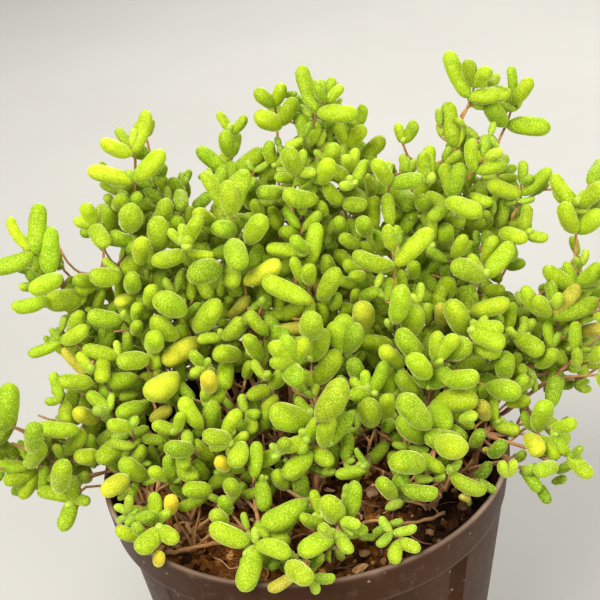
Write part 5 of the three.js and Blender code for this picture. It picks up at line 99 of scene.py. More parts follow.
     [[-734,-74,1474,-860,-106,1525,163,0],[-805,-35,1360,-728,-58,1458,131,0],[-876,-197,1490,-838,-242,1624,160,0],[-971,-111,1528,-920,-92,1694,211,0],[-912,-112,1388,-939,-73,1461,72,0],[-912,-112,1388,-917,-150,1423,72,0],[-914,-113,1380,-844,-178,1496,161,0],[-914,-113,1380,-1032,-104,1395,112,0],[-807,-14,1320,-840,-24,1394,99,0],[-902,-66,1329,-1005,-139,1343,154,0],[-902,-66,1329,-965,-139,1271,129,0],[-888,-140,1290,-865,-125,1382,105,0],[-805,-245,1356,-764,-290,1501,175,0],[-783,-78,1271,-735,-120,1328,99,0],[-985,-194,1630,-1010,-275,1656,84,2],[-985,-194,1630,-1049,-153,1681,84,2],[-944,-176,1597,-1085,-184,1574,144,2],[-989,-196,1633,-1022,-228,1652,59,2],[-989,-196,1633,-1024,-187,1668,59,2],[-1092,-30,1553,-1124,-79,1571,84,2],[-1092,-30,1553,-1125,15,1593,84,2],[-1047,-20,1521,-1018,-63,1632,140,2],[-1047,-20,1521,-1141,-19,1448,140,2],[-1097,-31,1557,-1142,-36,1565,55,2],[-1097,-31,1557,-1117,-41,1598,55,2],[-1059,-113,1381,-1089,-174,1393,91,2],[-1059,-113,1381,-1115,-75,1396,91,2],[-1005,-99,1364,-1109,-117,1301,144,2],[-1065,-114,1383,-1107,-139,1398,62,2],[-1065,-114,1383,-1109,-93,1400,62,2],[-990,-266,1485,-1046,-313,1454,101,2],[-990,-266,1485,-1011,-296,1562,101,2],[-995,-270,1487,-1043,-285,1502,64,2],[-995,-270,1487,-1010,-318,1504,64,2],[-866,-44,1210,-879,4,1261,73,2],[-870,-44,1215,-888,-31,1253,53,2],[-870,-44,1215,-898,-67,1240,53,2],[-980,-23,1486,-1055,-48,1427,113,1],[-898,-34,1428,-932,67,1406,124,1],[-852,-181,1362,-767,-166,1389,104,1],[-793,-40,1235,-800,-161,1217,140,1],[-807,-14,1320,-796,-9,1250,86,1]]),
    ([[74,30,[7,-186,1100,21,-235,1264,23,-233,1280,32,-141,1295,34,-62,1282,35,-55,1288,36,-61,1303,38,-99,1350,49,-305,1557]],[40,30,[27,-206,1285,19,-170,1285,12,-148,1301,10,-126,1304,10,-53,1285,13,-35,1287,16,-45,1308,25,-127,1403,28,-130,1418,35,-124,1440]],[37,30,[30,-179,1291,41,-130,1284,46,-112,1285,52,-124,1306,63,-252,1420]],[37,30,[15,-158,1291,11,-141,1337,8,-146,1355,3,-165,1390,8,-204,1426]],[37,30,[27,-206,1285,21,-173,1288,19,-168,1299,19,-175,1318,19,-214,1376]],[37,30,[20,-232,1254,16,-206,1267,15,-171,1275,17,-164,1286,24,-160,1346]],[37,30,[17,-222,1222,20,-330,1241,16,-338,1247,1,-340,1260,-19,-334,1271,-38,-313,1272,-68,-246,1253,-73,-255,1266,-57,-312,1295,-9,-437,1345]],[37,30,[20,-232,1254,34,-200,1276]],[40,30,[15,-212,1189,-6,-205,1197,-27,-167,1187,-49,-119,1184,-59,-130,1189,-68,-170,1211,-76,-226,1253]],[40,30,[15,-212,1189,-25,-153,1184,-49,-91,1184,-64,-70,1182,-76,-78,1185,-65,-100,1230]],[37,30,[-9,-179,1187,46,-96,1180,51,-90,1184,55,-93,1198,60,-107,1236]],[37,30,[15,-212,1189,25,-284,1176,26,-294,1179,24,-336,1223]],[37,30,[-16,-191,1193,-22,-243,1209]],[29,30,[11,-141,1337,-38,-200,1383,-77,-249,1414]],[42,30,[27,-206,1285,38,-202,1287,49,-192,1284,72,-163,1272,83,-163,1275,94,-174,1286,125,-234,1335]],[42,30,[23,-233,1280,34,-218,1288,40,-225,1301]],[26,30,[-65,-100,1230,-84,-139,1245,-106,-186,1256]]],
     [[35,-124,1440,-91,-191,1536,248,0],[35,-124,1440,-9,-85,1511,88,0],[8,-204,1426,-75,-282,1448,135,0],[1,-203,1418,56,-244,1520,135,0],[1,-203,1418,-16,-278,1426,103,0],[49,-305,1557,144,-316,1699,243,0],[63,-252,1420,90,-294,1552,158,0],[63,-252,1420,162,-250,1528,158,0],[24,-160,1346,79,-272,1360,151,0],[-76,-226,1253,-97,-287,1365,141,0],[-76,-226,1253,-89,-182,1337,102,0],[19,-214,1376,-70,-325,1368,175,0],[-22,-243,1209,-28,-277,1340,141,0],[-9,-437,1345,-159,-493,1316,205,0],[34,-200,1276,68,-238,1322,87,0],[34,-200,1276,105,-183,1310,79,0],[60,-107,1236,103,-142,1270,78,2],[60,-107,1236,17,-97,1283,78,2],[52,-86,1179,108,-29,1265,138,2],[61,-109,1242,56,-140,1278,58,2],[61,-109,1242,76,-103,1288,58,2],[24,-336,1223,79,-380,1243,79,2],[24,-336,1223,-17,-368,1272,79,2],[23,-340,1227,9,-386,1244,61,2],[23,-340,1227,24,-356,1275,61,2],[-65,-100,1230,4,-92,1284,85,2],[-65,-100,1230,-90,-143,1294,85,2],[-79,-84,1181,-13,-208,1192,132,2],[-65,-103,1236,-50,-139,1267,60,2],[-65,-103,1236,-69,-103,1286,60,2],[16,-169,1396,39,-59,1369,132,1],[19,-287,1233,-91,-328,1244,135,1],[24,-160,1346,-18,-107,1325,85,1],[-77,-249,1414,-160,-208,1357,138,0],[-77,-249,1414,-58,-309,1496,124,1],[125,-234,1335,151,-189,1419,112,0],[125,-234,1335,169,-242,1264,97,1],[40,-225,1301,0,-167,1297,78,0],[40,-225,1301,94,-253,1315,69,1],[-106,-186,1256,-132,-237,1242,70,2],[33,-123,1444,-10,-103,1470,78,8],[33,-123,1444,33,-126,1488,68,8],[65,-253,1424,87,-285,1455,75,8],[65,-253,1424,69,-248,1471,72,8],[8,-208,1430,12,-254,1453,79,8],[8,-208,1430,-6,-233,1476,83,8],[-80,-251,1416,-110,-252,1450,70,8],[-80,-251,1416,-106,-285,1422,64,8],[129,-235,1337,158,-218,1346,53,8],[129,-235,1337,158,-254,1353,54,8]]),
    ([[71,30,[43,-455,1100,49,-545,1247,51,-584,1282,50,-592,1299,45,-635,1356]],[40,30,[49,-552,1255,-16,-604,1276,-68,-688,1276]],[37,30,[-36,-633,1277,-34,-596,1236,-33,-588,1220,-29,-650,1269,-48,-642,1280,-67,-661,1302,-87,-707,1339]],[37,30,[49,-552,1255,57,-550,1275,60,-540,1277,74,-444,1230,78,-433,1233,81,-455,1263,81,-498,1301,78,-540,1327,69,-590,1340]],[46,30,[47,-518,1203,138,-480,1261,158,-477,1271,180,-482,1278,214,-495,1286,223,-503,1287,237,-545,1271,247,-566,1269,249,-575,1274,234,-585,1304]],[44,30,[74,-506,1222,73,-502,1240,73,-493,1243,73,-457,1235,73,-446,1238,73,-452,1253,71,-502,1313]],[40,30,[73,-493,1243,109,-489,1301]],[37,30,[73,-446,1238,63,-427,1234,40,-489,1304]],[37,30,[91,-491,1272,106,-381,1281]],[40,30,[47,-518,1203,-3,-573,1214,-19,-597,1223]],[37,30,[26,-543,1210,37,-590,1225]],[28,30,[237,-545,1271,224,-546,1305]],[41,30,[48,-533,1230,59,-554,1241]],[34,30,[129,-482,1256,132,-551,1279]],[26,30,[-19,-597,1223,-33,-554,1199,-37,-558,1206,-49,-618,1266,-58,-633,1281]],[33,30,[73,-493,1243,10,-494,1282]]],
     [[109,-489,1301,142,-474,1431,135,0],[71,-502,1313,46,-571,1445,187,0],[40,-489,1304,-38,-511,1351,105,0],[40,-489,1304,8,-441,1392,90,0],[45,-635,1356,22,-668,1427,95,0],[69,-590,1340,-53,-658,1324,162,0],[69,-590,1340,104,-666,1312,111,0],[82,-560,1357,115,-586,1310,67,0],[82,-560,1357,138,-612,1366,96,0],[82,-560,1357,162,-583,1316,96,0],[-68,-688,1276,-157,-706,1242,101,4],[-87,-707,1339,-28,-817,1352,164,0],[-25,-700,1267,45,-735,1283,94,0],[-25,-700,1267,-13,-753,1246,79,0],[-19,-597,1223,15,-623,1286,89,6],[37,-590,1225,41,-587,1268,52,0],[234,-585,1304,203,-571,1359,74,0],[234,-585,1304,312,-582,1313,89,0],[234,-585,1304,183,-625,1294,82,0],[251,-585,1274,310,-643,1274,104,0],[251,-585,1274,230,-668,1256,112,0],[106,-381,1281,68,-447,1281,70,2],[106,-381,1281,121,-373,1349,70,2],[105,-384,1286,108,-391,1327,50,2],[105,-384,1286,85,-414,1308,50,2],[91,-498,1232,79,-366,1197,158,1],[224,-546,1305,178,-543,1265,75,2],[224,-546,1305,276,-540,1310,61,1],[59,-554,1241,78,-535,1186,75,2],[59,-554,1241,30,-527,1268,60,1],[132,-551,1279,186,-556,1270,61,0],[132,-551,1279,81,-546,1289,50,1],[-58,-633,1281,-91,-598,1305,60,0],[-58,-633,1281,-41,-680,1280,52,1],[10,-494,1282,-32,-481,1306,62,2],[67,-595,1339,59,-630,1353,60,8],[67,-595,1339,57,-618,1316,48,8],[37,-490,1308,28,-504,1341,51,8],[37,-490,1308,1,-481,1332,61,8]]),
    ([[68,30,[-324,409,1100,-358,446,1257,-365,454,1278,-369,462,1287,-374,480,1290,-390,565,1281,-407,641,1280,-411,587,1312,-412,546,1347,-414,522,1375,-418,513,1394,-428,519,1418,-503,599,1582,-537,639,1660,-555,662,1695]],[42,30,[-457,550,1481,-525,736,1493,-557,788,1517]],[37,30,[-494,649,1489,-400,748,1501,-395,760,1506,-404,818,1547,-416,862,1585]],[37,30,[-470,583,1484,-430,647,1529,-437,695,1546,-449,733,1558,-460,762,1574,-467,768,1597,-478,753,1652]],[37,30,[-414,522,1375,-581,573,1394,-592,582,1397,-611,646,1431,-624,675,1463]],[40,30,[-410,627,1287,-361,696,1338,-378,805,1472]],[37,30,[-384,662,1311,-409,666,1314,-416,669,1318,-452,698,1365,-474,722,1409]],[40,30,[-358,446,1257,-363,455,1276,-376,470,1281,-465,563,1267,-499,598,1266,-520,631,1266,-530,663,1266]],[37,30,[-363,454,1276,-373,546,1266,-403,736,1266]]],
     [[-416,862,1585,-483,889,1610,82,2],[-416,862,1585,-370,905,1638,82,2],[-404,819,1548,-445,805,1659,131,2],[-404,819,1548,-399,928,1482,131,2],[-392,757,1502,-274,762,1559,130,2],[-392,757,1502,-504,809,1483,130,2],[-416,868,1588,-440,905,1603,55,2],[-416,868,1588,-401,901,1617,55,2],[-403,736,1255,-414,798,1212,90,2],[-403,736,1255,-408,778,1329,90,2],[-397,679,1242,-510,722,1250,127,2],[-397,679,1242,-306,750,1253,127,2],[-405,741,1257,-420,787,1256,58,2],[-405,741,1257,-416,769,1295,58,2],[-474,722,1409,-531,786,1384,95,2],[-474,722,1409,-446,744,1482,95,2],[-451,674,1378,-543,661,1477,143,2],[-451,674,1378,-410,794,1356,143,2],[-409,616,1338,-346,657,1473,152,2],[-409,616,1338,-516,667,1245,152,2],[-477,726,1412,-515,762,1415,63,2],[-477,726,1412,-486,760,1452,63,2],[-557,788,1517,-544,856,1522,78,2],[-557,788,1517,-610,792,1550,78,2],[-529,747,1493,-632,786,1436,137,2],[-529,747,1493,-485,792,1608,137,2],[-560,793,1519,-568,825,1555,58,2],[-560,793,1519,-594,828,1520,58,2],[-624,675,1463,-649,733,1441,77,2],[-624,675,1463,-630,702,1525,77,2],[-610,636,1439,-562,723,1476,122,2],[-593,571,1398,-552,532,1524,155,2],[-593,571,1398,-643,671,1327,155,2],[-626,680,1466,-642,723,1468,55,2],[-626,680,1466,-634,705,1504,55,2],[-530,663,1261,-577,720,1229,86,2],[-516,615,1245,-593,648,1299,125,2],[-532,669,1262,-529,715,1260,55,2],[-532,669,1262,-557,699,1286,55,2],[-478,753,1652,-479,837,1663,94,2],[-478,753,1652,-505,736,1733,94,2],[-455,709,1603,-340,755,1703,148,2],[-425,652,1536,-458,575,1637,170,2],[-480,756,1657,-489,805,1677,64,2],[-480,756,1657,-495,768,1707,64,2],[-378,805,1472,-327,858,1496,109,2],[-378,805,1472,-435,837,1507,109,2],[-372,747,1432,-397,898,1383,164,2],[-379,809,1475,-364,858,1501,68,2],[-379,809,1475,-413,843,1507,68,2],[-555,662,1695,-531,660,1764,75,2],[-537,638,1659,-599,591,1726,127,2],[-557,666,1699,-557,707,1720,55,2],[-557,666,1699,-580,678,1737,55,2],[-514,612,1607,-606,647,1581,117,1],[-476,570,1522,-491,659,1543,106,1],[-442,533,1447,-554,594,1440,146,1],[-371,459,1298,-440,502,1312,94,1],[-509,690,1491,-459,754,1497,93,1],[-444,703,1496,-329,701,1448,142,1],[-534,549,1394,-619,481,1374,126,1],[-360,612,1363,-316,597,1429,92,1],[-480,578,1260,-536,582,1147,144,1],[-419,514,1275,-525,484,1291,127,1],[-373,550,1262,-451,599,1263,105,1]]),
    ([[71,30,[384,3,1100,438,48,1210,462,64,1263,480,71,1308,535,73,1426,553,93,1445,559,97,1453,571,95,1475,579,103,1481,607,163,1475,613,156,1490,618,82,1568,626,74,1597]],[37,30,[541,78,1433,548,79,1439,556,87,1440,595,153,1427,605,176,1430,612,189,1443,614,176,1472,593,21,1628]],[37,30,[525,70,1406,594,-4,1439,634,-54,1447]],[37,30,[510,70,1374,485,105,1434]],[37,30,[495,71,1341,594,-4,1373]],[42,30,[438,48,1210,511,162,1206,518,168,1209,530,168,1218,556,163,1241]],[37,30,[453,72,1209,420,120,1291]],[37,30,[466,66,1274,456,43,1303,446,17,1320,442,10,1378,450,5,1445,449,-4,1452,443,-26,1456]],[37,30,[453,72,1209,505,53,1244,535,57,1284]],[37,30,[438,48,1210,381,47,1260,373,45,1271,378,27,1318]],[37,30,[424,37,1180,442,0,1195,466,-11,1231]],[32,28,[539,38,1355,578,77,1363]]],
     [[626,74,1597,661,72,1644,74,0],[626,74,1597,608,41,1649,82,0],[443,-26,1456,395,-59,1538,114,0],[443,-26,1456,495,-105,1552,162,0],[594,-4,1373,628,-50,1446,116,0],[593,21,1628,680,-99,1623,195,0],[593,21,1628,688,-62,1669,163,0],[590,16,1569,682,-47,1562,131,0],[634,-54,1447,711,-172,1483,204,0],[485,105,1434,565,108,1424,89,2],[485,105,1434,466,66,1496,89,2],[489,103,1438,505,81,1479,58,2],[489,103,1438,535,99,1454,58,2],[556,163,1241,624,123,1242,80,2],[556,163,1241,576,182,1310,80,2],[516,171,1206,601,247,1209,128,2],[516,171,1206,534,71,1284,128,2],[560,162,1245,582,140,1280,55,2],[560,162,1245,597,177,1269,55,2],[535,57,1284,594,30,1310,79,2],[535,57,1284,542,93,1341,79,2],[505,51,1242,486,29,1335,132,2],[539,57,1289,552,45,1327,50,2],[539,57,1289,574,70,1308,50,2],[420,120,1291,419,155,1369,78,2],[423,120,1296,432,139,1340,59,2],[423,120,1296,455,103,1329,59,2],[378,27,1318,440,20,1356,80,2],[378,27,1318,331,-11,1359,80,2],[370,47,1270,352,119,1377,144,2],[370,47,1270,405,-80,1288,144,2],[379,24,1323,384,-16,1349,57,2],[379,24,1323,379,21,1371,57,2],[466,-11,1231,529,7,1253,80,2],[466,-11,1231,456,-47,1288,80,2],[441,-1,1192,445,46,1297,126,2],[441,-1,1192,525,-86,1208,126,2],[469,-13,1236,499,-40,1257,55,2],[469,-13,1236,485,-9,1279,55,2],[546,70,1451,656,117,1448,137,1],[591,-3,1439,555,-88,1419,108,1],[553,27,1360,514,-57,1456,152,1],[483,120,1207,459,186,1165,93,1],[578,77,1363,683,129,1370,135,2],[596,17,1629,596,-29,1658,76,8],[596,17,1629,638,-4,1629,74,8],[442,-30,1460,434,-66,1477,60,8],[442,-30,1460,442,-47,1493,51,8]]),
    ([[74,30,[-50,334,1100,-41,296,1169,-30,252,1265,-26,240,1314,-26,247,1349,-28,263,1365,-31,286,1376,-40,368,1401,-43,420,1422,-45,484,1467,-43,521,1505,-37,553,1548,-5,636,1688,-3,651,1695,-2,678,1697,2,795,1685,3,802,1697,6,724,1776,7,718,1792,7,735,1798,9,800,1796,10,815,1802,10,805,1820,12,751,1869,13,734,1888,14,729,1903,31,765,2071,32,773,2083,33,793,2095,35,852,2120,35,858,2141,36,832,2173,35,781,2213]],[42,30,[19,738,1946,18,730,1981,17,702,2008]],[40,30,[18,732,1972,-3,819,1918,-15,841,1902,-26,842,1898,-49,807,1910,-82,703,1959,-93,683,1971,-117,668,1982,-175,666,1989,-221,649,1999]],[44,30,[10,815,1802,-11,826,1808,-51,820,1832,-194,824,1892,-203,826,1899,-208,834,1911,-215,855,1938]],[37,30,[-113,824,1857,-147,829,1895,-152,828,1905,-152,810,1957,-148,836,2015,-145,836,2044,-137,824,2110]],[40,30,[-113,824,1857,-191,737,1928]],[37,30,[-117,668,1982,-118,583,1974]],[37,30,[-152,781,1893,-167,636,1891]],[40,30,[5,750,1750,-47,750,1788,-78,767,1831,-84,808,1902,-81,834,1952]],[37,30,[-20,748,1767,-76,699,1835,-83,694,1848,-83,696,1862,-75,711,1890]],[37,30,[-7,627,1677,35,773,1703,37,801,1723,36,869,1797]],[37,30,[-7,627,1677,-32,621,1699,-44,623,1706,-65,653,1714,-71,658,1719,-81,627,1750,-83,613,1772,-84,609,1791,-85,612,1808]],[37,30,[-15,608,1642,-23,596,1683]],[30,30,[-82,703,1959,-70,674,2012]],[26,30,[35,781,2213,41,826,2207,44,827,2212,60,790,2250]],[26,30,[17,702,2008,22,749,2010,24,755,2018,35,678,2102]],[34,30,[-51,820,1832,-23,764,1881]],[27,30,[-83,694,1848,-68,639,1910]],[26,30,[-167,636,1891,-222,623,1975]],[42,30,[-7,627,1677,3,621,1720]],[32,28,[24,749,1988,65,789,2001]],[32,28,[-147,829,1895,-120,839,1912]],[32,28,[-215,855,1938,-206,884,1951]],[32,28,[-60,774,1925,-33,751,1941]],[32,28,[-191,737,1928,-152,703,1950]]],
     [[-137,824,2110,-176,865,2186,99,0],[-137,824,2110,-74,821,2174,108,0],[-148,800,2029,-156,759,2148,153,0],[-148,800,2029,-117,907,2083,135,0],[-152,782,1968,-269,809,2076,172,0],[-152,782,1968,-23,748,2062,181,0],[35,781,2213,-26,733,2298,141,0],[35,781,2213,72,745,2305,132,0],[46,758,2147,-33,653,2230,194,0],[46,758,2147,106,712,2260,159,0],[17,702,2008,-1,690,2117,133,0],[17,702,2008,49,650,2061,106,0],[36,869,1797,82,923,1818,84,2],[36,869,1797,-14,875,1849,84,2],[36,834,1761,-25,941,1740,134,2],[36,834,1761,94,794,1854,134,2],[39,784,1705,-78,746,1797,167,2],[36,873,1802,47,913,1830,60,2],[36,873,1802,11,888,1843,60,2],[-81,834,1952,-100,912,1958,107,2],[-81,834,1952,-59,837,2030,107,2],[-81,735,1842,-162,871,1798,166,2],[-81,838,1957,-94,886,1983,67,2],[-81,838,1957,-75,849,2012,67,2],[-215,855,1938,-164,918,1963,86,2],[-205,810,1903,-240,904,1861,157,2],[-216,859,1942,-222,876,1989,60,2],[-216,859,1942,-225,907,1956,60,2],[-23,596,1683,-33,663,1694,77,2],[-23,596,1683,-27,565,1742,77,2],[-24,599,1689,-27,601,1731,51,2],[-24,599,1689,-28,634,1713,51,2],[-191,737,1928,-249,790,1945,74,2],[-192,741,1933,-180,761,1972,54,2],[-192,741,1933,-215,772,1956,54,2],[-118,583,1974,-153,641,2017,94,2],[-118,583,1974,-62,582,2021,94,2],[-117,586,1979,-94,602,2021,61,2],[-117,586,1979,-137,617,2014,61,2],[-85,612,1808,-101,677,1820,79,2],[-85,612,1808,-84,603,1876,79,2],[-81,585,1767,15,636,1836,126,2],[-86,615,1812,-74,641,1848,55,2],[-86,615,1812,-114,637,1842,55,2],[-167,636,1891,-223,643,1913,83,2],[-167,636,1891,-154,659,1950,83,2],[-170,638,1896,-168,659,1937,55,2],[-170,638,1896,-205,646,1924,55,2],[-221,649,1999,-270,724,1997,80,2],[-223,653,2003,-230,673,2048,59,2],[-223,653,2003,-251,692,2014,59,2],[-75,711,1890,-119,764,1908,73,2],[-75,711,1890,-26,737,1922,73,2],[-87,670,1858,-113,646,1975,134,2],[-87,670,1858,-34,756,1816,134,2],[25,751,1991,-34,813,2027,106,1],[13,726,1900,74,806,1893,116,1],[7,689,1812,77,619,1869,131,1],[0,643,1711,65,710,1721,107,1],[-21,596,1617,-47,697,1627,120,1],[-42,556,1545,-98,552,1627,113,1],[-46,503,1480,-99,576,1450,109,1],[-149,785,1890,-243,724,1852,136,1],[21,716,1694,35,757,1558,164,1],[-51,607,1725,-161,675,1764,154,1],[-70,674,2012,-11,687,2037,77,0],[-70,674,2012,-91,689,2054,62,1],[60,790,2250,122,789,2250,73,2],[35,678,2102,42,623,2084,72,2],[35,678,2102,30,727,2114,68,1],[-23,764,1881,-23,813,2010,179,2],[-23,764,1881,37,803,1804,156,1],[-68,639,1910,-75,646,2004,125,2],[-68,639,1910,-20,585,1920,109,1],[-222,623,1975,-169,672,2052,125,2],[-222,623,1975,-301,590,1935,116,1],[3,621,1720,-66,617,1802,125,2],[3,621,1720,91,625,1770,106,1],[65,789,2001,127,796,2082,135,2],[65,789,2001,79,863,1957,122,1],[-120,839,1912,-29,830,1970,135,2],[-206,884,1951,-142,928,2028,135,2],[-206,884,1951,-218,973,1928,122,1],[-33,751,1941,57,796,1978,135,2],[-33,751,1941,-57,664,1932,122,1],[-152,703,1950,-149,789,2016,135,2],[-152,703,1950,-200,698,1871,122,1],[18,699,2012,36,691,2050,62,8],[18,699,2012,6,668,2035,64,8],[-137,824,2114,-126,842,2142,50,8],[-137,824,2114,-137,812,2154,68,8]]),
    ([[71,30,[453,-181,1100,599,-245,1266,748,-318,1266]],[52,30,[659,-273,1266,692,-310,1285]],[51,30,[670,-285,1271,622,-208,1295,589,-175,1321,574,-148,1334,573,-131,1339,578,-124,1341,617,-94,1348]],[46,30,[646,-249,1284,668,-228,1267,693,-206,1266]],[42,30,[622,-208,1295,615,-219,1290,601,-241,1297]],[40,30,[615,-219,1290,607,-207,1276]],[44,30,[668,-228,1266,610,-121,1268,613,-99,1260,623,-84,1237,636,-86,1285,641,-105,1319]],[37,30,[607,-207,1276,552,-184,1304]],[42,30,[613,-99,1262,568,-92,1227]],[40,30,[568,-92,1227,462,-121,1263]],[37,30,[533,-102,1239,502,-191,1214,502,-202,1215,538,-224,1245,628,-267,1291,640,-276,1294,643,-293,1291,640,-339,1281]]],
     [[617,-94,1348,592,-153,1453,138,4],[641,-105,1319,719,-156,1322,113,0],[641,-105,1319,655,-61,1401,89,0],[552,-184,1304,579,-229,1391,121,6],[601,-241,1297,638,-294,1383,128,6],[607,-207,1276,584,-227,1318,64,4],[640,-339,1281,617,-362,1356,94,0],[640,-339,1281,659,-361,1353,94,0],[693,-206,1243,713,-242,1298,89,6],[692,-310,1285,737,-367,1224,110,0],[692,-310,1285,719,-363,1319,94,0],[748,-318,1218,761,-390,1194,102,6],[462,-121,1263,515,-104,1292,83,2],[462,-121,1263,453,-166,1297,83,2],[465,-123,1267,476,-153,1299,53,2],[465,-123,1267,500,-121,1296,53,2],[568,-92,1227,576,-123,1284,76,2],[572,-93,1231,587,-113,1270,56,2],[572,-93,1231,607,-79,1258,56,2],[689,-288,1250,763,-242,1232,102,1],[572,-132,1339,476,-47,1379,153,1],[509,-108,1247,435,-96,1159,132,1],[644,-107,1323,679,-100,1344,58,8],[644,-107,1323,653,-130,1359,65,8]]),
    ([[66,30,[-81,491,1100,-84,633,1376,-86,669,1426,-91,761,1531,-92,784,1546,-93,805,1549,-96,913,1534,-96,928,1540,-96,919,1557,-96,870,1606,-95,857,1624,-96,855,1638,-96,904,1714]],[37,30,[-93,805,1549,35,860,1617,46,877,1635,51,903,1661]],[37,30,[-91,761,1531,-198,840,1551,-212,864,1564,-220,899,1586]],[37,30,[-88,711,1475,-84,848,1494,-86,899,1512]],[37,30,[-84,621,1356,-145,675,1375,-205,742,1369,-228,788,1397]],[37,30,[-84,605,1325,-77,689,1291,-70,732,1280,-62,720,1288,-53,688,1307,-45,669,1326,-37,665,1335,-22,679,1343,7,718,1354,6,825,1417]],[40,30,[-83,561,1235,-126,603,1261,-151,630,1266,-169,656,1266,-205,747,1266,-214,748,1266,-229,730,1266,-236,728,1266,-256,764,1266]],[37,30,[-109,586,1251,-107,612,1263,-97,672,1266,-71,790,1266]]],
     [[51,903,1661,76,975,1659,93,2],[51,903,1661,41,909,1741,93,2],[44,860,1624,-65,940,1668,127,2],[44,860,1624,158,879,1690,127,2],[52,908,1664,83,937,1690,60,2],[52,908,1664,41,950,1689,60,2],[-71,790,1254,-15,841,1208,99,2],[-71,790,1254,-96,850,1300,99,2],[-82,726,1256,4,777,1316,144,2],[-106,638,1254,-165,713,1365,165,2],[-69,795,1254,-38,836,1234,65,2],[-69,795,1254,-62,845,1276,65,2],[-220,899,1586,-172,969,1622,99,2],[-220,899,1586,-304,948,1631,99,2],[-208,847,1553,-216,981,1485,178,2],[-208,847,1553,-214,851,1720,178,2],[-221,904,1590,-227,932,1639,68,2],[-221,904,1590,-236,958,1596,68,2],[-228,788,1397,-304,810,1414,85,2],[-228,788,1397,-192,844,1438,85,2],[-205,741,1365,-236,743,1499,142,2],[-205,741,1365,-249,859,1305,142,2],[-230,793,1400,-249,842,1406,63,2],[-230,793,1400,-243,816,1445,63,2],[6,825,1417,27,892,1416,85,2],[6,825,1417,-28,835,1480,85,2],[9,777,1387,-57,864,1378,128,2],[6,830,1420,20,873,1428,56,2],[6,830,1420,-10,859,1453,56,2],[-96,904,1714,-91,1003,1725,106,2],[-96,904,1714,-110,902,1818,106,2],[-96,907,1719,-71,930,1766,68,2],[-96,907,1719,-122,935,1762,68,2],[-256,764,1231,-242,834,1201,88,2],[-256,764,1231,-300,800,1278,88,2],[-236,716,1224,-344,744,1189,141,2],[-236,716,1224,-159,798,1258,141,2],[-257,770,1232,-253,815,1244,56,2],[-257,770,1232,-289,804,1224,56,2],[-86,899,1512,-39,959,1519,89,2],[-86,899,1512,-148,941,1540,89,2],[-83,847,1493,-117,943,1421,149,2],[-83,847,1493,-50,872,1603,149,2],[-88,905,1514,-89,940,1548,58,2],[-88,905,1514,-106,950,1510,58,2],[-94,827,1610,-163,890,1608,106,1],[-87,697,1459,-33,625,1505,116,1],[-84,637,1383,-10,739,1386,144,1],[-84,591,1297,15,568,1356,133,1],[-12,831,1598,40,923,1547,134,1],[-159,812,1544,-166,830,1421,142,1],[-146,623,1266,-159,638,1193,86,1]]),
    ([[82,30,[-224,-135,1100,-272,-167,1235,-289,-165,1270,-293,-159,1274,-299,-144,1273,-326,-32,1230,-331,-22,1232,-336,-22,1242,-340,-66,1291,-340,-191,1405,-345,-212,1427,-358,-231,1453]],[40,30,[-331,-22,1232,-319,72,1193,-310,126,1184,-303,124,1190,-293,88,1216,-256,-134,1389,-236,-227,1468]],[42,30,[-331,-22,1232,-328,-13,1243,-318,-39,1296,-318,-43,1317,-321,-22,1322,-327,21,1312,-333,44,1314,-334,-7,1365,-329,-119,1455]],[46,30,[-340,-66,1291,-392,-193,1420]],[44,30,[-366,-130,1355,-424,-159,1384]],[37,30,[-303,124,1190,-200,-207,1434]],[42,30,[-424,-159,1384,-415,-107,1380,-413,-99,1384,-409,-105,1430,-386,-122,1456,-406,-141,1465]],[40,30,[-318,-39,1296,-256,-142,1429]],[40,30,[-413,-99,1384,-392,-84,1385,-382,-69,1381,-356,15,1343,-345,23,1344,-331,-1,1365,-316,-48,1402]],[37,30,[-356,15,1343,-300,-28,1366]],[37,30,[-287,-90,1362,-224,-150,1390]],[37,30,[-293,-159,1274,-270,-183,1317,-256,-221,1356]],[37,30,[-293,-159,1274,-308,-35,1228,-310,-32,1240,-302,-159,1355]],[40,30,[-268,-165,1225,-310,-136,1239,-344,-105,1243,-369,-98,1259,-394,-85,1270]],[37,30,[-318,-129,1240,-333,-133,1257,-339,-144,1272]],[37,30,[-257,-157,1192,-236,-129,1217,-222,-100,1230,-196,-78,1270]],[37,30,[-257,-157,1192,-217,-192,1238]],[37,30,[-257,-157,1192,-261,-218,1199,-267,-229,1203,-322,-254,1238,-351,-260,1266,-357,-263,1280,-312,-295,1330]],[31,30,[-318,-129,1240,-333,-181,1263]],[32,30,[-413,-99,1384,-447,-99,1413]],[26,30,[-217,-192,1238,-227,-259,1270]],[28,30,[-276,-172,1303,-264,-185,1315,-252,-222,1342]],[28,30,[-322,-254,1238,-289,-302,1289]]],
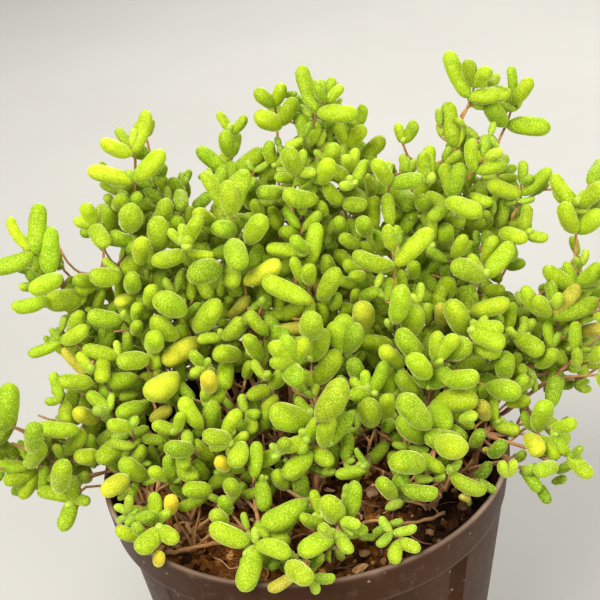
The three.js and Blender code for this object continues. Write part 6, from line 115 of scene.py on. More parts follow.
     [[-406,-141,1465,-483,-159,1519,112,0],[-406,-141,1465,-384,-162,1550,104,0],[-381,-128,1461,-375,-208,1447,105,0],[-358,-231,1453,-429,-312,1526,159,0],[-392,-193,1420,-393,-287,1423,121,0],[-394,-85,1270,-339,-136,1348,121,0],[-302,-159,1355,-356,-172,1447,120,0],[-329,-119,1455,-380,-121,1582,145,0],[-316,-48,1402,-288,-99,1535,162,0],[-300,-28,1366,-252,-57,1428,98,0],[-236,-227,1468,-306,-310,1549,166,0],[-236,-227,1468,-298,-287,1487,110,0],[-256,-142,1429,-197,-156,1532,128,0],[-224,-150,1390,-184,-197,1464,112,0],[-200,-207,1434,-221,-339,1450,175,0],[-424,-159,1384,-360,-268,1361,145,0],[-339,-144,1272,-359,-202,1373,136,0],[-312,-295,1330,-398,-350,1383,133,0],[-312,-295,1330,-428,-317,1287,109,0],[-256,-221,1356,-275,-283,1442,127,7],[-196,-78,1270,-239,-160,1383,176,0],[-217,-192,1238,-261,-152,1277,80,2],[-217,-192,1238,-215,-235,1290,80,2],[-219,-192,1243,-218,-213,1287,57,2],[-219,-192,1243,-243,-178,1283,57,2],[-370,-75,1389,-332,-111,1452,93,1],[-344,-116,1252,-388,-184,1244,93,1],[-344,-116,1252,-304,-20,1263,120,1],[-221,-111,1237,-103,-55,1178,164,1],[-392,-193,1420,-381,-124,1404,92,1],[-256,-142,1429,-284,-101,1368,83,1],[-300,-28,1366,-360,-13,1310,97,1],[-333,-181,1263,-245,-212,1342,136,2],[-333,-181,1263,-420,-173,1208,123,1],[-447,-99,1413,-535,-92,1424,98,0],[-447,-99,1413,-468,-99,1481,89,1],[-227,-259,1270,-159,-295,1304,96,2],[-227,-259,1270,-293,-269,1261,86,1],[-252,-222,1342,-206,-185,1321,80,0],[-252,-222,1342,-302,-244,1361,66,1],[-289,-302,1289,-327,-320,1330,64,0],[-289,-302,1289,-245,-296,1273,52,1],[-238,-231,1471,-240,-279,1489,73,8],[-238,-231,1471,-267,-249,1497,66,8],[-409,-144,1469,-427,-139,1501,53,8],[-409,-144,1469,-424,-172,1491,61,8],[-253,-142,1433,-256,-143,1472,56,8],[-253,-142,1433,-216,-151,1452,68,8],[-297,-31,1368,-271,-66,1370,58,8],[-297,-31,1368,-286,-45,1400,51,8]]),
    ([[80,30,[-556,79,1100,-618,82,1247,-635,83,1268,-712,88,1287,-732,102,1284,-768,146,1280,-777,147,1280,-789,120,1290,-801,97,1317,-815,92,1344,-823,97,1374]],[37,30,[-818,92,1352,-878,151,1307,-894,149,1306,-929,101,1330,-942,94,1332,-957,95,1329,-1007,124,1301,-1022,129,1295,-1035,125,1294,-1046,113,1301,-1055,92,1318,-1070,41,1362]],[40,30,[-807,93,1327,-807,104,1387,-805,126,1427,-799,117,1471]],[37,30,[-808,99,1364,-814,169,1402,-819,209,1403,-820,244,1392,-813,284,1375,-800,320,1359,-783,332,1359,-763,310,1383,-741,265,1422,-732,222,1454,-752,199,1461,-791,205,1444,-815,231,1423,-795,233,1431,-744,172,1485,-685,63,1567]],[52,30,[-732,102,1284,-743,118,1271,-755,135,1266,-892,301,1266]],[37,30,[-851,253,1266,-867,318,1266,-875,317,1266,-909,335,1266,-965,381,1266]],[42,30,[-749,126,1266,-771,130,1266,-816,190,1266,-828,196,1266,-836,181,1266,-850,98,1266,-858,87,1266,-869,86,1266,-894,103,1266,-906,105,1266,-915,94,1269,-929,48,1290]],[42,30,[-767,153,1266,-765,171,1268,-764,178,1274,-769,220,1347,-784,225,1373,-811,224,1407]],[37,30,[-764,179,1274,-826,431,1280,-810,319,1284,-798,249,1295]],[37,30,[-844,118,1266,-918,130,1266,-1015,112,1266]],[37,30,[-784,143,1266,-813,150,1266,-848,188,1273,-860,189,1279,-875,151,1311]],[37,30,[-788,179,1266,-837,215,1266,-917,248,1266,-945,252,1266]],[37,30,[-763,196,1301,-746,221,1292,-734,271,1280,-726,284,1280,-715,281,1280,-690,261,1285,-659,270,1288,-654,267,1296,-659,261,1312,-682,256,1346]],[37,30,[-749,126,1266,-746,137,1284,-749,139,1296,-776,119,1328]],[37,30,[-677,84,1279,-724,71,1267,-816,50,1266]],[37,30,[-651,83,1273,-630,138,1266,-631,143,1269,-639,145,1280,-661,145,1310]],[32,28,[-1015,112,1266,-1018,103,1269,-1020,99,1280]],[32,28,[-650,145,1295,-668,156,1312]],[32,28,[-749,64,1266,-728,128,1266]],[32,28,[-788,55,1266,-874,49,1266]],[32,28,[-816,50,1266,-877,48,1266]]],
     [[-685,63,1567,-789,12,1620,147,0],[-805,90,1501,-828,135,1585,99,0],[-805,90,1501,-855,51,1521,91,0],[-799,117,1471,-787,8,1463,134,0],[-931,349,1199,-991,376,1111,117,2],[-864,299,1188,-798,437,1168,132,2],[-864,299,1188,-1000,234,1204,132,2],[-970,386,1209,-1012,404,1209,55,2],[-970,386,1209,-981,430,1205,55,2],[-1015,112,1224,-1065,175,1239,92,2],[-958,105,1220,-1030,104,1335,128,2],[-958,105,1220,-1054,110,1120,128,2],[-888,100,1217,-944,238,1205,171,2],[-888,100,1217,-955,-28,1251,171,2],[-1021,113,1226,-1067,99,1236,59,2],[-1021,113,1226,-1059,142,1237,59,2],[-1070,41,1362,-1080,-18,1391,88,2],[-1070,41,1362,-1122,67,1397,88,2],[-1032,64,1331,-1131,19,1295,142,2],[-1074,39,1366,-1114,16,1373,56,2],[-1074,39,1366,-1091,25,1407,56,2],[-945,252,1165,-973,298,1107,87,2],[-828,202,1188,-937,199,1308,163,2],[-828,202,1188,-812,263,1033,163,2],[-950,254,1164,-988,276,1137,60,2],[-950,254,1164,-999,257,1176,60,2],[-875,151,1311,-955,166,1304,82,2],[-875,151,1311,-870,151,1387,82,2],[-879,152,1315,-902,180,1348,58,2],[-879,152,1315,-912,138,1348,58,2],[-776,119,1328,-792,58,1338,76,2],[-776,119,1328,-813,141,1370,76,2],[-743,139,1295,-719,107,1407,125,2],[-743,139,1295,-850,142,1268,125,2],[-780,117,1332,-819,108,1348,51,2],[-780,117,1332,-789,100,1371,51,2],[-682,256,1346,-755,265,1354,78,2],[-682,256,1346,-680,246,1425,78,2],[-645,251,1302,-699,149,1325,136,2],[-687,255,1350,-717,271,1379,54,2],[-687,255,1350,-718,232,1372,54,2],[-892,301,1245,-937,268,1281,74,2],[-892,301,1245,-883,353,1277,74,2],[-895,303,1250,-924,300,1280,51,2],[-798,249,1295,-865,280,1292,69,2],[-798,249,1295,-813,222,1354,69,2],[-802,249,1299,-816,238,1338,51,2],[-802,249,1299,-840,258,1317,51,2],[-811,224,1407,-871,283,1432,81,2],[-811,224,1407,-833,172,1466,81,2],[-815,224,1411,-836,231,1458,61,2],[-815,224,1411,-860,206,1428,61,2],[-816,50,1229,-819,11,1299,76,2],[-774,58,1196,-851,-11,1173,130,2],[-821,48,1232,-853,56,1263,55,2],[-821,48,1232,-860,25,1237,55,2],[-661,145,1310,-673,114,1360,77,2],[-628,145,1265,-733,100,1260,115,2],[-628,145,1265,-591,211,1363,115,2],[-664,146,1315,-669,159,1355,51,2],[-929,48,1290,-985,9,1297,68,2],[-929,48,1290,-937,69,1356,68,2],[-934,47,1293,-974,60,1306,52,2],[-934,47,1293,-957,32,1327,52,2],[-978,122,1471,-1056,65,1365,164,1],[-877,88,1346,-923,-28,1340,142,1],[-805,106,1408,-776,205,1467,136,1],[-701,222,1303,-720,318,1240,134,1],[-734,68,1252,-739,131,1199,93,1],[-1020,99,1280,-1081,122,1365,135,2],[-668,156,1312,-761,151,1350,135,2],[-668,156,1312,-689,231,1348,122,1],[-728,128,1241,-734,200,1326,135,2],[-874,49,1223,-838,90,1313,135,2],[-874,49,1223,-847,50,1137,122,1],[-877,48,1186,-766,70,1219,135,2]]),
    ([[76,30,[-317,44,1100,-359,82,1208,-373,101,1246,-378,112,1252,-383,131,1252,-401,213,1239,-404,217,1250,-408,191,1296,-413,186,1313,-436,231,1327,-442,228,1344,-460,189,1409,-474,188,1435,-487,198,1453,-493,212,1457,-508,255,1456,-512,266,1463,-514,261,1479,-515,232,1522,-517,234,1533,-523,260,1531,-552,435,1468,-560,478,1457,-564,494,1460,-564,481,1480,-556,359,1582,-559,342,1601,-571,343,1618,-574,322,1638,-575,239,1699]],[37,30,[-564,481,1480,-525,263,1671]],[37,30,[-523,260,1531,-567,232,1573]],[42,30,[-514,245,1501,-490,224,1527,-484,223,1531,-477,231,1538,-478,219,1555,-480,153,1617]],[37,30,[-490,224,1527,-492,227,1555,-493,208,1594]],[37,30,[-477,231,1538,-488,231,1541,-508,243,1540,-492,104,1615]],[37,30,[-487,198,1453,-501,198,1460,-529,247,1441,-537,252,1442,-542,239,1453,-546,162,1507]],[37,30,[-467,188,1423,-458,158,1457,-432,122,1498,-423,119,1509,-416,128,1511,-412,128,1516,-398,73,1557]],[42,30,[-467,188,1423,-487,185,1426,-498,191,1422,-536,241,1393,-545,231,1399,-556,160,1443]],[40,30,[-498,191,1422,-511,140,1437,-523,139,1427,-526,132,1428,-526,51,1467]],[37,30,[-448,213,1367,-416,197,1419,-414,192,1431,-446,174,1474]],[37,30,[-515,138,1434,-494,86,1424,-513,32,1413]],[37,30,[-408,191,1296,-412,71,1435]],[37,30,[-369,95,1238,-393,21,1289]],[32,28,[-559,342,1601,-624,322,1612]]],
     [[-525,263,1671,-508,217,1765,126,0],[-575,239,1699,-677,181,1764,159,0],[-575,239,1699,-560,219,1744,67,0],[-567,232,1573,-564,225,1658,102,0],[-492,104,1615,-580,11,1666,174,0],[-546,162,1507,-642,88,1549,151,0],[-556,160,1443,-613,112,1465,102,0],[-398,73,1557,-500,-49,1567,230,3],[-526,51,1467,-609,-37,1492,149,0],[-480,153,1617,-451,68,1724,166,0],[-493,208,1594,-471,98,1576,134,0],[-513,32,1413,-432,-1,1472,116,4],[-393,21,1289,-443,0,1308,67,2],[-393,21,1289,-379,17,1346,67,2],[-395,19,1295,-391,13,1336,50,2],[-395,19,1295,-424,6,1321,50,2],[-446,174,1474,-495,224,1487,85,2],[-446,174,1474,-476,123,1523,85,2],[-408,179,1439,-491,136,1420,130,2],[-408,179,1439,-398,196,1531,130,2],[-451,172,1478,-470,170,1518,53,2],[-451,172,1478,-492,159,1487,53,2],[-412,71,1435,-477,98,1467,84,2],[-412,71,1435,-410,41,1497,84,2],[-415,71,1440,-421,58,1490,61,2],[-415,71,1440,-453,87,1472,61,2],[-536,234,1642,-516,167,1720,119,1],[-362,86,1219,-449,77,1222,99,1],[-515,102,1453,-600,54,1392,131,1],[-406,106,1377,-454,32,1358,103,1],[-525,263,1671,-525,305,1631,70,1],[-567,232,1573,-588,253,1503,91,1],[-624,322,1612,-700,353,1660,135,2],[-624,322,1612,-678,280,1568,122,1]]),
    ([[59,30,[-406,-170,1100,-523,-217,1288,-539,-203,1294,-557,-174,1288,-564,-167,1291,-570,-175,1304,-584,-247,1389]],[40,30,[-511,-215,1271,-526,-179,1295,-544,-135,1314,-565,-59,1311,-568,-40,1318,-568,-33,1335,-566,-40,1363,-563,-62,1401,-554,-132,1495]],[37,30,[-511,-215,1271,-498,-219,1298,-488,-203,1311,-470,-247,1365]],[37,30,[-526,-179,1295,-551,-180,1308,-561,-190,1325]],[37,30,[-511,-215,1271,-520,-190,1306,-525,-182,1326]],[29,30,[-498,-219,1298,-468,-209,1309,-451,-213,1318]],[30,30,[-557,-174,1288,-561,-175,1291,-566,-171,1290,-577,-158,1283,-582,-183,1303,-583,-259,1358]],[29,30,[-498,-219,1298,-490,-197,1328]]],
     [[-554,-132,1495,-614,-197,1562,136,0],[-554,-132,1495,-530,-165,1553,88,0],[-552,-133,1424,-635,-122,1444,88,0],[-584,-247,1389,-649,-351,1404,158,3],[-561,-190,1325,-596,-224,1261,88,0],[-525,-182,1326,-594,-228,1437,159,0],[-470,-247,1365,-492,-301,1443,118,0],[-489,-205,1236,-586,-236,1203,123,1],[-451,-213,1318,-444,-206,1424,123,0],[-451,-213,1318,-407,-184,1236,100,1],[-583,-259,1358,-618,-279,1321,69,0],[-583,-259,1358,-577,-249,1400,56,1],[-490,-197,1328,-545,-200,1321,66,2],[-490,-197,1328,-443,-209,1315,53,1],[-447,-212,1321,-415,-196,1342,67,8],[-447,-212,1321,-413,-222,1334,51,8]]),
    ([[73,30,[-505,257,1100,-510,341,1282,-650,504,1455,-691,552,1527,-729,567,1576]],[40,30,[-650,504,1455,-744,454,1491,-762,452,1497,-780,457,1500,-812,398,1547]],[37,30,[-713,471,1478,-821,473,1448,-831,475,1448,-864,495,1471]],[37,30,[-632,483,1431,-698,553,1448,-707,564,1454,-760,663,1537]],[37,30,[-592,438,1382,-746,547,1372,-768,572,1382,-790,607,1404]],[40,30,[-612,461,1407,-696,446,1474,-722,467,1508]],[37,30,[-612,461,1407,-599,496,1470,-615,515,1517]],[37,30,[-668,450,1451,-676,416,1460,-696,348,1463]],[40,30,[-551,390,1333,-667,378,1338,-694,388,1331,-723,410,1317,-736,408,1319,-755,377,1336,-777,359,1347]],[37,30,[-629,381,1337,-683,402,1374]],[40,30,[-507,325,1251,-513,324,1267,-535,330,1272,-614,360,1266,-745,412,1266,-778,434,1266,-812,466,1266]],[37,30,[-563,341,1271,-651,485,1266,-747,589,1269]],[26,30,[-729,567,1576,-736,562,1584,-738,521,1607]],[26,30,[-722,467,1508,-706,422,1528]],[32,28,[-802,473,1454,-804,447,1464]]],
     [[-790,607,1404,-874,638,1402,90,2],[-790,607,1404,-757,660,1475,90,2],[-757,554,1371,-822,541,1493,169,2],[-757,554,1371,-784,682,1294,169,2],[-794,611,1407,-821,660,1411,67,2],[-794,611,1407,-828,627,1448,67,2],[-747,589,1269,-776,673,1240,90,2],[-710,548,1261,-813,553,1220,166,2],[-710,548,1261,-714,638,1348,166,2],[-646,483,1246,-726,455,1378,151,2],[-646,483,1246,-630,581,1131,151,2],[-751,594,1270,-772,641,1259,63,2],[-751,594,1270,-793,617,1294,63,2],[-760,663,1537,-742,742,1520,89,2],[-760,663,1537,-820,658,1594,89,2],[-743,624,1506,-693,674,1619,137,2],[-706,561,1450,-793,540,1546,161,2],[-706,561,1450,-674,687,1427,161,2],[-763,667,1541,-769,716,1557,62,2],[-763,667,1541,-794,684,1579,62,2],[-812,466,1230,-891,456,1220,91,2],[-812,466,1230,-814,538,1254,91,2],[-760,417,1220,-820,435,1352,171,2],[-760,417,1220,-820,512,1127,171,2],[-864,495,1471,-901,568,1468,74,2],[-864,495,1471,-903,486,1538,74,2],[-868,497,1475,-880,517,1516,56,2],[-868,497,1475,-911,512,1488,56,2],[-683,402,1374,-760,408,1376,87,2],[-683,402,1374,-684,422,1449,87,2],[-687,404,1378,-702,422,1423,61,2],[-687,404,1378,-735,413,1393,61,2],[-722,467,1508,-791,479,1524,82,2],[-722,467,1508,-699,511,1569,82,2],[-696,443,1473,-765,386,1569,148,2],[-726,470,1513,-748,509,1532,58,2],[-726,470,1513,-752,471,1553,58,2],[-777,359,1347,-788,421,1388,86,2],[-777,359,1347,-833,334,1386,86,2],[-781,361,1351,-816,352,1382,56,2],[-781,361,1351,-803,393,1378,56,2],[-812,398,1547,-846,460,1580,79,2],[-812,398,1547,-840,346,1596,79,2],[-816,399,1552,-839,383,1584,51,2],[-816,399,1552,-838,421,1582,51,2],[-696,348,1463,-773,370,1475,91,2],[-700,350,1468,-710,351,1514,57,2],[-700,350,1468,-739,369,1488,57,2],[-615,515,1517,-668,563,1541,80,2],[-615,515,1517,-604,495,1583,80,2],[-596,495,1468,-704,485,1527,145,2],[-616,518,1522,-606,551,1557,59,2],[-616,518,1522,-645,530,1560,59,2],[-729,567,1576,-768,627,1589,73,2],[-729,567,1576,-769,545,1631,73,2],[-733,567,1581,-745,569,1625,55,2],[-733,567,1581,-775,562,1598,55,2],[-566,408,1351,-557,417,1460,125,1],[-510,342,1284,-494,443,1262,119,1],[-766,436,1508,-841,419,1479,94,1],[-699,514,1375,-720,513,1458,98,1],[-681,400,1461,-587,340,1487,131,1],[-714,369,1342,-749,441,1325,93,1],[-605,384,1336,-643,401,1247,112,1],[-704,395,1238,-744,414,1135,129,1],[-606,357,1267,-687,269,1302,142,1],[-618,435,1256,-655,419,1147,132,1],[-738,521,1607,-704,548,1705,125,2],[-738,521,1607,-772,492,1536,109,1],[-706,422,1528,-608,370,1518,125,2],[-706,422,1528,-749,365,1575,114,1],[-804,447,1464,-877,461,1548,135,2],[-804,447,1464,-739,446,1394,122,1]]),
    ([[66,30,[-346,152,1100,-401,225,1229,-464,277,1351,-487,299,1390,-493,310,1396,-500,329,1397,-515,381,1391,-521,394,1396,-525,388,1412,-528,349,1459,-531,339,1477,-535,339,1489,-540,350,1495,-562,416,1493,-566,419,1503,-565,350,1565]],[37,30,[-500,329,1397,-490,394,1403,-485,404,1420,-482,434,1435,-491,445,1477]],[40,30,[-464,277,1351,-526,289,1361,-567,305,1363,-580,305,1370,-606,280,1435]],[37,30,[-464,277,1351,-443,296,1409,-453,305,1458]],[37,30,[-539,293,1363,-567,282,1321]],[37,30,[-448,263,1320,-490,218,1369]],[37,30,[-388,210,1201,-330,243,1280,-326,246,1292,-335,249,1336]],[37,30,[-388,210,1201,-389,204,1219,-393,209,1232,-411,187,1287]],[28,30,[-580,305,1370,-603,311,1376,-646,309,1392]],[32,28,[-567,394,1528,-636,385,1538]],[32,28,[-549,290,1349,-547,266,1356]]],
     [[-567,282,1321,-646,285,1330,87,2],[-567,282,1321,-555,263,1388,87,2],[-571,282,1326,-579,274,1374,59,2],[-571,282,1326,-615,280,1349,59,2],[-606,280,1435,-667,306,1452,89,2],[-606,280,1435,-593,260,1491,89,2],[-577,281,1381,-649,197,1428,126,2],[-577,281,1381,-583,379,1451,126,2],[-609,280,1440,-622,297,1482,56,2],[-609,280,1440,-637,258,1472,56,2],[-453,305,1458,-486,362,1497,89,2],[-453,305,1458,-434,256,1523,89,2],[-441,296,1407,-551,241,1461,127,2],[-441,296,1407,-369,352,1494,127,2],[-454,306,1464,-451,326,1508,58,2],[-454,306,1464,-483,297,1502,58,2],[-411,187,1287,-428,133,1332,82,2],[-411,187,1287,-434,232,1331,82,2],[-390,192,1241,-301,178,1348,134,2],[-390,192,1241,-522,197,1267,134,2],[-412,186,1293,-402,179,1341,60,2],[-491,445,1477,-525,487,1500,70,2],[-491,445,1477,-475,430,1534,70,2],[-480,431,1435,-572,393,1501,110,2],[-480,431,1435,-397,500,1490,110,2],[-493,447,1482,-488,472,1517,51,2],[-493,447,1482,-518,449,1516,51,2],[-565,350,1565,-607,407,1593,74,2],[-565,350,1565,-584,301,1611,74,2],[-568,349,1569,-588,325,1604,56,2],[-568,349,1569,-597,366,1603,56,2],[-490,218,1369,-522,291,1376,79,2],[-490,218,1369,-530,197,1430,79,2],[-494,221,1373,-528,225,1407,59,2],[-494,221,1373,-516,262,1387,59,2],[-335,249,1336,-332,303,1389,75,2],[-323,247,1290,-262,202,1370,111,2],[-323,247,1290,-425,259,1316,111,2],[-336,249,1342,-324,244,1383,52,2],[-541,334,1510,-611,257,1586,148,1],[-503,309,1425,-563,360,1387,99,1],[-417,239,1261,-382,208,1320,86,1],[-484,368,1427,-532,416,1335,131,1],[-646,309,1392,-668,257,1299,125,2],[-646,309,1392,-626,361,1458,117,1],[-636,385,1538,-620,405,1635,135,2],[-636,385,1538,-624,402,1455,122,1],[-547,266,1356,-560,278,1449,135,2],[-547,266,1356,-536,279,1277,122,1]]),
    ([[82,30,[401,225,1100,487,282,1228,559,331,1324,675,453,1526,704,477,1568,764,495,1628,812,511,1715,824,529,1724,839,566,1723,844,575,1728,846,539,1777,852,533,1794,870,540,1820,878,543,1845,880,541,1873,878,529,1907]],[40,30,[824,529,1724,800,577,1718,785,583,1736,779,593,1742,778,624,1739,788,783,1696,781,783,1707,737,635,1805,728,619,1822,721,616,1833,711,596,1852,697,550,1882]],[37,30,[808,509,1707,827,615,1769]],[37,30,[728,619,1822,689,567,1841,619,442,1912,599,421,1926,584,373,1950]],[40,30,[781,500,1655,856,429,1754]],[37,30,[837,448,1730,808,411,1765,798,404,1775,796,441,1764,801,517,1733,810,442,1766,825,374,1792,843,323,1810]],[44,30,[795,505,1681,798,528,1716,796,519,1744]],[42,30,[796,519,1744,788,585,1719,779,598,1716,769,599,1719,734,574,1742,723,571,1747,704,580,1751,691,564,1762,675,528,1783]],[40,30,[714,577,1748,699,591,1741,662,658,1706,648,656,1708,631,630,1720,579,519,1770,549,465,1776,533,418,1773]],[37,30,[631,630,1720,625,614,1715,622,610,1705,620,621,1687,617,622,1674,608,580,1683,593,494,1712]],[46,30,[712,482,1577,796,438,1633]],[44,30,[768,452,1614,729,365,1694]],[42,30,[739,387,1674,718,351,1689,699,321,1712]],[40,30,[699,321,1712,664,325,1722,630,335,1730,593,329,1745]],[37,30,[630,335,1730,630,520,1633,617,500,1643,579,359,1717]],[37,30,[688,466,1547,699,525,1529,687,473,1590,683,468,1606,676,481,1636]],[40,30,[650,427,1484,670,416,1514,694,434,1528,701,428,1538,706,378,1582]],[37,30,[670,416,1514,666,436,1511,664,476,1498,665,577,1459,660,596,1458,650,584,1473,606,441,1576,595,414,1599,577,397,1625]],[29,30,[579,519,1770,601,640,1724,610,680,1711,614,684,1715,600,482,1836]],[30,30,[787,741,1705,806,823,1676,809,828,1679,773,554,1833]],[29,30,[870,540,1820,858,505,1853]],[30,30,[787,741,1705,768,510,1807]],[29,30,[870,540,1820,908,528,1851,927,518,1865]],[27,30,[880,543,1858,912,558,1857,952,560,1860,960,548,1866,979,460,1904]],[28,30,[739,387,1674,695,398,1746]],[29,30,[814,545,1728,809,561,1745]],[32,28,[579,519,1770,559,547,1787]],[32,28,[778,639,1752,785,658,1771]],[32,28,[787,741,1705,775,706,1713]],[32,28,[746,584,1734,742,608,1745]],[32,28,[593,494,1712,593,472,1758]],[32,28,[796,514,1700,730,500,1714]],[32,28,[800,483,1680,841,499,1687]],[32,28,[585,402,1614,553,434,1622,521,466,1622]]],
     [[878,529,1907,895,568,1982,96,0],[878,529,1907,909,488,1952,96,0],[876,520,1869,984,519,1960,157,0],[876,520,1869,754,478,1952,157,0],[533,418,1773,542,425,1859,104,0],[593,494,1712,585,413,1831,175,0],[579,359,1717,511,388,1770,103,0],[577,397,1625,574,378,1707,105,0],[584,373,1950,686,266,1936,176,0],[697,550,1882,762,475,1871,122,0],[675,528,1783,722,443,1816,132,0],[796,519,1744,820,572,1845,123,0],[843,323,1810,869,371,1900,110,0],[843,323,1810,916,273,1808,110,0],[766,356,1815,834,249,1823,153,0],[729,365,1694,723,392,1808,129,0],[699,321,1712,733,294,1829,145,0],[593,329,1745,634,306,1840,127,0],[593,329,1745,664,346,1794,102,0],[796,438,1633,852,372,1671,123,0],[706,378,1582,765,308,1606,122,0],[676,481,1636,754,502,1632,90,2],[676,481,1636,687,532,1701,90,2],[680,484,1639,693,512,1680,61,2],[680,484,1639,726,505,1649,61,2],[827,615,1769,833,684,1792,84,2],[830,617,1774,858,608,1809,54,2],[830,617,1774,852,648,1800,54,2],[856,429,1754,891,492,1783,88,2],[856,429,1754,878,397,1818,88,2],[859,431,1759,885,422,1797,56,2],[859,431,1759,883,462,1785,56,2],[598,371,1393,545,388,1478,116,1],[550,324,1311,589,248,1340,103,1],[550,324,1311,523,382,1307,73,1],[727,552,1837,766,652,1859,126,1],[778,544,1754,673,581,1725,132,1],[817,557,1736,733,643,1708,141,1],[616,422,1921,519,364,1883,136,1],[671,501,1873,708,402,1847,124,1],[794,392,1782,797,297,1722,129,1],[737,523,1763,742,475,1838,102,1],[555,466,1783,512,497,1857,104,1],[750,413,1651,753,463,1755,133,1],[682,400,1539,819,397,1527,158,1],[619,403,1576,513,347,1584,139,1],[533,418,1773,529,453,1695,102,1],[600,482,1836,653,411,1841,105,2],[600,482,1836,594,537,1879,89,1],[773,554,1833,802,548,1891,72,0],[858,505,1853,923,505,1854,72,0],[858,505,1853,822,534,1836,67,1],[768,510,1807,773,538,1858,72,0],[768,510,1807,755,522,1763,68,1],[927,518,1865,980,534,1895,72,0],[979,460,1904,1005,435,1859,71,0],[979,460,1904,995,469,1949,59,1],[695,398,1746,692,426,1796,71,2],[695,398,1746,651,397,1768,63,1],[809,561,1745,903,558,1738,125,2],[809,561,1745,737,541,1716,106,1],[559,547,1787,539,597,1882,135,2],[559,547,1787,515,625,1765,122,1],[785,658,1771,792,695,1868,135,2],[785,658,1771,809,743,1781,122,1],[775,706,1713,857,718,1782,135,2],[775,706,1713,731,765,1659,122,1],[742,608,1745,849,646,1748,135,2],[742,608,1745,653,642,1755,122,1],[593,472,1758,672,512,1828,135,2],[593,472,1758,507,428,1759,122,1],[730,500,1714,834,545,1733,135,2],[841,499,1687,748,564,1708,135,2],[521,466,1622,599,454,1698,135,2],[521,466,1622,537,420,1544,122,1],[846,321,1812,881,320,1822,54,8],[846,321,1812,862,295,1838,59,8],[531,413,1773,495,389,1777,65,8],[531,413,1773,530,374,1774,59,8]]),
    ([[66,30,[-167,65,1100,-213,147,1273,-232,177,1331,-247,200,1367,-255,207,1388]],[42,30,[-213,147,1273,-120,215,1322,-79,259,1340,-74,269,1346,-67,303,1389]],[37,30,[-151,192,1306,-97,226,1291]],[37,30,[-151,192,1306,-105,158,1322,-99,153,1329,-112,160,1381]],[37,30,[-204,133,1243,-265,82,1308,-290,79,1358]],[37,30,[-188,105,1183,-93,122,1218,-29,126,1241]],[37,30,[-204,133,1243,-175,123,1290,-195,114,1328]],[37,30,[-188,105,1183,-254,94,1177,-264,93,1180,-275,98,1227]]],
     [[-275,98,1227,-261,142,1267,72,2],[-275,98,1227,-297,65,1269,72,2],[-267,92,1176,-376,126,1216,127,2],[-267,92,1176,-191,70,1255,127,2],[-275,98,1233,-262,94,1273,50,2],[-275,98,1233,-296,110,1268,50,2],[-255,207,1388,-328,212,1396,83,2],[-255,207,1388,-227,243,1458,83,2],[-258,210,1392,-260,232,1431,54,2],[-258,210,1392,-295,221,1414,54,2],[-97,226,1291,-142,259,1336,83,2],[-97,226,1297,-82,217,1341,57,2],[-97,226,1297,-115,244,1338,57,2],[-290,79,1358,-345,21,1398,95,2],[-290,79,1358,-294,133,1430,95,2],[-265,80,1306,-185,23,1415,132,2],[-265,80,1306,-383,129,1325,132,2],[-293,80,1363,-331,90,1396,61,2],[-293,80,1363,-293,73,1414,61,2],[-29,126,1241,-47,170,1273,75,2],[-32,126,1246,-55,143,1278,52,2],[-32,126,1246,-52,105,1278,52,2],[-67,303,1389,-3,292,1436,84,2],[-73,268,1343,-117,249,1454,134,2],[-73,268,1343,12,361,1349,134,2],[-66,306,1394,-47,343,1421,59,2],[-66,306,1394,-73,314,1442,59,2],[-195,114,1328,-190,63,1373,80,2],[-172,123,1289,-249,37,1283,128,2],[-172,123,1289,-150,175,1372,128,2],[-198,112,1333,-207,113,1376,53,2],[-198,112,1333,-231,92,1354,53,2],[-112,160,1381,-124,232,1429,77,2],[-112,160,1381,-123,104,1451,77,2],[-114,160,1386,-103,164,1434,59,2],[-114,160,1386,-145,154,1424,59,2],[-229,172,1321,-162,237,1344,111,1],[-170,178,1296,-185,270,1260,115,1]]),
    ([[78,30,[80,2,1100,57,-4,1228,58,-17,1403,58,-14,1436,57,29,1468,58,83,1482,60,207,1453,61,209,1464,61,57,1612,66,-30,1700]],[37,30,[58,20,1462,87,24,1469,101,32,1471,132,78,1477,139,84,1487,153,66,1544,163,70,1571]],[37,30,[58,-7,1444,18,-23,1475,-12,-54,1516,-21,-67,1596,-21,-67,1620,-9,-75,1636,-2,-88,1648]],[42,30,[58,-18,1415,129,-28,1439,186,-45,1459,229,-52,1469,237,-65,1477]],[40,30,[129,-28,1439,207,32,1484]],[37,30,[181,12,1469,209,112,1439,212,120,1441,210,112,1500]],[37,30,[58,-15,1377,73,36,1411,64,135,1436]],[37,30,[58,-15,1377,47,1,1414,35,25,1440]],[37,30,[58,-12,1339,144,-65,1392]],[40,30,[57,-7,1264,49,29,1288,44,91,1317,44,125,1347,44,162,1362,45,221,1363,46,285,1356,47,330,1360,49,333,1374,52,292,1383,55,233,1388,58,189,1399,59,109,1497,58,29,1577]],[37,30,[46,66,1306,-8,80,1307,-20,72,1343]],[37,30,[57,-7,1264,117,35,1325,134,40,1377]],[40,30,[62,-2,1193,133,28,1195,211,85,1222,227,92,1241,242,94,1271]],[37,30,[62,-2,1193,37,23,1234]],[37,30,[133,28,1195,130,78,1193,130,85,1197,143,77,1243]],[42,30,[58,-7,1444,44,-3,1459,26,-17,1485]],[42,30,[58,-18,1415,49,-18,1460]],[30,30,[192,50,1458,176,70,1497]]],
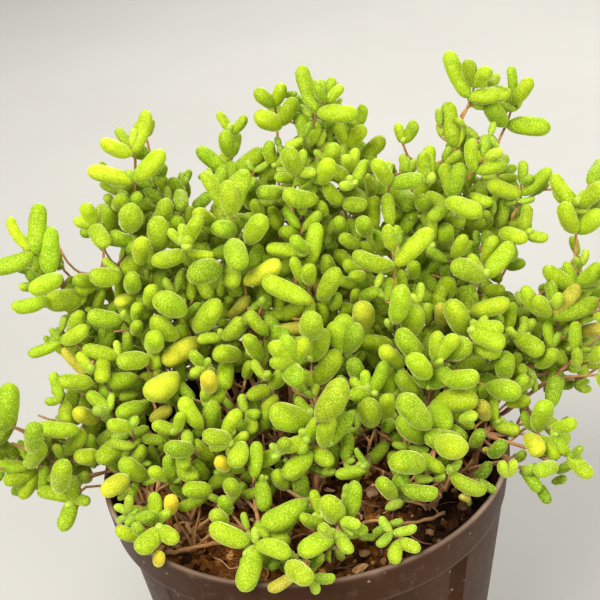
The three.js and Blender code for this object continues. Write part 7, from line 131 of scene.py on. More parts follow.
     [[66,-30,1700,71,-115,1825,196,0],[-2,-88,1648,-65,-146,1757,162,0],[-2,-88,1648,-71,-173,1708,145,0],[-2,-88,1648,-25,-130,1769,145,0],[-2,-88,1648,28,-104,1703,81,0],[-23,-84,1633,9,-220,1647,178,0],[-23,-84,1633,45,-111,1745,146,0],[163,70,1571,144,20,1714,181,0],[163,70,1571,217,1,1700,197,0],[58,29,1577,104,-17,1714,177,0],[58,29,1577,20,4,1683,129,0],[56,24,1486,144,-7,1622,195,0],[56,24,1486,17,-17,1564,114,0],[35,25,1440,28,52,1489,58,0],[207,32,1484,189,-33,1597,148,0],[210,112,1500,174,102,1538,67,0],[210,112,1500,239,94,1547,75,0],[237,-65,1477,225,-42,1559,97,0],[237,-65,1477,177,-36,1530,97,0],[237,-65,1477,296,-56,1592,137,0],[230,-62,1476,173,-148,1531,137,0],[134,40,1377,157,-2,1427,75,2],[134,40,1377,127,82,1427,75,2],[118,37,1323,240,77,1352,130,2],[118,37,1323,29,17,1404,130,2],[135,41,1382,128,38,1427,54,2],[135,41,1382,164,51,1416,54,2],[37,23,1234,71,88,1279,93,2],[37,23,1234,13,-19,1299,93,2],[39,23,1240,69,36,1279,61,2],[144,-65,1392,184,-105,1434,82,2],[144,-65,1392,115,-51,1461,82,2],[145,-67,1398,135,-66,1447,60,2],[145,-67,1398,166,-95,1433,60,2],[242,94,1271,308,75,1288,67,2],[242,94,1271,227,105,1335,67,2],[220,92,1226,285,180,1271,125,2],[244,94,1277,252,81,1316,51,2],[244,94,1277,266,115,1307,51,2],[143,77,1243,211,43,1260,85,2],[143,77,1243,113,85,1314,85,2],[129,88,1192,82,-20,1244,121,2],[144,75,1248,142,43,1282,55,2],[144,75,1248,162,78,1291,55,2],[64,135,1436,112,192,1488,89,2],[64,135,1436,25,81,1487,89,2],[65,135,1442,63,122,1492,62,2],[65,135,1442,89,159,1481,62,2],[-20,72,1343,-62,26,1377,66,2],[-20,72,1343,-7,102,1410,66,2],[-10,81,1304,38,15,1353,119,2],[-10,81,1304,-86,122,1367,119,2],[-21,70,1349,-38,70,1388,51,2],[-21,70,1349,-10,45,1382,51,2],[58,-19,1426,110,31,1458,90,1],[57,-5,1240,13,-60,1238,81,1],[163,-38,1452,140,-8,1529,99,1],[26,-17,1485,-17,21,1503,72,0],[26,-17,1485,-3,-31,1532,67,1],[49,-18,1460,66,10,1513,72,0],[49,-18,1460,19,-29,1495,66,1],[176,70,1497,117,71,1497,68,2],[176,70,1497,208,95,1523,60,1],[164,69,1576,164,25,1616,83,8],[164,69,1576,182,83,1633,94,8],[237,-68,1481,256,-105,1503,64,8],[237,-68,1481,226,-83,1526,67,8],[58,27,1582,55,-14,1619,76,8],[58,27,1582,62,38,1637,91,8]]),
    ([[76,30,[108,330,1100,108,362,1271,102,386,1426,106,396,1478,114,418,1526,122,468,1546,125,478,1556,127,476,1572,133,451,1632,138,454,1662,140,461,1674,143,475,1681,146,506,1681,154,670,1645,156,696,1648,157,694,1665,157,675,1689,156,582,1778,156,564,1801,158,572,1812,165,675,1807,169,709,1820,174,777,1831,174,804,1848,173,806,1860,172,789,1881,165,646,1981,164,628,2001,165,636,2010,166,673,2020,172,687,2050,184,726,2067,206,766,2113,210,764,2123,222,700,2182,230,692,2200,238,692,2215]],[42,30,[172,687,2050,179,754,2044,179,756,2049,176,744,2063,173,746,2068,132,799,2102]],[37,30,[176,744,2063,213,779,2105,247,807,2219]],[37,30,[166,673,2020,160,796,1994,156,826,1994,150,821,2008,144,797,2030,142,764,2060,149,732,2098,169,669,2178,176,622,2220,208,580,2279]],[37,30,[179,754,2044,165,780,2035,158,768,2041,133,682,2076]],[42,30,[164,628,2001,244,708,2021,253,724,2020,281,814,2000,290,816,2010,321,753,2105]],[37,30,[236,697,2020,221,753,2029]],[37,30,[262,751,2015,308,777,1987,333,788,1966]],[37,30,[164,628,2001,198,622,2038]],[37,30,[174,804,1848,123,730,1970]],[37,30,[173,757,1826,187,772,1830,194,772,1835,220,735,1871,297,692,1938]],[42,30,[156,582,1778,159,574,1752,162,576,1749,181,618,1762,188,647,1761,224,886,1696,230,887,1706,234,845,1734,238,717,1811]],[37,30,[206,767,1729,171,782,1753,134,792,1773,128,796,1783,138,822,1863,145,836,1928]],[37,30,[206,767,1729,248,746,1741,318,697,1751,329,691,1757,365,693,1812]],[28,30,[158,768,2041,146,741,2066,135,739,2080,122,642,2129]],[28,30,[213,779,2105,205,728,2124]],[32,30,[211,674,2013,248,628,2039]],[42,30,[157,675,1689,161,618,1728,169,463,1821]],[30,30,[195,762,2082,185,756,2114,182,766,2120,177,801,2124,174,801,2133,165,724,2178]],[27,30,[290,816,2010,297,780,2054,299,733,2084]],[34,30,[164,628,2001,111,605,2024,69,587,2036]],[26,30,[132,799,2102,103,833,2118,64,873,2124]],[26,30,[145,836,1928,220,819,1941,287,805,1942]],[26,30,[333,788,1966,293,848,2010]],[28,30,[228,725,2024,235,716,2054]],[27,30,[138,822,1863,141,746,1889]],[42,30,[131,456,1614,155,417,1652]],[32,28,[170,773,2152,171,811,2186]],[32,28,[143,785,2094,142,829,2101,141,895,2101]],[32,28,[143,785,2094,141,838,2100]],[32,28,[188,755,2105,177,788,2115]],[32,28,[293,848,2010,272,889,2037]],[32,28,[175,626,2014,193,584,2023]]],
     [[208,580,2279,186,551,2364,118,0],[208,580,2279,246,619,2352,101,0],[208,580,2279,274,561,2336,110,0],[208,580,2279,207,618,2350,93,0],[177,571,2249,140,651,2398,152,0],[177,571,2249,313,501,2251,169,0],[321,753,2105,353,753,2193,115,0],[321,753,2105,294,731,2162,89,0],[284,734,2038,345,679,2133,151,0],[284,734,2038,244,715,2151,142,0],[133,682,2076,122,743,2190,123,0],[133,682,2076,183,720,2157,114,0],[132,799,2102,108,767,2183,116,0],[333,788,1966,420,747,2056,154,0],[333,788,1966,304,780,2049,109,0],[198,622,2038,224,538,2133,157,0],[198,622,2038,156,631,2086,78,0],[145,836,1928,200,911,1945,101,2],[145,836,1928,108,842,2016,101,2],[137,796,1878,76,914,1897,172,2],[137,796,1878,224,764,1968,172,2],[122,739,1803,5,666,1930,172,2],[122,739,1803,245,847,1776,172,2],[145,840,1932,167,886,1954,65,2],[145,840,1932,128,867,1977,65,2],[247,807,2219,216,857,2253,92,2],[234,779,2173,182,742,2306,130,2],[212,751,2112,144,848,2116,149,2],[248,810,2224,243,843,2258,58,2],[248,810,2224,271,812,2266,58,2],[297,692,1938,318,770,1974,85,2],[297,692,1938,278,676,2020,85,2],[297,695,1943,282,702,1990,59,2],[297,695,1943,308,733,1972,59,2],[365,693,1812,399,751,1817,99,2],[365,693,1812,386,675,1877,99,2],[327,661,1765,271,745,1853,149,2],[368,695,1817,411,700,1845,62,2],[368,695,1817,373,719,1862,62,2],[238,717,1811,267,773,1790,77,2],[238,717,1811,244,725,1877,77,2],[241,722,1814,252,744,1852,54,2],[241,722,1814,261,762,1817,54,2],[221,753,2029,228,827,2024,82,2],[221,753,2029,220,755,2101,82,2],[221,758,2033,223,773,2074,52,2],[221,758,2033,225,799,2045,52,2],[123,730,1970,181,782,1980,89,2],[123,730,1970,77,767,2018,89,2],[123,734,1974,101,764,2011,62,2],[123,734,1974,146,772,2001,62,2],[238,692,2215,270,746,2211,66,2],[238,692,2215,252,684,2279,66,2],[212,668,2179,174,740,2238,111,2],[241,695,2219,276,704,2241,50,2],[241,695,2219,245,722,2251,50,2],[159,533,1858,100,596,1854,99,1],[150,492,1765,203,528,1748,76,1],[150,492,1765,68,412,1808,140,1],[124,429,1584,76,399,1647,96,1],[153,748,2094,139,814,1983,148,1],[142,654,1962,85,664,1899,98,1],[142,654,1962,183,664,2040,101,1],[242,638,1930,292,643,1809,149,1],[255,648,1786,229,713,1677,149,1],[122,642,2129,53,632,2109,87,0],[122,642,2129,157,644,2188,82,1],[205,728,2124,171,699,2069,86,0],[205,728,2124,228,744,2184,75,1],[248,628,2039,266,693,2070,85,0],[248,628,2039,221,584,2006,78,1],[169,463,1821,197,488,1870,71,0],[169,463,1821,161,415,1812,65,1],[165,724,2178,124,757,2214,72,0],[165,724,2178,166,713,2236,58,1],[299,733,2084,283,761,2136,73,0],[299,733,2084,344,717,2112,65,1],[69,587,2036,12,591,2043,71,0],[64,873,2124,6,919,2198,125,2],[64,873,2124,28,943,2081,114,1],[287,805,1942,291,829,2051,125,2],[287,805,1942,274,806,1840,116,1],[293,848,2010,198,878,2022,125,2],[293,848,2010,308,923,2049,109,1],[235,716,2054,143,745,2048,125,2],[235,716,2054,297,705,2003,113,1],[141,746,1889,220,754,1813,125,2],[141,746,1889,77,776,1948,106,1],[155,417,1652,88,408,1733,125,2],[155,417,1652,221,430,1600,101,1],[171,811,2186,88,866,2209,135,2],[171,811,2186,232,863,2218,122,1],[141,895,2101,101,945,2175,135,2],[141,895,2101,168,949,2046,122,1],[141,838,2100,220,890,2163,135,2],[177,788,2115,285,828,2121,135,2],[272,889,2037,181,951,2062,135,2],[193,584,2023,304,621,2018,135,2],[193,584,2023,93,574,2028,122,1],[209,579,2284,205,584,2318,53,8],[209,579,2284,229,562,2317,60,8],[133,682,2081,140,715,2116,77,8],[133,682,2081,134,663,2130,80,8],[336,788,1970,360,756,1999,80,8],[336,788,1970,368,807,2002,67,8]]),
    ([[79,30,[27,252,1100,25,294,1336,33,307,1417,27,333,1508,29,327,1540,27,298,1590,43,382,1792,44,390,1805,45,404,1814,46,430,1817,50,546,1807,51,557,1816,52,521,1875,53,533,1883,56,596,1880,56,606,1888,57,584,1911,60,474,1995,62,468,2009,65,474,2017,76,509,2030,80,504,2041,86,441,2084]],[40,30,[56,606,1888,59,616,1895,62,613,1908,69,574,1958,79,545,2015]],[37,30,[64,600,1925,31,482,2005]],[37,30,[51,547,1835,76,718,1779,88,773,1765,100,794,1767,111,782,1783,121,731,1817,146,454,1972]],[42,30,[48,513,1808,66,550,1803,76,558,1815,81,570,1818,103,766,1764,107,774,1769,111,744,1792,119,564,1900]],[37,30,[66,550,1803,37,750,1757,26,756,1762,-7,626,1836,-18,605,1849,-28,611,1850,-37,623,1848,-45,606,1860,-53,552,1888]],[37,30,[98,722,1775,164,507,1888]],[37,30,[45,404,1814,50,425,1817,62,504,1804,67,518,1810,72,491,1835,76,437,1873]],[37,30,[45,404,1814,51,416,1820,64,467,1817,71,479,1823,76,461,1842,82,417,1874]],[40,30,[41,376,1779,34,405,1788,31,430,1787,27,469,1779,16,654,1722,12,691,1715,9,703,1720,5,680,1741,-2,519,1837]],[37,30,[20,594,1741,38,620,1744,47,622,1751,56,613,1764,73,524,1821]],[42,30,[30,316,1637,61,415,1663,100,533,1684,105,574,1691,106,586,1697,109,595,1712,115,609,1750]],[37,30,[27,298,1590,10,306,1592,-1,323,1603,-49,448,1702]],[37,30,[91,505,1680,73,565,1647]],[37,30,[61,415,1663,109,457,1684]],[37,30,[27,333,1508,2,404,1527,-25,511,1541]],[28,30,[4,669,1813,4,821,1761,4,894,1745,4,893,1753,4,867,1773,4,795,1813,4,505,1955]],[27,30,[-27,394,1658,-62,420,1675]],[26,30,[115,609,1750,195,597,1785]],[40,30,[38,358,1734,47,381,1776]],[42,30,[30,316,1637,43,330,1661]],[31,30,[76,461,1672,44,476,1742]],[32,28,[112,602,1731,137,550,1740]],[32,28,[10,380,1521,41,379,1574]],[32,28,[19,357,1515,-16,345,1521]]],
     [[86,441,2084,60,377,2201,169,0],[86,441,2084,146,388,2099,101,0],[86,441,2084,116,479,2154,84,0],[79,545,2015,6,502,2053,112,0],[79,545,2015,68,529,2061,69,0],[31,482,2005,-55,390,2052,153,0],[146,454,1972,30,388,2039,170,0],[76,437,1873,26,478,1950,103,0],[-2,519,1837,-24,563,1919,105,0],[-53,552,1888,-81,522,1967,113,0],[73,524,1821,8,421,1877,157,0],[119,564,1900,101,540,1995,122,0],[119,564,1900,158,513,1972,122,0],[164,507,1888,149,450,1962,121,0],[82,417,1874,147,396,1948,120,0],[115,609,1750,102,682,1795,92,2],[115,609,1750,142,585,1820,92,2],[106,587,1693,22,605,1780,145,2],[106,587,1693,215,626,1744,145,2],[115,612,1756,140,633,1794,60,2],[115,612,1756,96,626,1800,60,2],[-49,448,1702,-104,467,1725,84,2],[-49,448,1702,-23,467,1752,84,2],[-51,450,1707,-44,471,1747,54,2],[-51,450,1707,-82,466,1735,54,2],[109,457,1684,147,511,1705,77,2],[109,457,1684,94,421,1742,77,2],[110,459,1690,110,456,1737,56,2],[110,459,1690,126,491,1720,56,2],[73,565,1647,40,642,1657,81,2],[73,565,1647,83,531,1724,81,2],[73,567,1653,77,565,1703,61,2],[73,567,1653,66,605,1686,61,2],[-25,511,1541,-11,583,1548,97,2],[-25,511,1541,-39,512,1611,97,2],[-25,515,1545,-31,528,1594,61,2],[-25,515,1545,-14,560,1567,61,2],[68,452,2036,134,514,2044,104,1],[35,344,1701,53,435,1695,106,1],[65,486,1986,155,509,1986,106,1],[90,433,1929,84,512,1946,93,1],[-26,389,1654,18,506,1645,143,1],[-53,552,1888,-35,558,1822,87,1],[4,505,1955,-55,510,1962,71,0],[4,505,1955,48,513,1960,57,1],[-62,420,1675,-158,431,1618,135,2],[-62,420,1675,-66,484,1740,114,1],[195,597,1785,155,678,1839,125,2],[195,597,1785,173,549,1714,109,1],[47,381,1776,-46,357,1748,125,2],[47,381,1776,114,370,1718,114,1],[43,330,1661,91,338,1746,125,2],[44,476,1742,-64,497,1739,125,2],[44,476,1742,100,498,1825,103,1],[137,550,1740,182,557,1835,135,2],[137,550,1740,110,548,1655,122,1],[41,379,1574,142,365,1616,135,2],[41,379,1574,42,417,1660,122,1],[-16,345,1521,40,394,1594,135,2],[-16,345,1521,37,369,1454,122,1],[87,440,2088,78,433,2128,57,8],[87,440,2088,105,421,2113,57,8],[120,561,1904,133,554,1942,59,8],[120,561,1904,112,521,1928,74,8]]),
    ([[74,30,[-57,85,1100,-72,97,1221,-84,119,1314,-91,149,1408,-101,162,1446,-122,188,1501,-129,201,1547,-130,213,1554,-132,236,1553,-135,305,1540,-137,321,1544,-137,311,1563,-136,235,1644,-137,232,1658,-137,240,1666,-140,291,1676,-141,294,1686,-141,277,1720,-142,275,1745,-142,269,1760,-142,251,1782]],[37,30,[-137,311,1563,-90,242,1689]],[44,30,[-129,201,1547,-155,189,1569,-164,191,1572,-174,205,1569,-206,309,1524,-215,295,1536,-233,139,1639]],[37,30,[-155,189,1569,-233,223,1603]],[40,30,[-129,201,1547,-119,190,1563,-115,198,1563,-101,282,1530,-95,257,1550,-80,126,1638]],[37,30,[-115,198,1563,-110,293,1528,-106,304,1531,-92,184,1626]],[40,30,[-125,191,1513,-152,391,1533]],[37,30,[-129,224,1517,-122,230,1523,-116,243,1524,-96,329,1504,-89,325,1515,-66,255,1583]],[40,30,[-155,189,1569,-170,287,1500,-176,306,1483,-180,269,1498,-183,113,1576]],[37,30,[-176,306,1483,-194,260,1497,-227,129,1548]],[37,30,[-114,178,1479,-118,134,1513,-118,129,1522,-118,136,1524,-118,131,1530,-117,82,1565]],[37,30,[-101,162,1446,-130,231,1452,-155,306,1454]],[37,30,[-101,162,1446,-108,167,1493]],[35,30,[-137,311,1563,-141,291,1577,-153,373,1536,-154,199,1636]],[28,30,[-114,276,1626,-138,251,1669]],[26,30,[-66,255,1583,-60,274,1583,-52,352,1555,-38,280,1614]],[32,28,[-142,269,1760,-118,334,1791]],[32,28,[-116,274,1632,-75,271,1650]],[32,28,[-185,289,1486,-228,277,1496]],[32,28,[-118,183,1490,-103,209,1503]],[32,28,[-194,260,1497,-206,221,1506,-218,182,1508]]],
     [[-142,251,1782,-11,209,1866,183,3],[-80,126,1638,-140,134,1731,124,0],[-233,223,1603,-173,176,1681,126,0],[-90,242,1689,-86,212,1736,75,0],[-117,82,1565,-151,45,1689,148,0],[-108,167,1493,-92,186,1561,84,0],[-183,113,1576,-256,17,1650,174,0],[-227,129,1548,-246,5,1519,149,0],[-233,139,1639,-320,114,1657,107,0],[-233,139,1639,-162,90,1731,140,0],[-233,139,1639,-242,130,1681,58,0],[-92,184,1626,-6,105,1636,133,0],[-66,255,1583,76,256,1588,136,4],[-152,391,1533,-167,446,1570,73,2],[-152,391,1533,-192,348,1584,73,2],[-154,393,1538,-177,389,1573,50,2],[-154,393,1538,-164,423,1565,50,2],[-155,306,1454,-123,366,1471,83,2],[-155,306,1454,-182,300,1523,83,2],[-155,309,1459,-164,318,1504,56,2],[-155,309,1459,-143,347,1483,56,2],[-88,132,1353,-89,220,1350,101,1],[-181,168,1595,-265,147,1564,105,1],[-105,159,1593,-161,101,1586,92,1],[-142,316,1526,-33,383,1507,148,1],[-154,199,1636,-199,180,1601,73,2],[-154,199,1636,-144,206,1683,60,1],[-138,251,1669,-92,279,1691,70,0],[-138,251,1669,-174,225,1642,59,1],[-38,280,1614,68,306,1642,139,2],[-38,280,1614,-29,352,1673,116,1],[-118,334,1791,-73,402,1845,135,2],[-75,271,1650,-87,349,1725,135,2],[-75,271,1650,-48,226,1573,122,1],[-228,277,1496,-204,331,1573,135,2],[-228,277,1496,-198,273,1419,122,1],[-103,209,1503,-59,255,1603,135,2],[-103,209,1503,-75,302,1476,122,1],[-218,182,1508,-128,211,1543,135,2],[-218,182,1508,-256,255,1484,122,1]]),
    ([[76,30,[148,109,1100,168,151,1239,172,164,1256,181,244,1257,183,250,1284,184,263,1293,190,337,1280,194,359,1281,196,349,1303,198,281,1375,199,260,1403,201,252,1421,212,262,1482,234,285,1568,237,294,1574,248,344,1582,251,341,1596,254,298,1642]],[37,30,[228,277,1548,241,355,1593]],[40,30,[205,254,1448,150,345,1434,127,392,1443,109,439,1467,108,449,1476,126,476,1523]],[40,30,[212,262,1482,246,204,1582]],[37,30,[223,243,1516,182,174,1564]],[37,30,[205,254,1448,220,357,1392,232,411,1365,242,413,1369,271,275,1468,279,259,1481,288,253,1489,316,249,1503]],[37,30,[169,314,1438,138,331,1456,134,335,1463,140,349,1511]],[44,30,[186,296,1289,212,307,1309,219,314,1311,226,332,1306,255,496,1225,264,538,1206,271,541,1212,284,356,1361,290,309,1405]],[40,30,[226,332,1306,155,368,1329,151,370,1336,164,365,1391]],[37,30,[186,296,1289,189,353,1267,190,386,1259,189,376,1279,181,220,1416]],[37,30,[172,359,1324,72,312,1334,63,310,1338,57,316,1386]],[37,30,[226,332,1306,321,220,1341]],[37,30,[160,135,1186,57,190,1217,51,194,1223,54,195,1235,68,197,1264]],[37,30,[165,144,1218,179,173,1230,192,214,1237,193,220,1251,192,208,1299]],[26,30,[254,298,1642,275,327,1640,281,322,1647,298,282,1678,311,270,1690]],[32,28,[210,259,1471,206,284,1485]]],
     [[254,298,1642,318,246,1693,120,0],[241,355,1593,243,313,1672,112,0],[241,355,1593,295,328,1625,86,0],[246,204,1582,247,121,1714,200,3],[182,174,1564,178,85,1693,206,0],[316,249,1503,298,242,1562,77,0],[140,349,1511,206,361,1560,83,2],[140,349,1511,78,380,1569,83,2],[132,335,1460,153,444,1492,139,2],[132,335,1460,133,255,1529,139,2],[141,350,1517,143,338,1564,58,2],[141,350,1517,154,379,1554,58,2],[126,476,1523,198,508,1558,80,2],[126,476,1523,73,501,1575,80,2],[105,450,1473,143,551,1454,145,2],[128,477,1529,141,469,1576,59,2],[128,477,1529,149,510,1560,59,2],[68,197,1264,117,172,1296,77,2],[68,197,1264,70,231,1312,77,2],[47,195,1220,135,254,1219,109,2],[47,195,1220,9,142,1307,109,2],[71,197,1269,78,188,1310,50,2],[71,197,1269,101,213,1295,50,2],[321,220,1341,384,240,1370,87,2],[321,220,1341,306,205,1405,87,2],[323,220,1346,321,216,1391,54,2],[323,220,1346,356,231,1376,54,2],[192,208,1299,238,235,1347,81,2],[192,208,1299,146,183,1348,81,2],[192,199,1245,141,289,1293,135,2],[192,199,1245,241,137,1319,135,2],[192,209,1305,201,194,1349,56,2],[192,209,1305,186,232,1345,56,2],[181,220,1416,241,229,1466,85,2],[181,220,1416,136,207,1482,85,2],[181,220,1422,161,217,1469,61,2],[181,220,1422,206,227,1466,61,2],[57,316,1386,7,337,1422,74,2],[57,316,1386,100,325,1432,74,2],[59,294,1342,43,194,1423,134,2],[59,294,1342,45,426,1347,134,2],[56,319,1391,45,355,1414,53,2],[56,319,1391,50,322,1435,53,2],[290,309,1405,346,352,1428,67,2],[290,309,1405,280,283,1467,67,2],[263,304,1363,221,378,1464,110,2],[294,309,1410,329,298,1431,51,2],[294,309,1410,307,324,1448,51,2],[164,365,1391,131,415,1447,77,2],[146,352,1344,221,446,1355,139,2],[167,367,1397,175,366,1442,55,2],[167,367,1397,192,398,1421,55,2],[239,286,1589,181,210,1662,137,1],[197,239,1407,257,285,1402,87,1],[167,149,1236,145,105,1328,120,1],[227,237,1527,222,158,1541,92,1],[245,254,1469,304,238,1387,117,1],[114,306,1346,84,242,1284,107,1],[316,249,1503,352,253,1454,76,1],[311,270,1690,337,302,1732,74,0],[311,270,1690,331,224,1678,65,1],[206,284,1485,299,305,1494,135,2],[206,284,1485,127,306,1484,122,1]]),
    ([[74,30,[551,-128,1100,578,-138,1255,590,-138,1288,602,-132,1305,620,-109,1309,660,-26,1285,674,0,1280,686,11,1283,696,3,1294,714,-26,1331,726,-27,1340,742,-10,1338,801,98,1292,816,109,1294,844,72,1344,881,83,1362,905,52,1408,917,59,1412,948,104,1400,961,116,1401,1001,124,1430,1011,117,1445,1020,91,1474,1024,41,1520,1018,-87,1627,1018,-130,1666,1023,-158,1696]],[37,30,[881,83,1362,896,91,1357,909,86,1359,936,27,1395,975,-32,1429,998,-101,1472,1018,-199,1544]],[52,30,[610,-123,1309,606,-134,1311,616,-147,1309,714,-207,1296,752,-220,1285,811,-233,1280,838,-258,1281,847,-273,1285,855,-308,1300]],[37,30,[674,-185,1303,710,-130,1286,744,-90,1280,773,-72,1280,795,-85,1285,806,-141,1314,808,-233,1373]],[42,30,[733,-215,1291,761,-260,1284,802,-311,1278]],[37,30,[610,-123,1309,620,-76,1320,659,-63,1343,691,-67,1376]],[40,30,[761,-260,1284,771,-254,1274,782,-242,1268,806,-217,1266,812,-229,1266,814,-260,1266]],[42,30,[608,-137,1311,638,-131,1298,670,-115,1285,743,-57,1280,769,-84,1286,782,-173,1305]],[40,30,[706,-84,1280,725,-60,1280,772,20,1280,787,21,1280,789,-38,1285,784,-134,1299]],[37,30,[607,-129,1310,678,-108,1283,699,-115,1285,718,-142,1301,734,-180,1324]],[37,30,[772,20,1280,784,56,1280,788,47,1280,778,-100,1280]],[37,30,[814,-260,1266,839,-139,1266,804,-244,1266]]],
     [[691,-67,1376,761,-122,1418,123,0],[734,-180,1324,750,-300,1325,153,3],[778,-100,1280,741,-103,1361,98,0],[784,-134,1299,801,-182,1443,178,0],[808,-233,1373,867,-300,1437,136,0],[808,-233,1373,853,-278,1291,104,0],[782,-173,1305,818,-275,1282,137,0],[855,-308,1300,881,-333,1357,86,0],[846,-293,1307,902,-381,1271,134,0],[802,-311,1278,723,-402,1331,142,0],[814,-260,1215,859,-292,1264,96,6],[804,-244,1165,842,-282,1203,88,6],[1023,-158,1696,1077,-126,1726,86,2],[1023,-158,1696,1033,-214,1735,86,2],[988,-152,1653,1108,-161,1633,127,2],[1027,-160,1700,1058,-151,1735,57,2],[1027,-160,1700,1050,-192,1726,57,2],[1018,-199,1544,1070,-226,1515,78,2],[1018,-199,1544,1050,-197,1606,78,2],[977,-183,1524,1088,-117,1555,148,2],[977,-183,1524,987,-308,1564,148,2],[1023,-201,1546,1047,-237,1566,57,2],[1023,-201,1546,1069,-201,1559,57,2],[828,-143,1272,834,-104,1164,131,1],[810,-238,1374,842,-257,1380,61,8],[810,-238,1374,812,-280,1378,60,8]]),
    ([[66,30,[380,-283,1100,445,-255,1224,455,-247,1242,462,-235,1244,469,-211,1238,489,-140,1209,495,-124,1209,498,-138,1231,500,-226,1329,503,-232,1344,513,-231,1366]],[49,30,[455,-247,1242,540,-353,1290]],[37,30,[498,-300,1266,468,-335,1299,439,-349,1333]],[37,30,[498,-300,1266,503,-362,1264,506,-393,1245]],[42,30,[477,-273,1254,456,-311,1294,441,-326,1292]],[37,30,[477,-273,1254,539,-282,1238]],[40,30,[441,-326,1292,420,-325,1280,429,-343,1271,435,-353,1273,450,-366,1336]],[37,30,[420,-325,1280,333,-336,1236]],[32,30,[420,-325,1280,400,-346,1310]]],
     [[439,-349,1333,360,-319,1389,108,0],[513,-231,1366,390,-306,1442,190,0],[450,-366,1336,490,-345,1374,69,0],[450,-366,1336,447,-389,1376,62,0],[450,-366,1336,552,-431,1298,139,0],[539,-282,1238,589,-305,1316,111,6],[540,-353,1290,593,-375,1251,78,6],[441,-326,1292,367,-285,1368,109,0],[457,-313,1297,455,-337,1346,70,0],[333,-336,1236,281,-395,1366,170,6],[506,-393,1245,472,-411,1280,62,4],[485,-240,1308,423,-153,1364,139,1],[400,-346,1310,336,-343,1315,76,0],[400,-346,1310,436,-367,1335,66,1]]),
    ([[84,30,[538,128,1100,615,170,1263,635,182,1279,660,219,1280,706,331,1280,725,360,1280,731,351,1280,733,326,1286,735,297,1303,740,280,1322,748,285,1328,790,387,1294,801,405,1294,809,399,1307,817,313,1388,823,297,1407,830,293,1419,839,297,1427,850,308,1429,864,330,1426,909,424,1400,919,427,1408,927,355,1478,932,341,1496,939,337,1507,1004,357,1568,1027,369,1602,1043,399,1687,1049,413,1749,1052,411,1784,1057,394,1858]],[37,30,[964,343,1531,1027,359,1547,1037,361,1556,1039,362,1613,1035,344,1593,1033,333,1590,1031,303,1666]],[44,30,[909,424,1400,920,423,1399,928,414,1402,947,360,1428,954,348,1433,964,344,1433,976,351,1427,1005,387,1402,1017,394,1396,1024,379,1402,1022,250,1472,1029,197,1499,1039,191,1507,1055,207,1516,1103,292,1517,1119,308,1531,1119,270,1576,1108,194,1642]],[37,30,[934,397,1410,956,315,1499,972,271,1556]],[37,30,[990,368,1415,1013,212,1456]],[40,30,[864,330,1426,883,440,1406,883,445,1414,874,413,1465,877,406,1481,893,406,1497,917,413,1512,988,445,1549]],[37,30,[879,417,1408,875,435,1404,867,439,1409,830,351,1481,822,325,1505,822,305,1526,830,277,1564]],[37,30,[990,368,1415,955,263,1443,948,245,1453,926,209,1522,901,186,1552,903,160,1585,902,130,1612]],[37,30,[864,330,1426,935,322,1432,961,350,1453]],[47,30,[801,405,1294,817,406,1283,826,403,1281,862,381,1284,899,357,1297,973,310,1328,1019,288,1373]],[42,30,[826,403,1281,857,344,1306,889,254,1366,895,245,1373,911,247,1375,917,238,1383,916,163,1432]],[40,30,[875,296,1336,850,248,1416,811,197,1491]],[37,30,[862,381,1284,896,290,1368]],[37,30,[832,222,1456,801,199,1473,746,156,1523]],[37,30,[899,357,1297,920,294,1267,946,221,1266,965,209,1266,994,209,1266]],[40,30,[761,313,1320,771,381,1301,773,389,1300,773,396,1311,774,403,1312,786,445,1299,802,472,1297,818,484,1307,840,472,1349,849,471,1366,859,476,1379]],[37,30,[725,360,1280,842,321,1266,891,315,1266,922,317,1270]],[37,30,[766,350,1311,725,336,1342,722,333,1351,752,324,1394]],[37,30,[735,297,1303,775,238,1341,806,204,1387]],[37,30,[635,182,1279,694,204,1266,794,240,1266]],[26,30,[1057,394,1858,1080,440,1866,1084,439,1875,1086,406,1916,1091,399,1935]],[27,30,[1049,413,1749,1069,425,1773,1084,417,1804,1101,416,1829]],[31,30,[1024,379,1402,995,170,1518]],[27,30,[1049,413,1749,1049,429,1771,1048,430,1780,1036,413,1831]],[26,30,[746,156,1523,745,188,1525,743,196,1530,728,147,1571]],[26,30,[972,271,1556,1036,286,1582]],[28,30,[911,247,1375,922,238,1387,935,240,1391,946,232,1401,955,189,1432]],[26,30,[830,277,1564,815,226,1577]],[26,30,[896,290,1368,926,348,1398]],[26,30,[859,476,1379,974,476,1423,1098,476,1450]],[26,30,[922,317,1270,996,318,1313,1060,318,1341]],[40,30,[939,337,1507,990,319,1523]],[26,30,[988,445,1549,1031,492,1566,1066,553,1557,1072,559,1560,1081,555,1572,1093,560,1579]],[27,30,[953,211,1266,957,235,1266,952,219,1266]],[32,28,[955,263,1443,952,257,1463]],[32,28,[1075,424,1783,1121,489,1791]],[32,28,[1080,420,1794,1133,467,1765,1186,514,1724]],[32,28,[1049,423,1764,1026,476,1773]],[32,28,[1036,476,1439,1031,420,1461]],[32,28,[811,197,1491,801,240,1528]],[32,28,[1103,292,1517,1105,278,1472]],[32,28,[1014,318,1322,1028,346,1330]],[32,28,[670,242,1280,640,258,1323]],[32,28,[994,209,1266,1027,214,1267,1092,225,1295]],[32,28,[994,209,1266,1016,196,1271,1027,189,1281]],[32,28,[704,208,1266,712,217,1277]]],
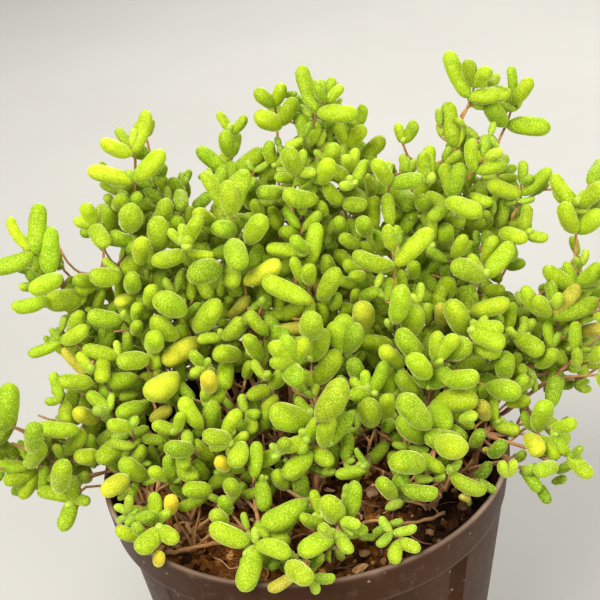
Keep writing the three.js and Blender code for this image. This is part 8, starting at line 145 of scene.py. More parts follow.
     [[1057,394,1858,973,453,1966,145,0],[1057,394,1858,1123,341,1957,162,0],[1040,379,1766,986,332,1906,180,0],[1040,379,1766,1115,319,1862,171,0],[1031,303,1666,1062,314,1728,85,0],[1031,303,1666,1014,289,1715,68,0],[1023,295,1600,901,274,1694,154,0],[1023,295,1600,1091,236,1704,171,0],[1023,295,1600,983,306,1691,111,0],[902,130,1612,906,175,1696,91,0],[902,130,1612,912,99,1682,99,0],[884,130,1583,798,137,1703,150,0],[884,130,1583,1061,145,1614,166,0],[884,130,1583,835,89,1685,133,0],[884,130,1583,999,173,1666,141,4],[746,156,1523,776,190,1620,118,0],[811,197,1491,807,176,1564,94,0],[811,197,1491,839,162,1555,102,0],[916,163,1432,924,81,1406,111,0],[1013,212,1456,1084,136,1505,146,4],[994,209,1239,1058,227,1199,91,2],[994,209,1239,1043,229,1298,91,2],[1000,211,1240,1047,204,1254,59,2],[1000,211,1240,1036,244,1239,59,2],[922,317,1270,949,370,1221,91,2],[922,317,1270,981,303,1335,91,2],[870,289,1263,891,387,1392,156,2],[870,289,1263,1008,266,1201,156,2],[928,320,1271,982,333,1262,67,2],[928,320,1271,960,354,1302,67,2],[859,476,1379,938,508,1351,88,2],[822,429,1358,810,534,1296,157,2],[822,429,1358,921,415,1431,157,2],[769,378,1337,716,428,1461,154,2],[769,378,1337,871,389,1257,154,2],[988,445,1549,1058,441,1523,96,2],[940,415,1528,965,516,1455,160,2],[940,415,1528,1000,354,1631,160,2],[994,447,1550,1049,455,1546,67,2],[994,447,1550,1026,481,1582,67,2],[1108,194,1642,1179,234,1674,97,2],[1108,194,1642,1100,182,1742,97,2],[1072,175,1585,1190,107,1639,169,2],[1112,195,1646,1161,216,1664,66,2],[1112,195,1646,1128,202,1699,66,2],[961,350,1453,999,396,1428,83,2],[961,350,1453,971,380,1511,83,2],[964,354,1455,1005,370,1474,57,2],[964,354,1455,974,399,1467,57,2],[794,240,1239,862,210,1263,83,2],[794,240,1239,806,288,1291,83,2],[755,228,1201,836,316,1166,149,2],[755,228,1201,733,179,1302,149,2],[799,242,1242,824,241,1285,59,2],[799,242,1242,838,268,1254,59,2],[752,324,1394,811,319,1381,72,2],[752,324,1394,754,354,1455,72,2],[712,310,1363,746,227,1441,113,2],[757,326,1397,788,322,1427,52,2],[757,326,1397,789,354,1406,52,2],[806,204,1387,869,173,1374,81,2],[806,204,1387,818,212,1459,81,2],[770,213,1354,844,296,1376,117,2],[770,213,1354,772,134,1437,117,2],[810,202,1392,823,177,1425,53,2],[810,202,1392,846,207,1416,53,2],[896,290,1368,957,323,1396,96,2],[896,290,1368,900,252,1427,96,2],[900,289,1373,915,269,1416,60,2],[900,289,1373,943,298,1397,60,2],[972,271,1556,969,225,1600,80,2],[947,279,1519,928,312,1622,114,2],[947,279,1519,1037,218,1527,114,2],[975,270,1561,1007,253,1585,52,2],[975,270,1561,981,273,1604,52,2],[830,277,1564,902,249,1572,91,2],[835,278,1567,863,303,1601,61,2],[835,278,1567,882,266,1582,61,2],[1019,288,1373,1098,292,1355,82,2],[1019,288,1373,1042,287,1443,82,2],[967,286,1340,1036,179,1361,143,2],[1024,289,1375,1065,268,1392,58,2],[1024,289,1375,1065,311,1390,58,2],[1022,365,1592,1136,368,1561,135,1],[816,282,1412,843,241,1472,89,1],[672,202,1304,683,290,1272,108,1],[983,202,1506,983,129,1417,131,1],[822,297,1508,755,230,1473,116,1],[812,284,1350,825,341,1257,126,1],[877,205,1395,1003,188,1415,148,1],[848,215,1426,889,271,1480,101,1],[917,238,1283,883,149,1256,113,1],[810,256,1290,876,253,1334,91,1],[746,156,1523,705,119,1486,73,1],[1091,399,1935,1181,513,1969,167,2],[1101,416,1829,1164,430,1858,88,2],[995,170,1518,1060,179,1537,82,0],[995,170,1518,944,141,1507,75,1],[1036,413,1831,1085,370,1848,75,0],[1036,413,1831,998,450,1803,63,1],[728,147,1571,705,127,1623,73,0],[1036,286,1582,1098,286,1584,71,0],[955,189,1432,952,183,1492,70,2],[955,189,1432,972,207,1383,63,1],[815,226,1577,800,253,1626,70,2],[815,226,1577,833,236,1536,61,1],[926,348,1398,1028,369,1408,125,2],[926,348,1398,895,427,1421,107,1],[1098,476,1450,1195,439,1482,125,2],[1060,318,1341,1163,326,1361,125,2],[990,319,1523,968,383,1605,125,2],[990,319,1523,965,293,1438,114,1],[1093,560,1579,1074,540,1476,125,2],[1093,560,1579,1070,553,1664,102,1],[952,219,1256,914,285,1322,125,2],[952,257,1463,870,270,1533,135,2],[952,257,1463,1008,228,1530,122,1],[1121,489,1791,1032,475,1843,135,2],[1186,514,1724,1149,588,1801,135,2],[1026,476,1773,1135,492,1787,135,2],[1031,420,1461,1106,414,1534,135,2],[1031,420,1461,962,426,1404,122,1],[801,240,1528,699,237,1578,135,2],[801,240,1528,860,317,1527,122,1],[1105,278,1472,1023,320,1485,135,2],[1028,346,1330,923,362,1363,135,2],[1028,346,1330,1110,322,1290,122,1],[640,258,1323,636,296,1431,135,2],[640,258,1323,557,305,1345,122,1],[1092,225,1295,1013,277,1329,135,2],[1027,189,1281,1001,209,1373,135,2],[712,217,1277,812,220,1329,135,2],[712,217,1277,683,286,1336,122,1],[1057,394,1863,1071,407,1913,76,8],[1057,394,1863,1043,371,1902,74,8],[902,129,1617,917,122,1649,56,8],[902,129,1617,889,120,1649,50,8],[811,194,1496,800,162,1519,62,8],[811,194,1496,818,196,1531,54,8]]),
    ([[76,30,[-234,154,1100,-294,202,1312,-311,219,1355,-321,237,1395,-351,289,1544,-358,313,1556,-375,410,1554,-383,439,1564,-385,437,1578,-385,418,1601,-385,342,1679,-386,337,1693,-393,345,1726]],[37,30,[-383,439,1564,-402,445,1572,-432,380,1628,-443,385,1630,-466,429,1617,-475,418,1629,-479,287,1708]],[44,30,[-371,389,1553,-373,403,1560,-374,403,1578,-372,383,1603,-366,309,1656,-355,188,1730]],[37,30,[-383,439,1564,-355,420,1622,-336,358,1679]],[37,30,[-358,313,1556,-452,387,1577,-464,392,1588,-489,391,1623]],[42,30,[-373,403,1560,-364,417,1539,-366,417,1528,-370,408,1527,-378,369,1543,-389,179,1637]],[40,30,[-364,417,1539,-362,430,1530,-352,393,1546,-326,202,1643]],[40,30,[-341,272,1500,-365,365,1527,-375,435,1532]],[37,30,[-352,393,1546,-355,459,1502,-352,452,1499,-345,400,1521,-319,197,1613]],[37,30,[-357,333,1519,-273,389,1554,-284,412,1584]],[37,30,[-341,272,1500,-388,279,1555]],[37,30,[-328,249,1430,-318,283,1443,-307,336,1454,-298,357,1473,-292,376,1483]],[37,30,[-321,237,1395,-334,199,1456]],[37,30,[-321,237,1395,-339,302,1402,-346,332,1399]],[42,30,[-334,261,1465,-321,247,1497]],[32,28,[-454,408,1623,-450,414,1679]],[32,28,[-362,428,1606,-354,449,1624]]],
     [[-326,202,1644,-233,144,1777,218,0],[-355,188,1730,-428,99,1841,233,0],[-479,287,1708,-453,235,1819,143,0],[-393,345,1726,-420,344,1789,85,0],[-393,345,1726,-360,379,1791,85,0],[-336,358,1679,-332,407,1770,112,0],[-389,179,1637,-456,134,1753,167,0],[-388,279,1555,-378,206,1664,152,0],[-319,197,1613,-445,107,1587,184,3],[-346,332,1399,-422,325,1410,71,2],[-346,332,1399,-330,353,1469,71,2],[-350,332,1404,-356,340,1446,52,2],[-350,332,1404,-387,326,1426,52,2],[-489,391,1623,-562,361,1642,93,2],[-489,391,1623,-494,448,1679,93,2],[-451,381,1578,-421,340,1708,138,2],[-451,381,1578,-566,457,1542,138,2],[-493,392,1627,-534,408,1649,59,2],[-493,392,1627,-505,389,1675,59,2],[-375,435,1532,-433,486,1527,80,2],[-375,435,1532,-387,428,1616,80,2],[-379,437,1535,-408,439,1575,58,2],[-379,437,1535,-418,467,1543,58,2],[-292,376,1483,-362,379,1518,76,2],[-292,376,1483,-258,385,1549,76,2],[-294,376,1489,-288,373,1535,56,2],[-294,376,1489,-327,376,1521,56,2],[-334,199,1456,-346,252,1514,86,2],[-339,199,1460,-363,217,1502,61,2],[-339,199,1460,-380,180,1482,61,2],[-284,412,1584,-295,489,1589,79,2],[-284,412,1584,-306,391,1656,79,2],[-269,388,1552,-371,405,1576,129,2],[-269,388,1552,-201,445,1633,129,2],[-286,416,1589,-280,441,1623,51,2],[-286,416,1589,-316,435,1612,51,2],[-380,327,1670,-375,416,1702,108,1],[-272,185,1244,-325,287,1261,133,1],[-415,304,1663,-522,254,1582,164,1],[-358,231,1683,-300,216,1741,94,1],[-406,340,1573,-449,343,1501,96,1],[-364,359,1526,-383,369,1611,101,1],[-323,355,1535,-287,286,1625,136,1],[-311,307,1455,-237,287,1533,125,1],[-388,279,1555,-396,323,1498,84,1],[-321,247,1497,-319,306,1573,125,2],[-321,247,1497,-293,177,1483,112,1],[-450,414,1679,-442,448,1769,135,2],[-354,449,1624,-261,467,1636,135,2],[-354,449,1624,-398,510,1654,122,1]]),
    ([[71,30,[175,462,1100,161,545,1256,152,607,1358,130,831,1672,130,861,1704,134,894,1716,144,946,1751]],[37,30,[132,797,1626,216,812,1668,238,822,1676,260,841,1685,274,854,1704,287,864,1732,309,871,1782,325,887,1818]],[40,30,[139,713,1510,355,769,1590,364,775,1596,379,822,1632]],[37,30,[204,730,1536,239,799,1555,247,844,1590]],[37,30,[139,713,1510,92,792,1520,81,849,1544]],[37,30,[146,648,1419,233,717,1436,253,751,1430,275,803,1414,284,810,1416,295,797,1446,297,800,1461,300,811,1472]],[37,30,[152,607,1358,169,766,1373,176,830,1404]],[40,30,[158,568,1296,228,588,1309,275,621,1307,287,625,1309,331,622,1330,388,639,1344,399,647,1349,408,663,1360,447,756,1422]],[37,30,[193,577,1303,211,698,1282,224,765,1290]],[32,28,[325,887,1818,387,900,1927]]],
     [[447,756,1422,518,765,1458,88,2],[424,703,1386,417,694,1543,140,2],[424,703,1386,491,789,1300,140,2],[399,643,1347,554,615,1416,180,2],[399,643,1347,287,777,1349,180,2],[449,761,1425,445,813,1439,64,2],[449,761,1425,483,789,1456,64,2],[325,887,1818,311,962,1857,104,2],[325,887,1818,373,890,1876,104,2],[300,857,1767,254,837,1900,159,2],[300,857,1767,414,944,1774,159,2],[258,818,1690,356,715,1775,168,2],[258,818,1690,211,965,1732,168,2],[328,890,1823,340,929,1861,67,2],[328,890,1823,366,887,1864,67,2],[176,830,1404,151,894,1400,87,2],[176,830,1404,217,853,1461,87,2],[170,777,1375,86,791,1450,141,2],[170,777,1375,240,851,1341,141,2],[176,835,1408,191,878,1420,56,2],[176,835,1408,159,862,1442,56,2],[247,844,1590,296,909,1596,80,2],[247,844,1590,223,859,1665,80,2],[240,799,1553,165,894,1552,131,2],[240,799,1553,308,793,1638,131,2],[248,849,1594,266,871,1632,57,2],[248,849,1594,239,893,1607,57,2],[379,822,1632,336,878,1652,92,2],[379,822,1632,434,845,1680,92,2],[365,771,1594,442,878,1536,148,2],[380,827,1635,399,871,1642,58,2],[380,827,1635,377,854,1675,58,2],[144,946,1751,161,1018,1739,91,2],[144,946,1751,152,959,1829,91,2],[134,892,1713,10,995,1738,173,2],[145,951,1754,176,987,1786,67,2],[145,951,1754,128,1000,1778,67,2],[224,765,1290,217,837,1246,92,2],[224,765,1290,259,803,1357,92,2],[212,709,1280,111,797,1327,148,2],[225,771,1290,255,815,1284,64,2],[225,771,1290,213,821,1307,64,2],[300,811,1472,265,853,1514,73,2],[290,760,1449,268,864,1415,121,2],[301,816,1475,318,841,1511,56,2],[301,816,1475,300,862,1480,56,2],[81,849,1544,108,943,1515,87,2],[91,791,1519,-6,866,1479,141,2],[91,791,1519,180,826,1602,141,2],[81,855,1547,99,891,1585,66,2],[81,855,1547,59,904,1559,66,2],[130,842,1686,72,785,1781,142,1],[137,733,1538,84,683,1640,143,1],[144,669,1448,240,630,1501,133,1],[210,810,1666,256,712,1596,147,1],[294,753,1569,388,759,1490,139,1],[214,733,1540,298,627,1579,161,1],[246,725,1440,264,743,1348,109,1],[164,718,1369,215,767,1321,97,1],[265,598,1318,308,697,1375,140,1],[204,653,1290,288,730,1343,144,1],[297,573,1228,242,479,1183,135,1],[245,544,1247,223,555,1367,141,1],[387,900,1927,306,940,2004,135,2]]),
    ([[83,30,[336,320,1100,397,380,1218,443,425,1296,498,479,1376,639,621,1567,703,684,1677,797,758,1815,836,786,1892,844,792,1922,851,794,1970,891,810,2041,901,809,2073,909,797,2111]],[52,30,[849,793,1957,744,756,2001,721,746,2019,710,740,2036,704,731,2072,707,729,2101,740,740,2160,755,725,2220]],[37,30,[781,746,1790,803,684,1899]],[51,30,[736,753,2006,714,751,1984,706,746,1979,668,685,1974,661,672,1977,661,664,1990,666,654,2023]],[50,30,[661,672,1977,639,655,1979,615,619,1988]],[49,30,[639,655,1979,608,695,1956,595,690,1957,568,667,1966,556,667,1967,529,717,1958,520,726,1962,510,718,1974,498,698,1995,488,677,2025,479,663,2061]],[40,30,[538,698,1961,521,711,1942,497,752,1912,488,758,1907,456,729,1913,446,725,1913,427,727,1908]],[44,30,[568,667,1966,555,580,1947,547,522,1944]],[40,30,[555,580,1947,600,731,1859,611,746,1845,618,728,1846,630,585,1889,637,552,1903,648,532,1920,661,522,1938,687,513,1964,722,509,2000,741,488,2041]],[47,30,[692,674,1658,632,700,1778,628,707,1785,625,722,1790,619,760,1794,614,763,1804,608,745,1838,612,741,1871]],[37,30,[513,723,1931,422,599,1922]],[37,30,[621,687,1857,620,498,1898]],[37,30,[662,686,1719,685,678,1764,703,683,1822]],[37,30,[632,700,1778,464,785,1778,458,791,1782,459,799,1792,469,817,1819]],[37,30,[555,580,1947,546,598,1895,541,582,1889,525,499,1890,518,472,1880]],[42,30,[647,692,1749,589,595,1790]],[40,30,[608,627,1776,447,573,1788,467,594,1818]],[37,30,[508,592,1782,438,671,1725]],[37,30,[620,601,1538,597,615,1597,593,628,1603,589,685,1600,590,701,1606,597,690,1627,616,630,1689]],[28,30,[740,740,2160,778,757,2176,816,722,2210]],[26,30,[803,684,1899,811,613,1909]],[26,30,[909,797,2111,917,808,2097,922,796,2087]],[30,30,[707,729,2101,708,655,2100]],[26,30,[666,654,2023,708,723,2007,718,715,2013,740,655,2046,765,616,2068,783,598,2077]],[30,30,[707,729,2101,703,732,2109,714,740,2123,739,751,2139,744,752,2140,751,744,2139]],[26,30,[666,654,2023,660,697,2028,657,713,2032,652,718,2041,638,705,2066,616,673,2106]],[26,30,[666,654,2023,655,688,2027,650,692,2031,620,673,2063]],[27,30,[447,573,1788,473,504,1841]],[41,30,[728,705,1713,778,681,1730,818,662,1736]],[27,30,[690,679,1774,692,685,1788,699,714,1798,700,713,1805,698,688,1837]],[26,30,[467,594,1818,483,575,1869]],[26,30,[803,684,1899,813,667,1930]],[26,30,[467,594,1818,493,558,1837]],[42,30,[601,581,1510,617,611,1520]],[32,28,[427,727,1908,369,707,1935]],[32,28,[905,805,2091,880,833,2104,842,875,2114]],[32,28,[891,810,2041,882,841,2059]],[32,28,[846,792,1933,808,788,1942,750,780,1948]],[32,28,[811,613,1909,803,616,1968]],[32,28,[786,736,1808,761,703,1816]],[32,28,[818,662,1736,861,687,1767,904,712,1788]],[32,28,[476,584,1848,494,624,1862,512,664,1869]],[32,28,[615,638,1772,621,643,1798]],[32,28,[818,662,1736,850,690,1756,883,718,1769]]],
     [[479,663,2061,462,655,2143,105,0],[479,663,2061,525,644,2147,123,0],[488,634,1959,483,717,1993,106,0],[488,634,1959,527,695,1976,88,0],[547,522,1944,537,555,2066,138,0],[547,522,1944,567,590,2071,130,0],[666,654,2023,660,735,2174,167,0],[666,654,2023,714,688,2089,79,0],[620,498,1898,660,492,2030,155,0],[620,498,1898,606,558,2010,130,0],[615,619,1988,674,574,2034,114,0],[615,619,1988,641,608,2048,88,0],[755,725,2220,730,688,2335,149,0],[755,725,2220,799,658,2304,149,0],[730,714,2185,674,798,2341,158,0],[730,714,2185,881,687,2199,167,0],[909,797,2111,918,863,2235,98,0],[909,797,2111,971,767,2214,152,0],[877,776,2040,806,717,2163,179,0],[877,776,2040,1035,733,2026,179,0],[741,488,2041,757,527,2114,93,0],[741,488,2041,801,452,2074,102,0],[706,479,1996,703,498,2117,136,0],[706,479,1996,817,465,2018,128,0],[803,684,1899,896,680,1909,107,0],[422,599,1922,474,453,1905,184,0],[518,472,1880,501,397,1961,138,0],[469,817,1819,451,878,1863,77,2],[469,817,1819,532,815,1863,77,2],[454,790,1779,444,765,1894,140,2],[454,790,1779,529,896,1780,140,2],[470,821,1824,493,859,1839,56,2],[470,821,1824,470,839,1867,56,2],[612,741,1871,564,782,1899,74,2],[612,741,1871,669,764,1914,74,2],[601,709,1839,605,686,1963,129,2],[601,709,1839,649,826,1805,129,2],[614,745,1876,631,784,1892,55,2],[614,745,1876,624,754,1919,55,2],[589,595,1790,655,648,1809,86,2],[589,595,1790,596,569,1869,86,2],[592,596,1795,599,595,1846,61,2],[592,596,1795,628,622,1821,61,2],[438,671,1725,433,662,1801,83,2],[441,673,1730,447,671,1774,52,2],[441,673,1730,473,693,1753,52,2],[616,630,1689,674,598,1715,85,2],[616,630,1689,633,684,1734,85,2],[620,632,1694,636,632,1740,59,2],[620,632,1694,657,658,1711,59,2],[467,594,1818,467,594,1878,81,2],[442,570,1786,393,671,1821,120,2],[470,597,1822,506,606,1848,53,2],[470,597,1822,474,630,1852,53,2],[427,727,1908,456,792,1906,76,2],[430,730,1912,448,733,1956,57,2],[430,730,1912,453,767,1931,57,2],[703,683,1822,762,664,1868,80,2],[703,683,1822,676,728,1877,80,2],[689,675,1774,746,765,1807,114,2],[689,675,1774,649,615,1862,114,2],[704,684,1828,706,677,1870,50,2],[704,684,1828,721,709,1857,50,2],[833,784,1878,894,866,1878,117,1],[787,750,1797,764,823,1825,93,1],[728,705,1715,812,793,1692,141,1],[638,620,1562,722,695,1535,132,1],[593,572,1498,562,677,1483,126,1],[544,525,1438,528,523,1547,127,1],[823,790,1957,722,859,1922,145,1],[795,715,1847,802,605,1851,126,1],[703,719,1983,685,750,1885,119,1],[703,719,1983,722,678,2056,98,1],[483,679,1930,531,811,1920,162,1],[554,579,1956,505,605,1863,124,1],[515,758,1779,510,833,1716,112,1],[535,524,1921,617,490,1824,151,1],[623,653,1766,531,629,1696,134,1],[494,588,1783,510,473,1793,133,1],[470,636,1751,374,613,1763,113,1],[803,684,1899,753,692,1932,70,1],[816,722,2210,852,800,2232,107,0],[816,722,2210,869,674,2205,88,1],[811,613,1909,884,607,1900,86,0],[811,613,1909,749,608,1918,78,1],[922,796,2087,861,810,2112,79,2],[922,796,2087,940,799,2144,69,1],[708,655,2100,748,631,2055,76,2],[708,655,2100,677,646,2141,68,1],[783,598,2077,804,551,2045,76,2],[783,598,2077,806,627,2117,71,1],[751,744,2139,810,739,2130,73,0],[751,744,2139,745,772,2180,67,1],[616,673,2106,620,704,2164,72,0],[620,673,2063,619,701,2116,72,0],[473,504,1841,517,481,1882,71,2],[473,504,1841,470,457,1858,63,1],[818,662,1736,946,708,1716,178,2],[818,662,1736,860,557,1780,166,1],[698,688,1837,743,716,1934,129,2],[483,575,1869,377,585,1831,125,2],[483,575,1869,526,621,1810,106,1],[813,667,1930,723,703,1972,125,2],[813,667,1930,880,664,1885,113,1],[493,558,1837,393,531,1844,125,2],[493,558,1837,538,629,1818,108,1],[617,611,1520,536,591,1572,125,2],[617,611,1520,657,578,1454,102,1],[369,707,1935,362,789,1999,135,2],[369,707,1935,375,656,1863,122,1],[842,875,2114,816,918,2207,135,2],[882,841,2059,919,885,2143,135,2],[750,780,1948,654,808,1979,135,2],[803,616,1968,787,633,2069,135,2],[761,703,1816,828,784,1870,135,2],[904,712,1788,861,752,1877,135,2],[512,664,1869,621,630,1898,135,2],[512,664,1869,447,737,1852,122,1],[621,643,1798,594,684,1880,135,2],[621,643,1798,677,664,1853,122,1],[883,718,1769,789,745,1786,135,2],[883,718,1769,911,655,1721,122,1],[755,723,2224,771,726,2263,61,8],[755,723,2224,752,691,2259,67,8],[479,661,2066,477,637,2091,56,8],[479,661,2066,483,670,2108,61,8],[547,522,1949,558,505,2001,92,8],[547,522,1949,525,534,2002,96,8]]),
    ([[68,30,[-124,-38,1100,-169,-12,1223,-174,-4,1230,-178,11,1232,-189,57,1226,-194,67,1231,-198,61,1249,-204,23,1300,-212,7,1336,-251,25,1439,-255,32,1448,-260,47,1451,-280,170,1412,-286,190,1411,-294,131,1480,-303,150,1490,-305,137,1509,-304,36,1591]],[37,30,[-260,47,1451,-276,41,1488,-296,-16,1527]],[44,30,[-235,15,1395,-211,22,1424,-177,19,1470,-169,24,1477,-161,40,1478,-137,142,1442,-126,127,1456,-102,6,1538]],[37,30,[-211,22,1424,-211,119,1376,-209,166,1360,-203,152,1382,-190,89,1448,-185,83,1465,-173,106,1491]],[37,30,[-247,22,1429,-274,86,1398,-286,94,1397,-316,28,1454]],[37,30,[-185,19,1459,-177,113,1399,-167,156,1372,-154,137,1384,-126,69,1427,-77,43,1444]],[37,30,[-211,22,1424,-199,59,1385,-195,59,1381,-187,25,1395,-178,-30,1425,-177,-46,1438,-178,-54,1452]],[37,30,[-198,61,1249,-135,-64,1384]],[37,30,[-198,61,1249,-158,79,1319,-128,65,1402,-90,29,1486]],[26,30,[-316,28,1454,-328,40,1455,-350,19,1481]],[27,30,[-185,83,1465,-238,81,1513,-252,76,1526]],[36,30,[-247,22,1429,-226,2,1440]],[26,30,[-135,-64,1384,-130,-46,1387,-121,-59,1412]]],
     [[-178,-54,1452,-190,-37,1518,81,0],[-178,-54,1452,-139,-121,1486,106,0],[-176,-55,1440,-159,-143,1432,114,0],[-135,-64,1384,-106,-98,1482,122,0],[-77,43,1444,-117,-47,1451,124,0],[-90,29,1486,-168,-37,1503,123,0],[-90,29,1486,-31,-15,1589,140,0],[-102,6,1538,-141,39,1599,82,0],[-102,6,1538,-92,-34,1585,82,0],[-173,106,1491,-150,73,1572,108,0],[-304,36,1591,-336,6,1675,114,0],[-304,36,1591,-341,-32,1614,106,0],[-304,36,1591,-282,12,1638,73,0],[-296,-16,1527,-288,-83,1637,147,7],[-316,28,1454,-312,-10,1533,107,0],[-316,28,1454,-249,-22,1524,123,0],[-220,8,1357,-297,-13,1355,91,1],[-180,-10,1254,-179,-80,1277,84,1],[-163,-35,1339,-216,-46,1418,109,1],[-350,19,1481,-403,51,1539,100,2],[-350,19,1481,-404,-20,1494,80,1],[-252,76,1526,-301,93,1557,72,2],[-226,2,1440,-252,-13,1497,72,0],[-226,2,1440,-195,17,1397,63,1],[-121,-59,1412,-72,-73,1387,67,0],[-121,-59,1412,-158,-40,1430,62,1],[-315,25,1458,-314,-12,1484,66,8],[-315,25,1458,-306,21,1497,59,8]]),
    ([[78,30,[-393,254,1100,-436,299,1274,-518,359,1439,-529,377,1455,-547,420,1470,-552,426,1480,-578,415,1564,-593,427,1594,-599,437,1600,-606,456,1601,-647,623,1559,-656,652,1554,-661,664,1559,-665,662,1569,-668,637,1602,-665,521,1704,-666,494,1732,-670,484,1749,-689,486,1765,-729,492,1775,-748,500,1788,-770,515,1812,-788,535,1845,-800,556,1880]],[40,30,[-665,505,1719,-702,486,1735,-727,482,1740,-742,493,1736,-798,583,1695,-811,586,1694,-818,555,1710,-829,418,1778,-838,398,1788,-869,370,1803]],[40,30,[-665,559,1668,-718,580,1695,-785,601,1709,-807,619,1730,-811,628,1741]],[37,30,[-691,569,1683,-660,644,1748,-658,670,1773]],[37,30,[-798,583,1695,-824,600,1679,-832,583,1684,-842,519,1709,-849,497,1722,-857,492,1739,-875,498,1778,-895,497,1831]],[42,30,[-668,637,1602,-697,614,1627,-791,505,1722]],[37,30,[-751,550,1683,-796,510,1704,-804,503,1713,-818,487,1774,-836,483,1814,-846,490,1827,-865,518,1842,-867,516,1844,-832,440,1816,-864,493,1837,-876,501,1858,-874,463,1888,-859,355,1949]],[37,30,[-751,550,1683,-856,569,1604,-865,572,1604,-890,594,1654]],[42,30,[-661,664,1559,-666,667,1568,-669,659,1583,-670,568,1670,-658,406,1776]],[40,30,[-670,641,1602,-722,562,1646,-744,494,1690,-758,462,1716,-767,460,1724,-778,477,1723,-798,530,1715,-795,495,1744,-760,302,1862]],[37,30,[-695,599,1624,-715,617,1616,-726,634,1608,-734,634,1608,-708,398,1727]],[37,30,[-637,579,1570,-655,680,1548,-658,695,1556,-656,672,1583,-634,507,1696]],[40,30,[-606,456,1601,-754,467,1619]],[37,30,[-644,460,1607,-690,393,1666]],[37,30,[-588,421,1585,-615,491,1593,-627,529,1592,-658,669,1549,-660,641,1608,-661,635,1630]],[37,30,[-661,664,1559,-663,716,1534,-654,700,1543,-645,662,1562,-591,380,1703]],[27,30,[-875,498,1778,-895,423,1832]],[26,30,[-800,556,1880,-862,522,1903]],[28,30,[-671,620,1727,-587,556,1762]],[32,28,[-866,495,1759,-875,502,1780]],[32,28,[-603,442,1673,-593,379,1694]]],
     [[-859,355,1949,-918,413,2056,100,0],[-859,355,1949,-892,406,1991,83,0],[-848,353,1933,-811,434,2086,158,0],[-848,353,1933,-1025,341,1908,175,0],[-807,339,1850,-787,420,2001,185,0],[-869,370,1803,-883,354,1879,102,0],[-869,370,1803,-919,330,1826,93,0],[-760,302,1862,-855,196,1872,183,0],[-821,296,1788,-945,260,1788,142,0],[-708,398,1727,-839,316,1763,206,0],[-708,398,1727,-794,362,1705,112,0],[-791,505,1722,-770,509,1758,53,0],[-658,406,1776,-726,328,1830,146,0],[-658,406,1776,-728,331,1785,129,0],[-690,393,1666,-645,402,1745,104,0],[-895,497,1831,-941,554,1812,82,2],[-895,497,1831,-905,505,1897,82,2],[-867,457,1799,-800,562,1832,148,2],[-833,408,1760,-893,484,1680,161,2],[-898,502,1835,-923,540,1844,56,2],[-898,502,1835,-906,521,1877,56,2],[-890,594,1654,-903,669,1658,98,2],[-890,594,1654,-909,564,1718,98,2],[-864,559,1603,-780,597,1707,146,2],[-892,598,1658,-887,625,1704,64,2],[-892,598,1658,-931,624,1684,64,2],[-661,635,1630,-722,675,1646,96,2],[-661,635,1630,-616,677,1685,96,2],[-648,594,1594,-707,576,1713,165,2],[-648,594,1594,-643,696,1538,165,2],[-662,640,1634,-665,694,1645,65,2],[-662,640,1634,-675,663,1681,65,2],[-658,670,1773,-684,744,1779,78,2],[-661,673,1777,-686,672,1816,55,2],[-661,673,1777,-687,707,1794,55,2],[-634,507,1696,-703,524,1705,84,2],[-634,507,1696,-626,538,1763,84,2],[-637,510,1700,-642,531,1740,54,2],[-637,510,1700,-675,529,1717,54,2],[-800,556,1880,-868,554,1877,89,2],[-804,557,1884,-821,574,1929,61,2],[-804,557,1884,-852,555,1902,61,2],[-754,467,1619,-818,438,1630,75,2],[-754,467,1619,-781,519,1659,75,2],[-759,469,1622,-781,500,1650,57,2],[-759,469,1622,-800,463,1644,57,2],[-811,628,1741,-828,565,1778,84,2],[-811,628,1741,-843,671,1791,84,2],[-813,628,1747,-829,646,1784,52,2],[-813,628,1747,-826,607,1783,52,2],[-553,387,1523,-533,346,1597,99,1],[-516,355,1430,-484,393,1487,86,1],[-476,328,1351,-536,381,1338,92,1],[-824,397,1789,-888,445,1807,94,1],[-749,440,1766,-793,429,1693,98,1],[-723,488,1708,-730,564,1660,103,1],[-681,453,1618,-725,430,1548,98,1],[-627,527,1595,-738,542,1585,128,1],[-791,505,1722,-790,492,1683,51,1],[-690,393,1666,-728,346,1608,96,1],[-591,380,1703,-571,363,1809,121,2],[-591,380,1703,-560,326,1623,113,1],[-895,423,1832,-939,404,1875,70,2],[-862,522,1903,-879,480,1801,125,2],[-862,522,1903,-867,566,1991,104,1],[-587,556,1762,-531,581,1845,125,2],[-587,556,1762,-559,523,1685,116,1],[-875,502,1780,-945,533,1837,135,2],[-593,379,1694,-543,468,1753,135,2],[-593,379,1694,-644,436,1630,122,1],[-660,402,1778,-660,363,1789,66,8],[-660,402,1778,-690,387,1793,57,8],[-712,394,1728,-729,350,1727,77,8],[-712,394,1728,-755,374,1742,73,8],[-691,389,1669,-683,354,1679,55,8],[-691,389,1669,-714,369,1692,63,8]]),
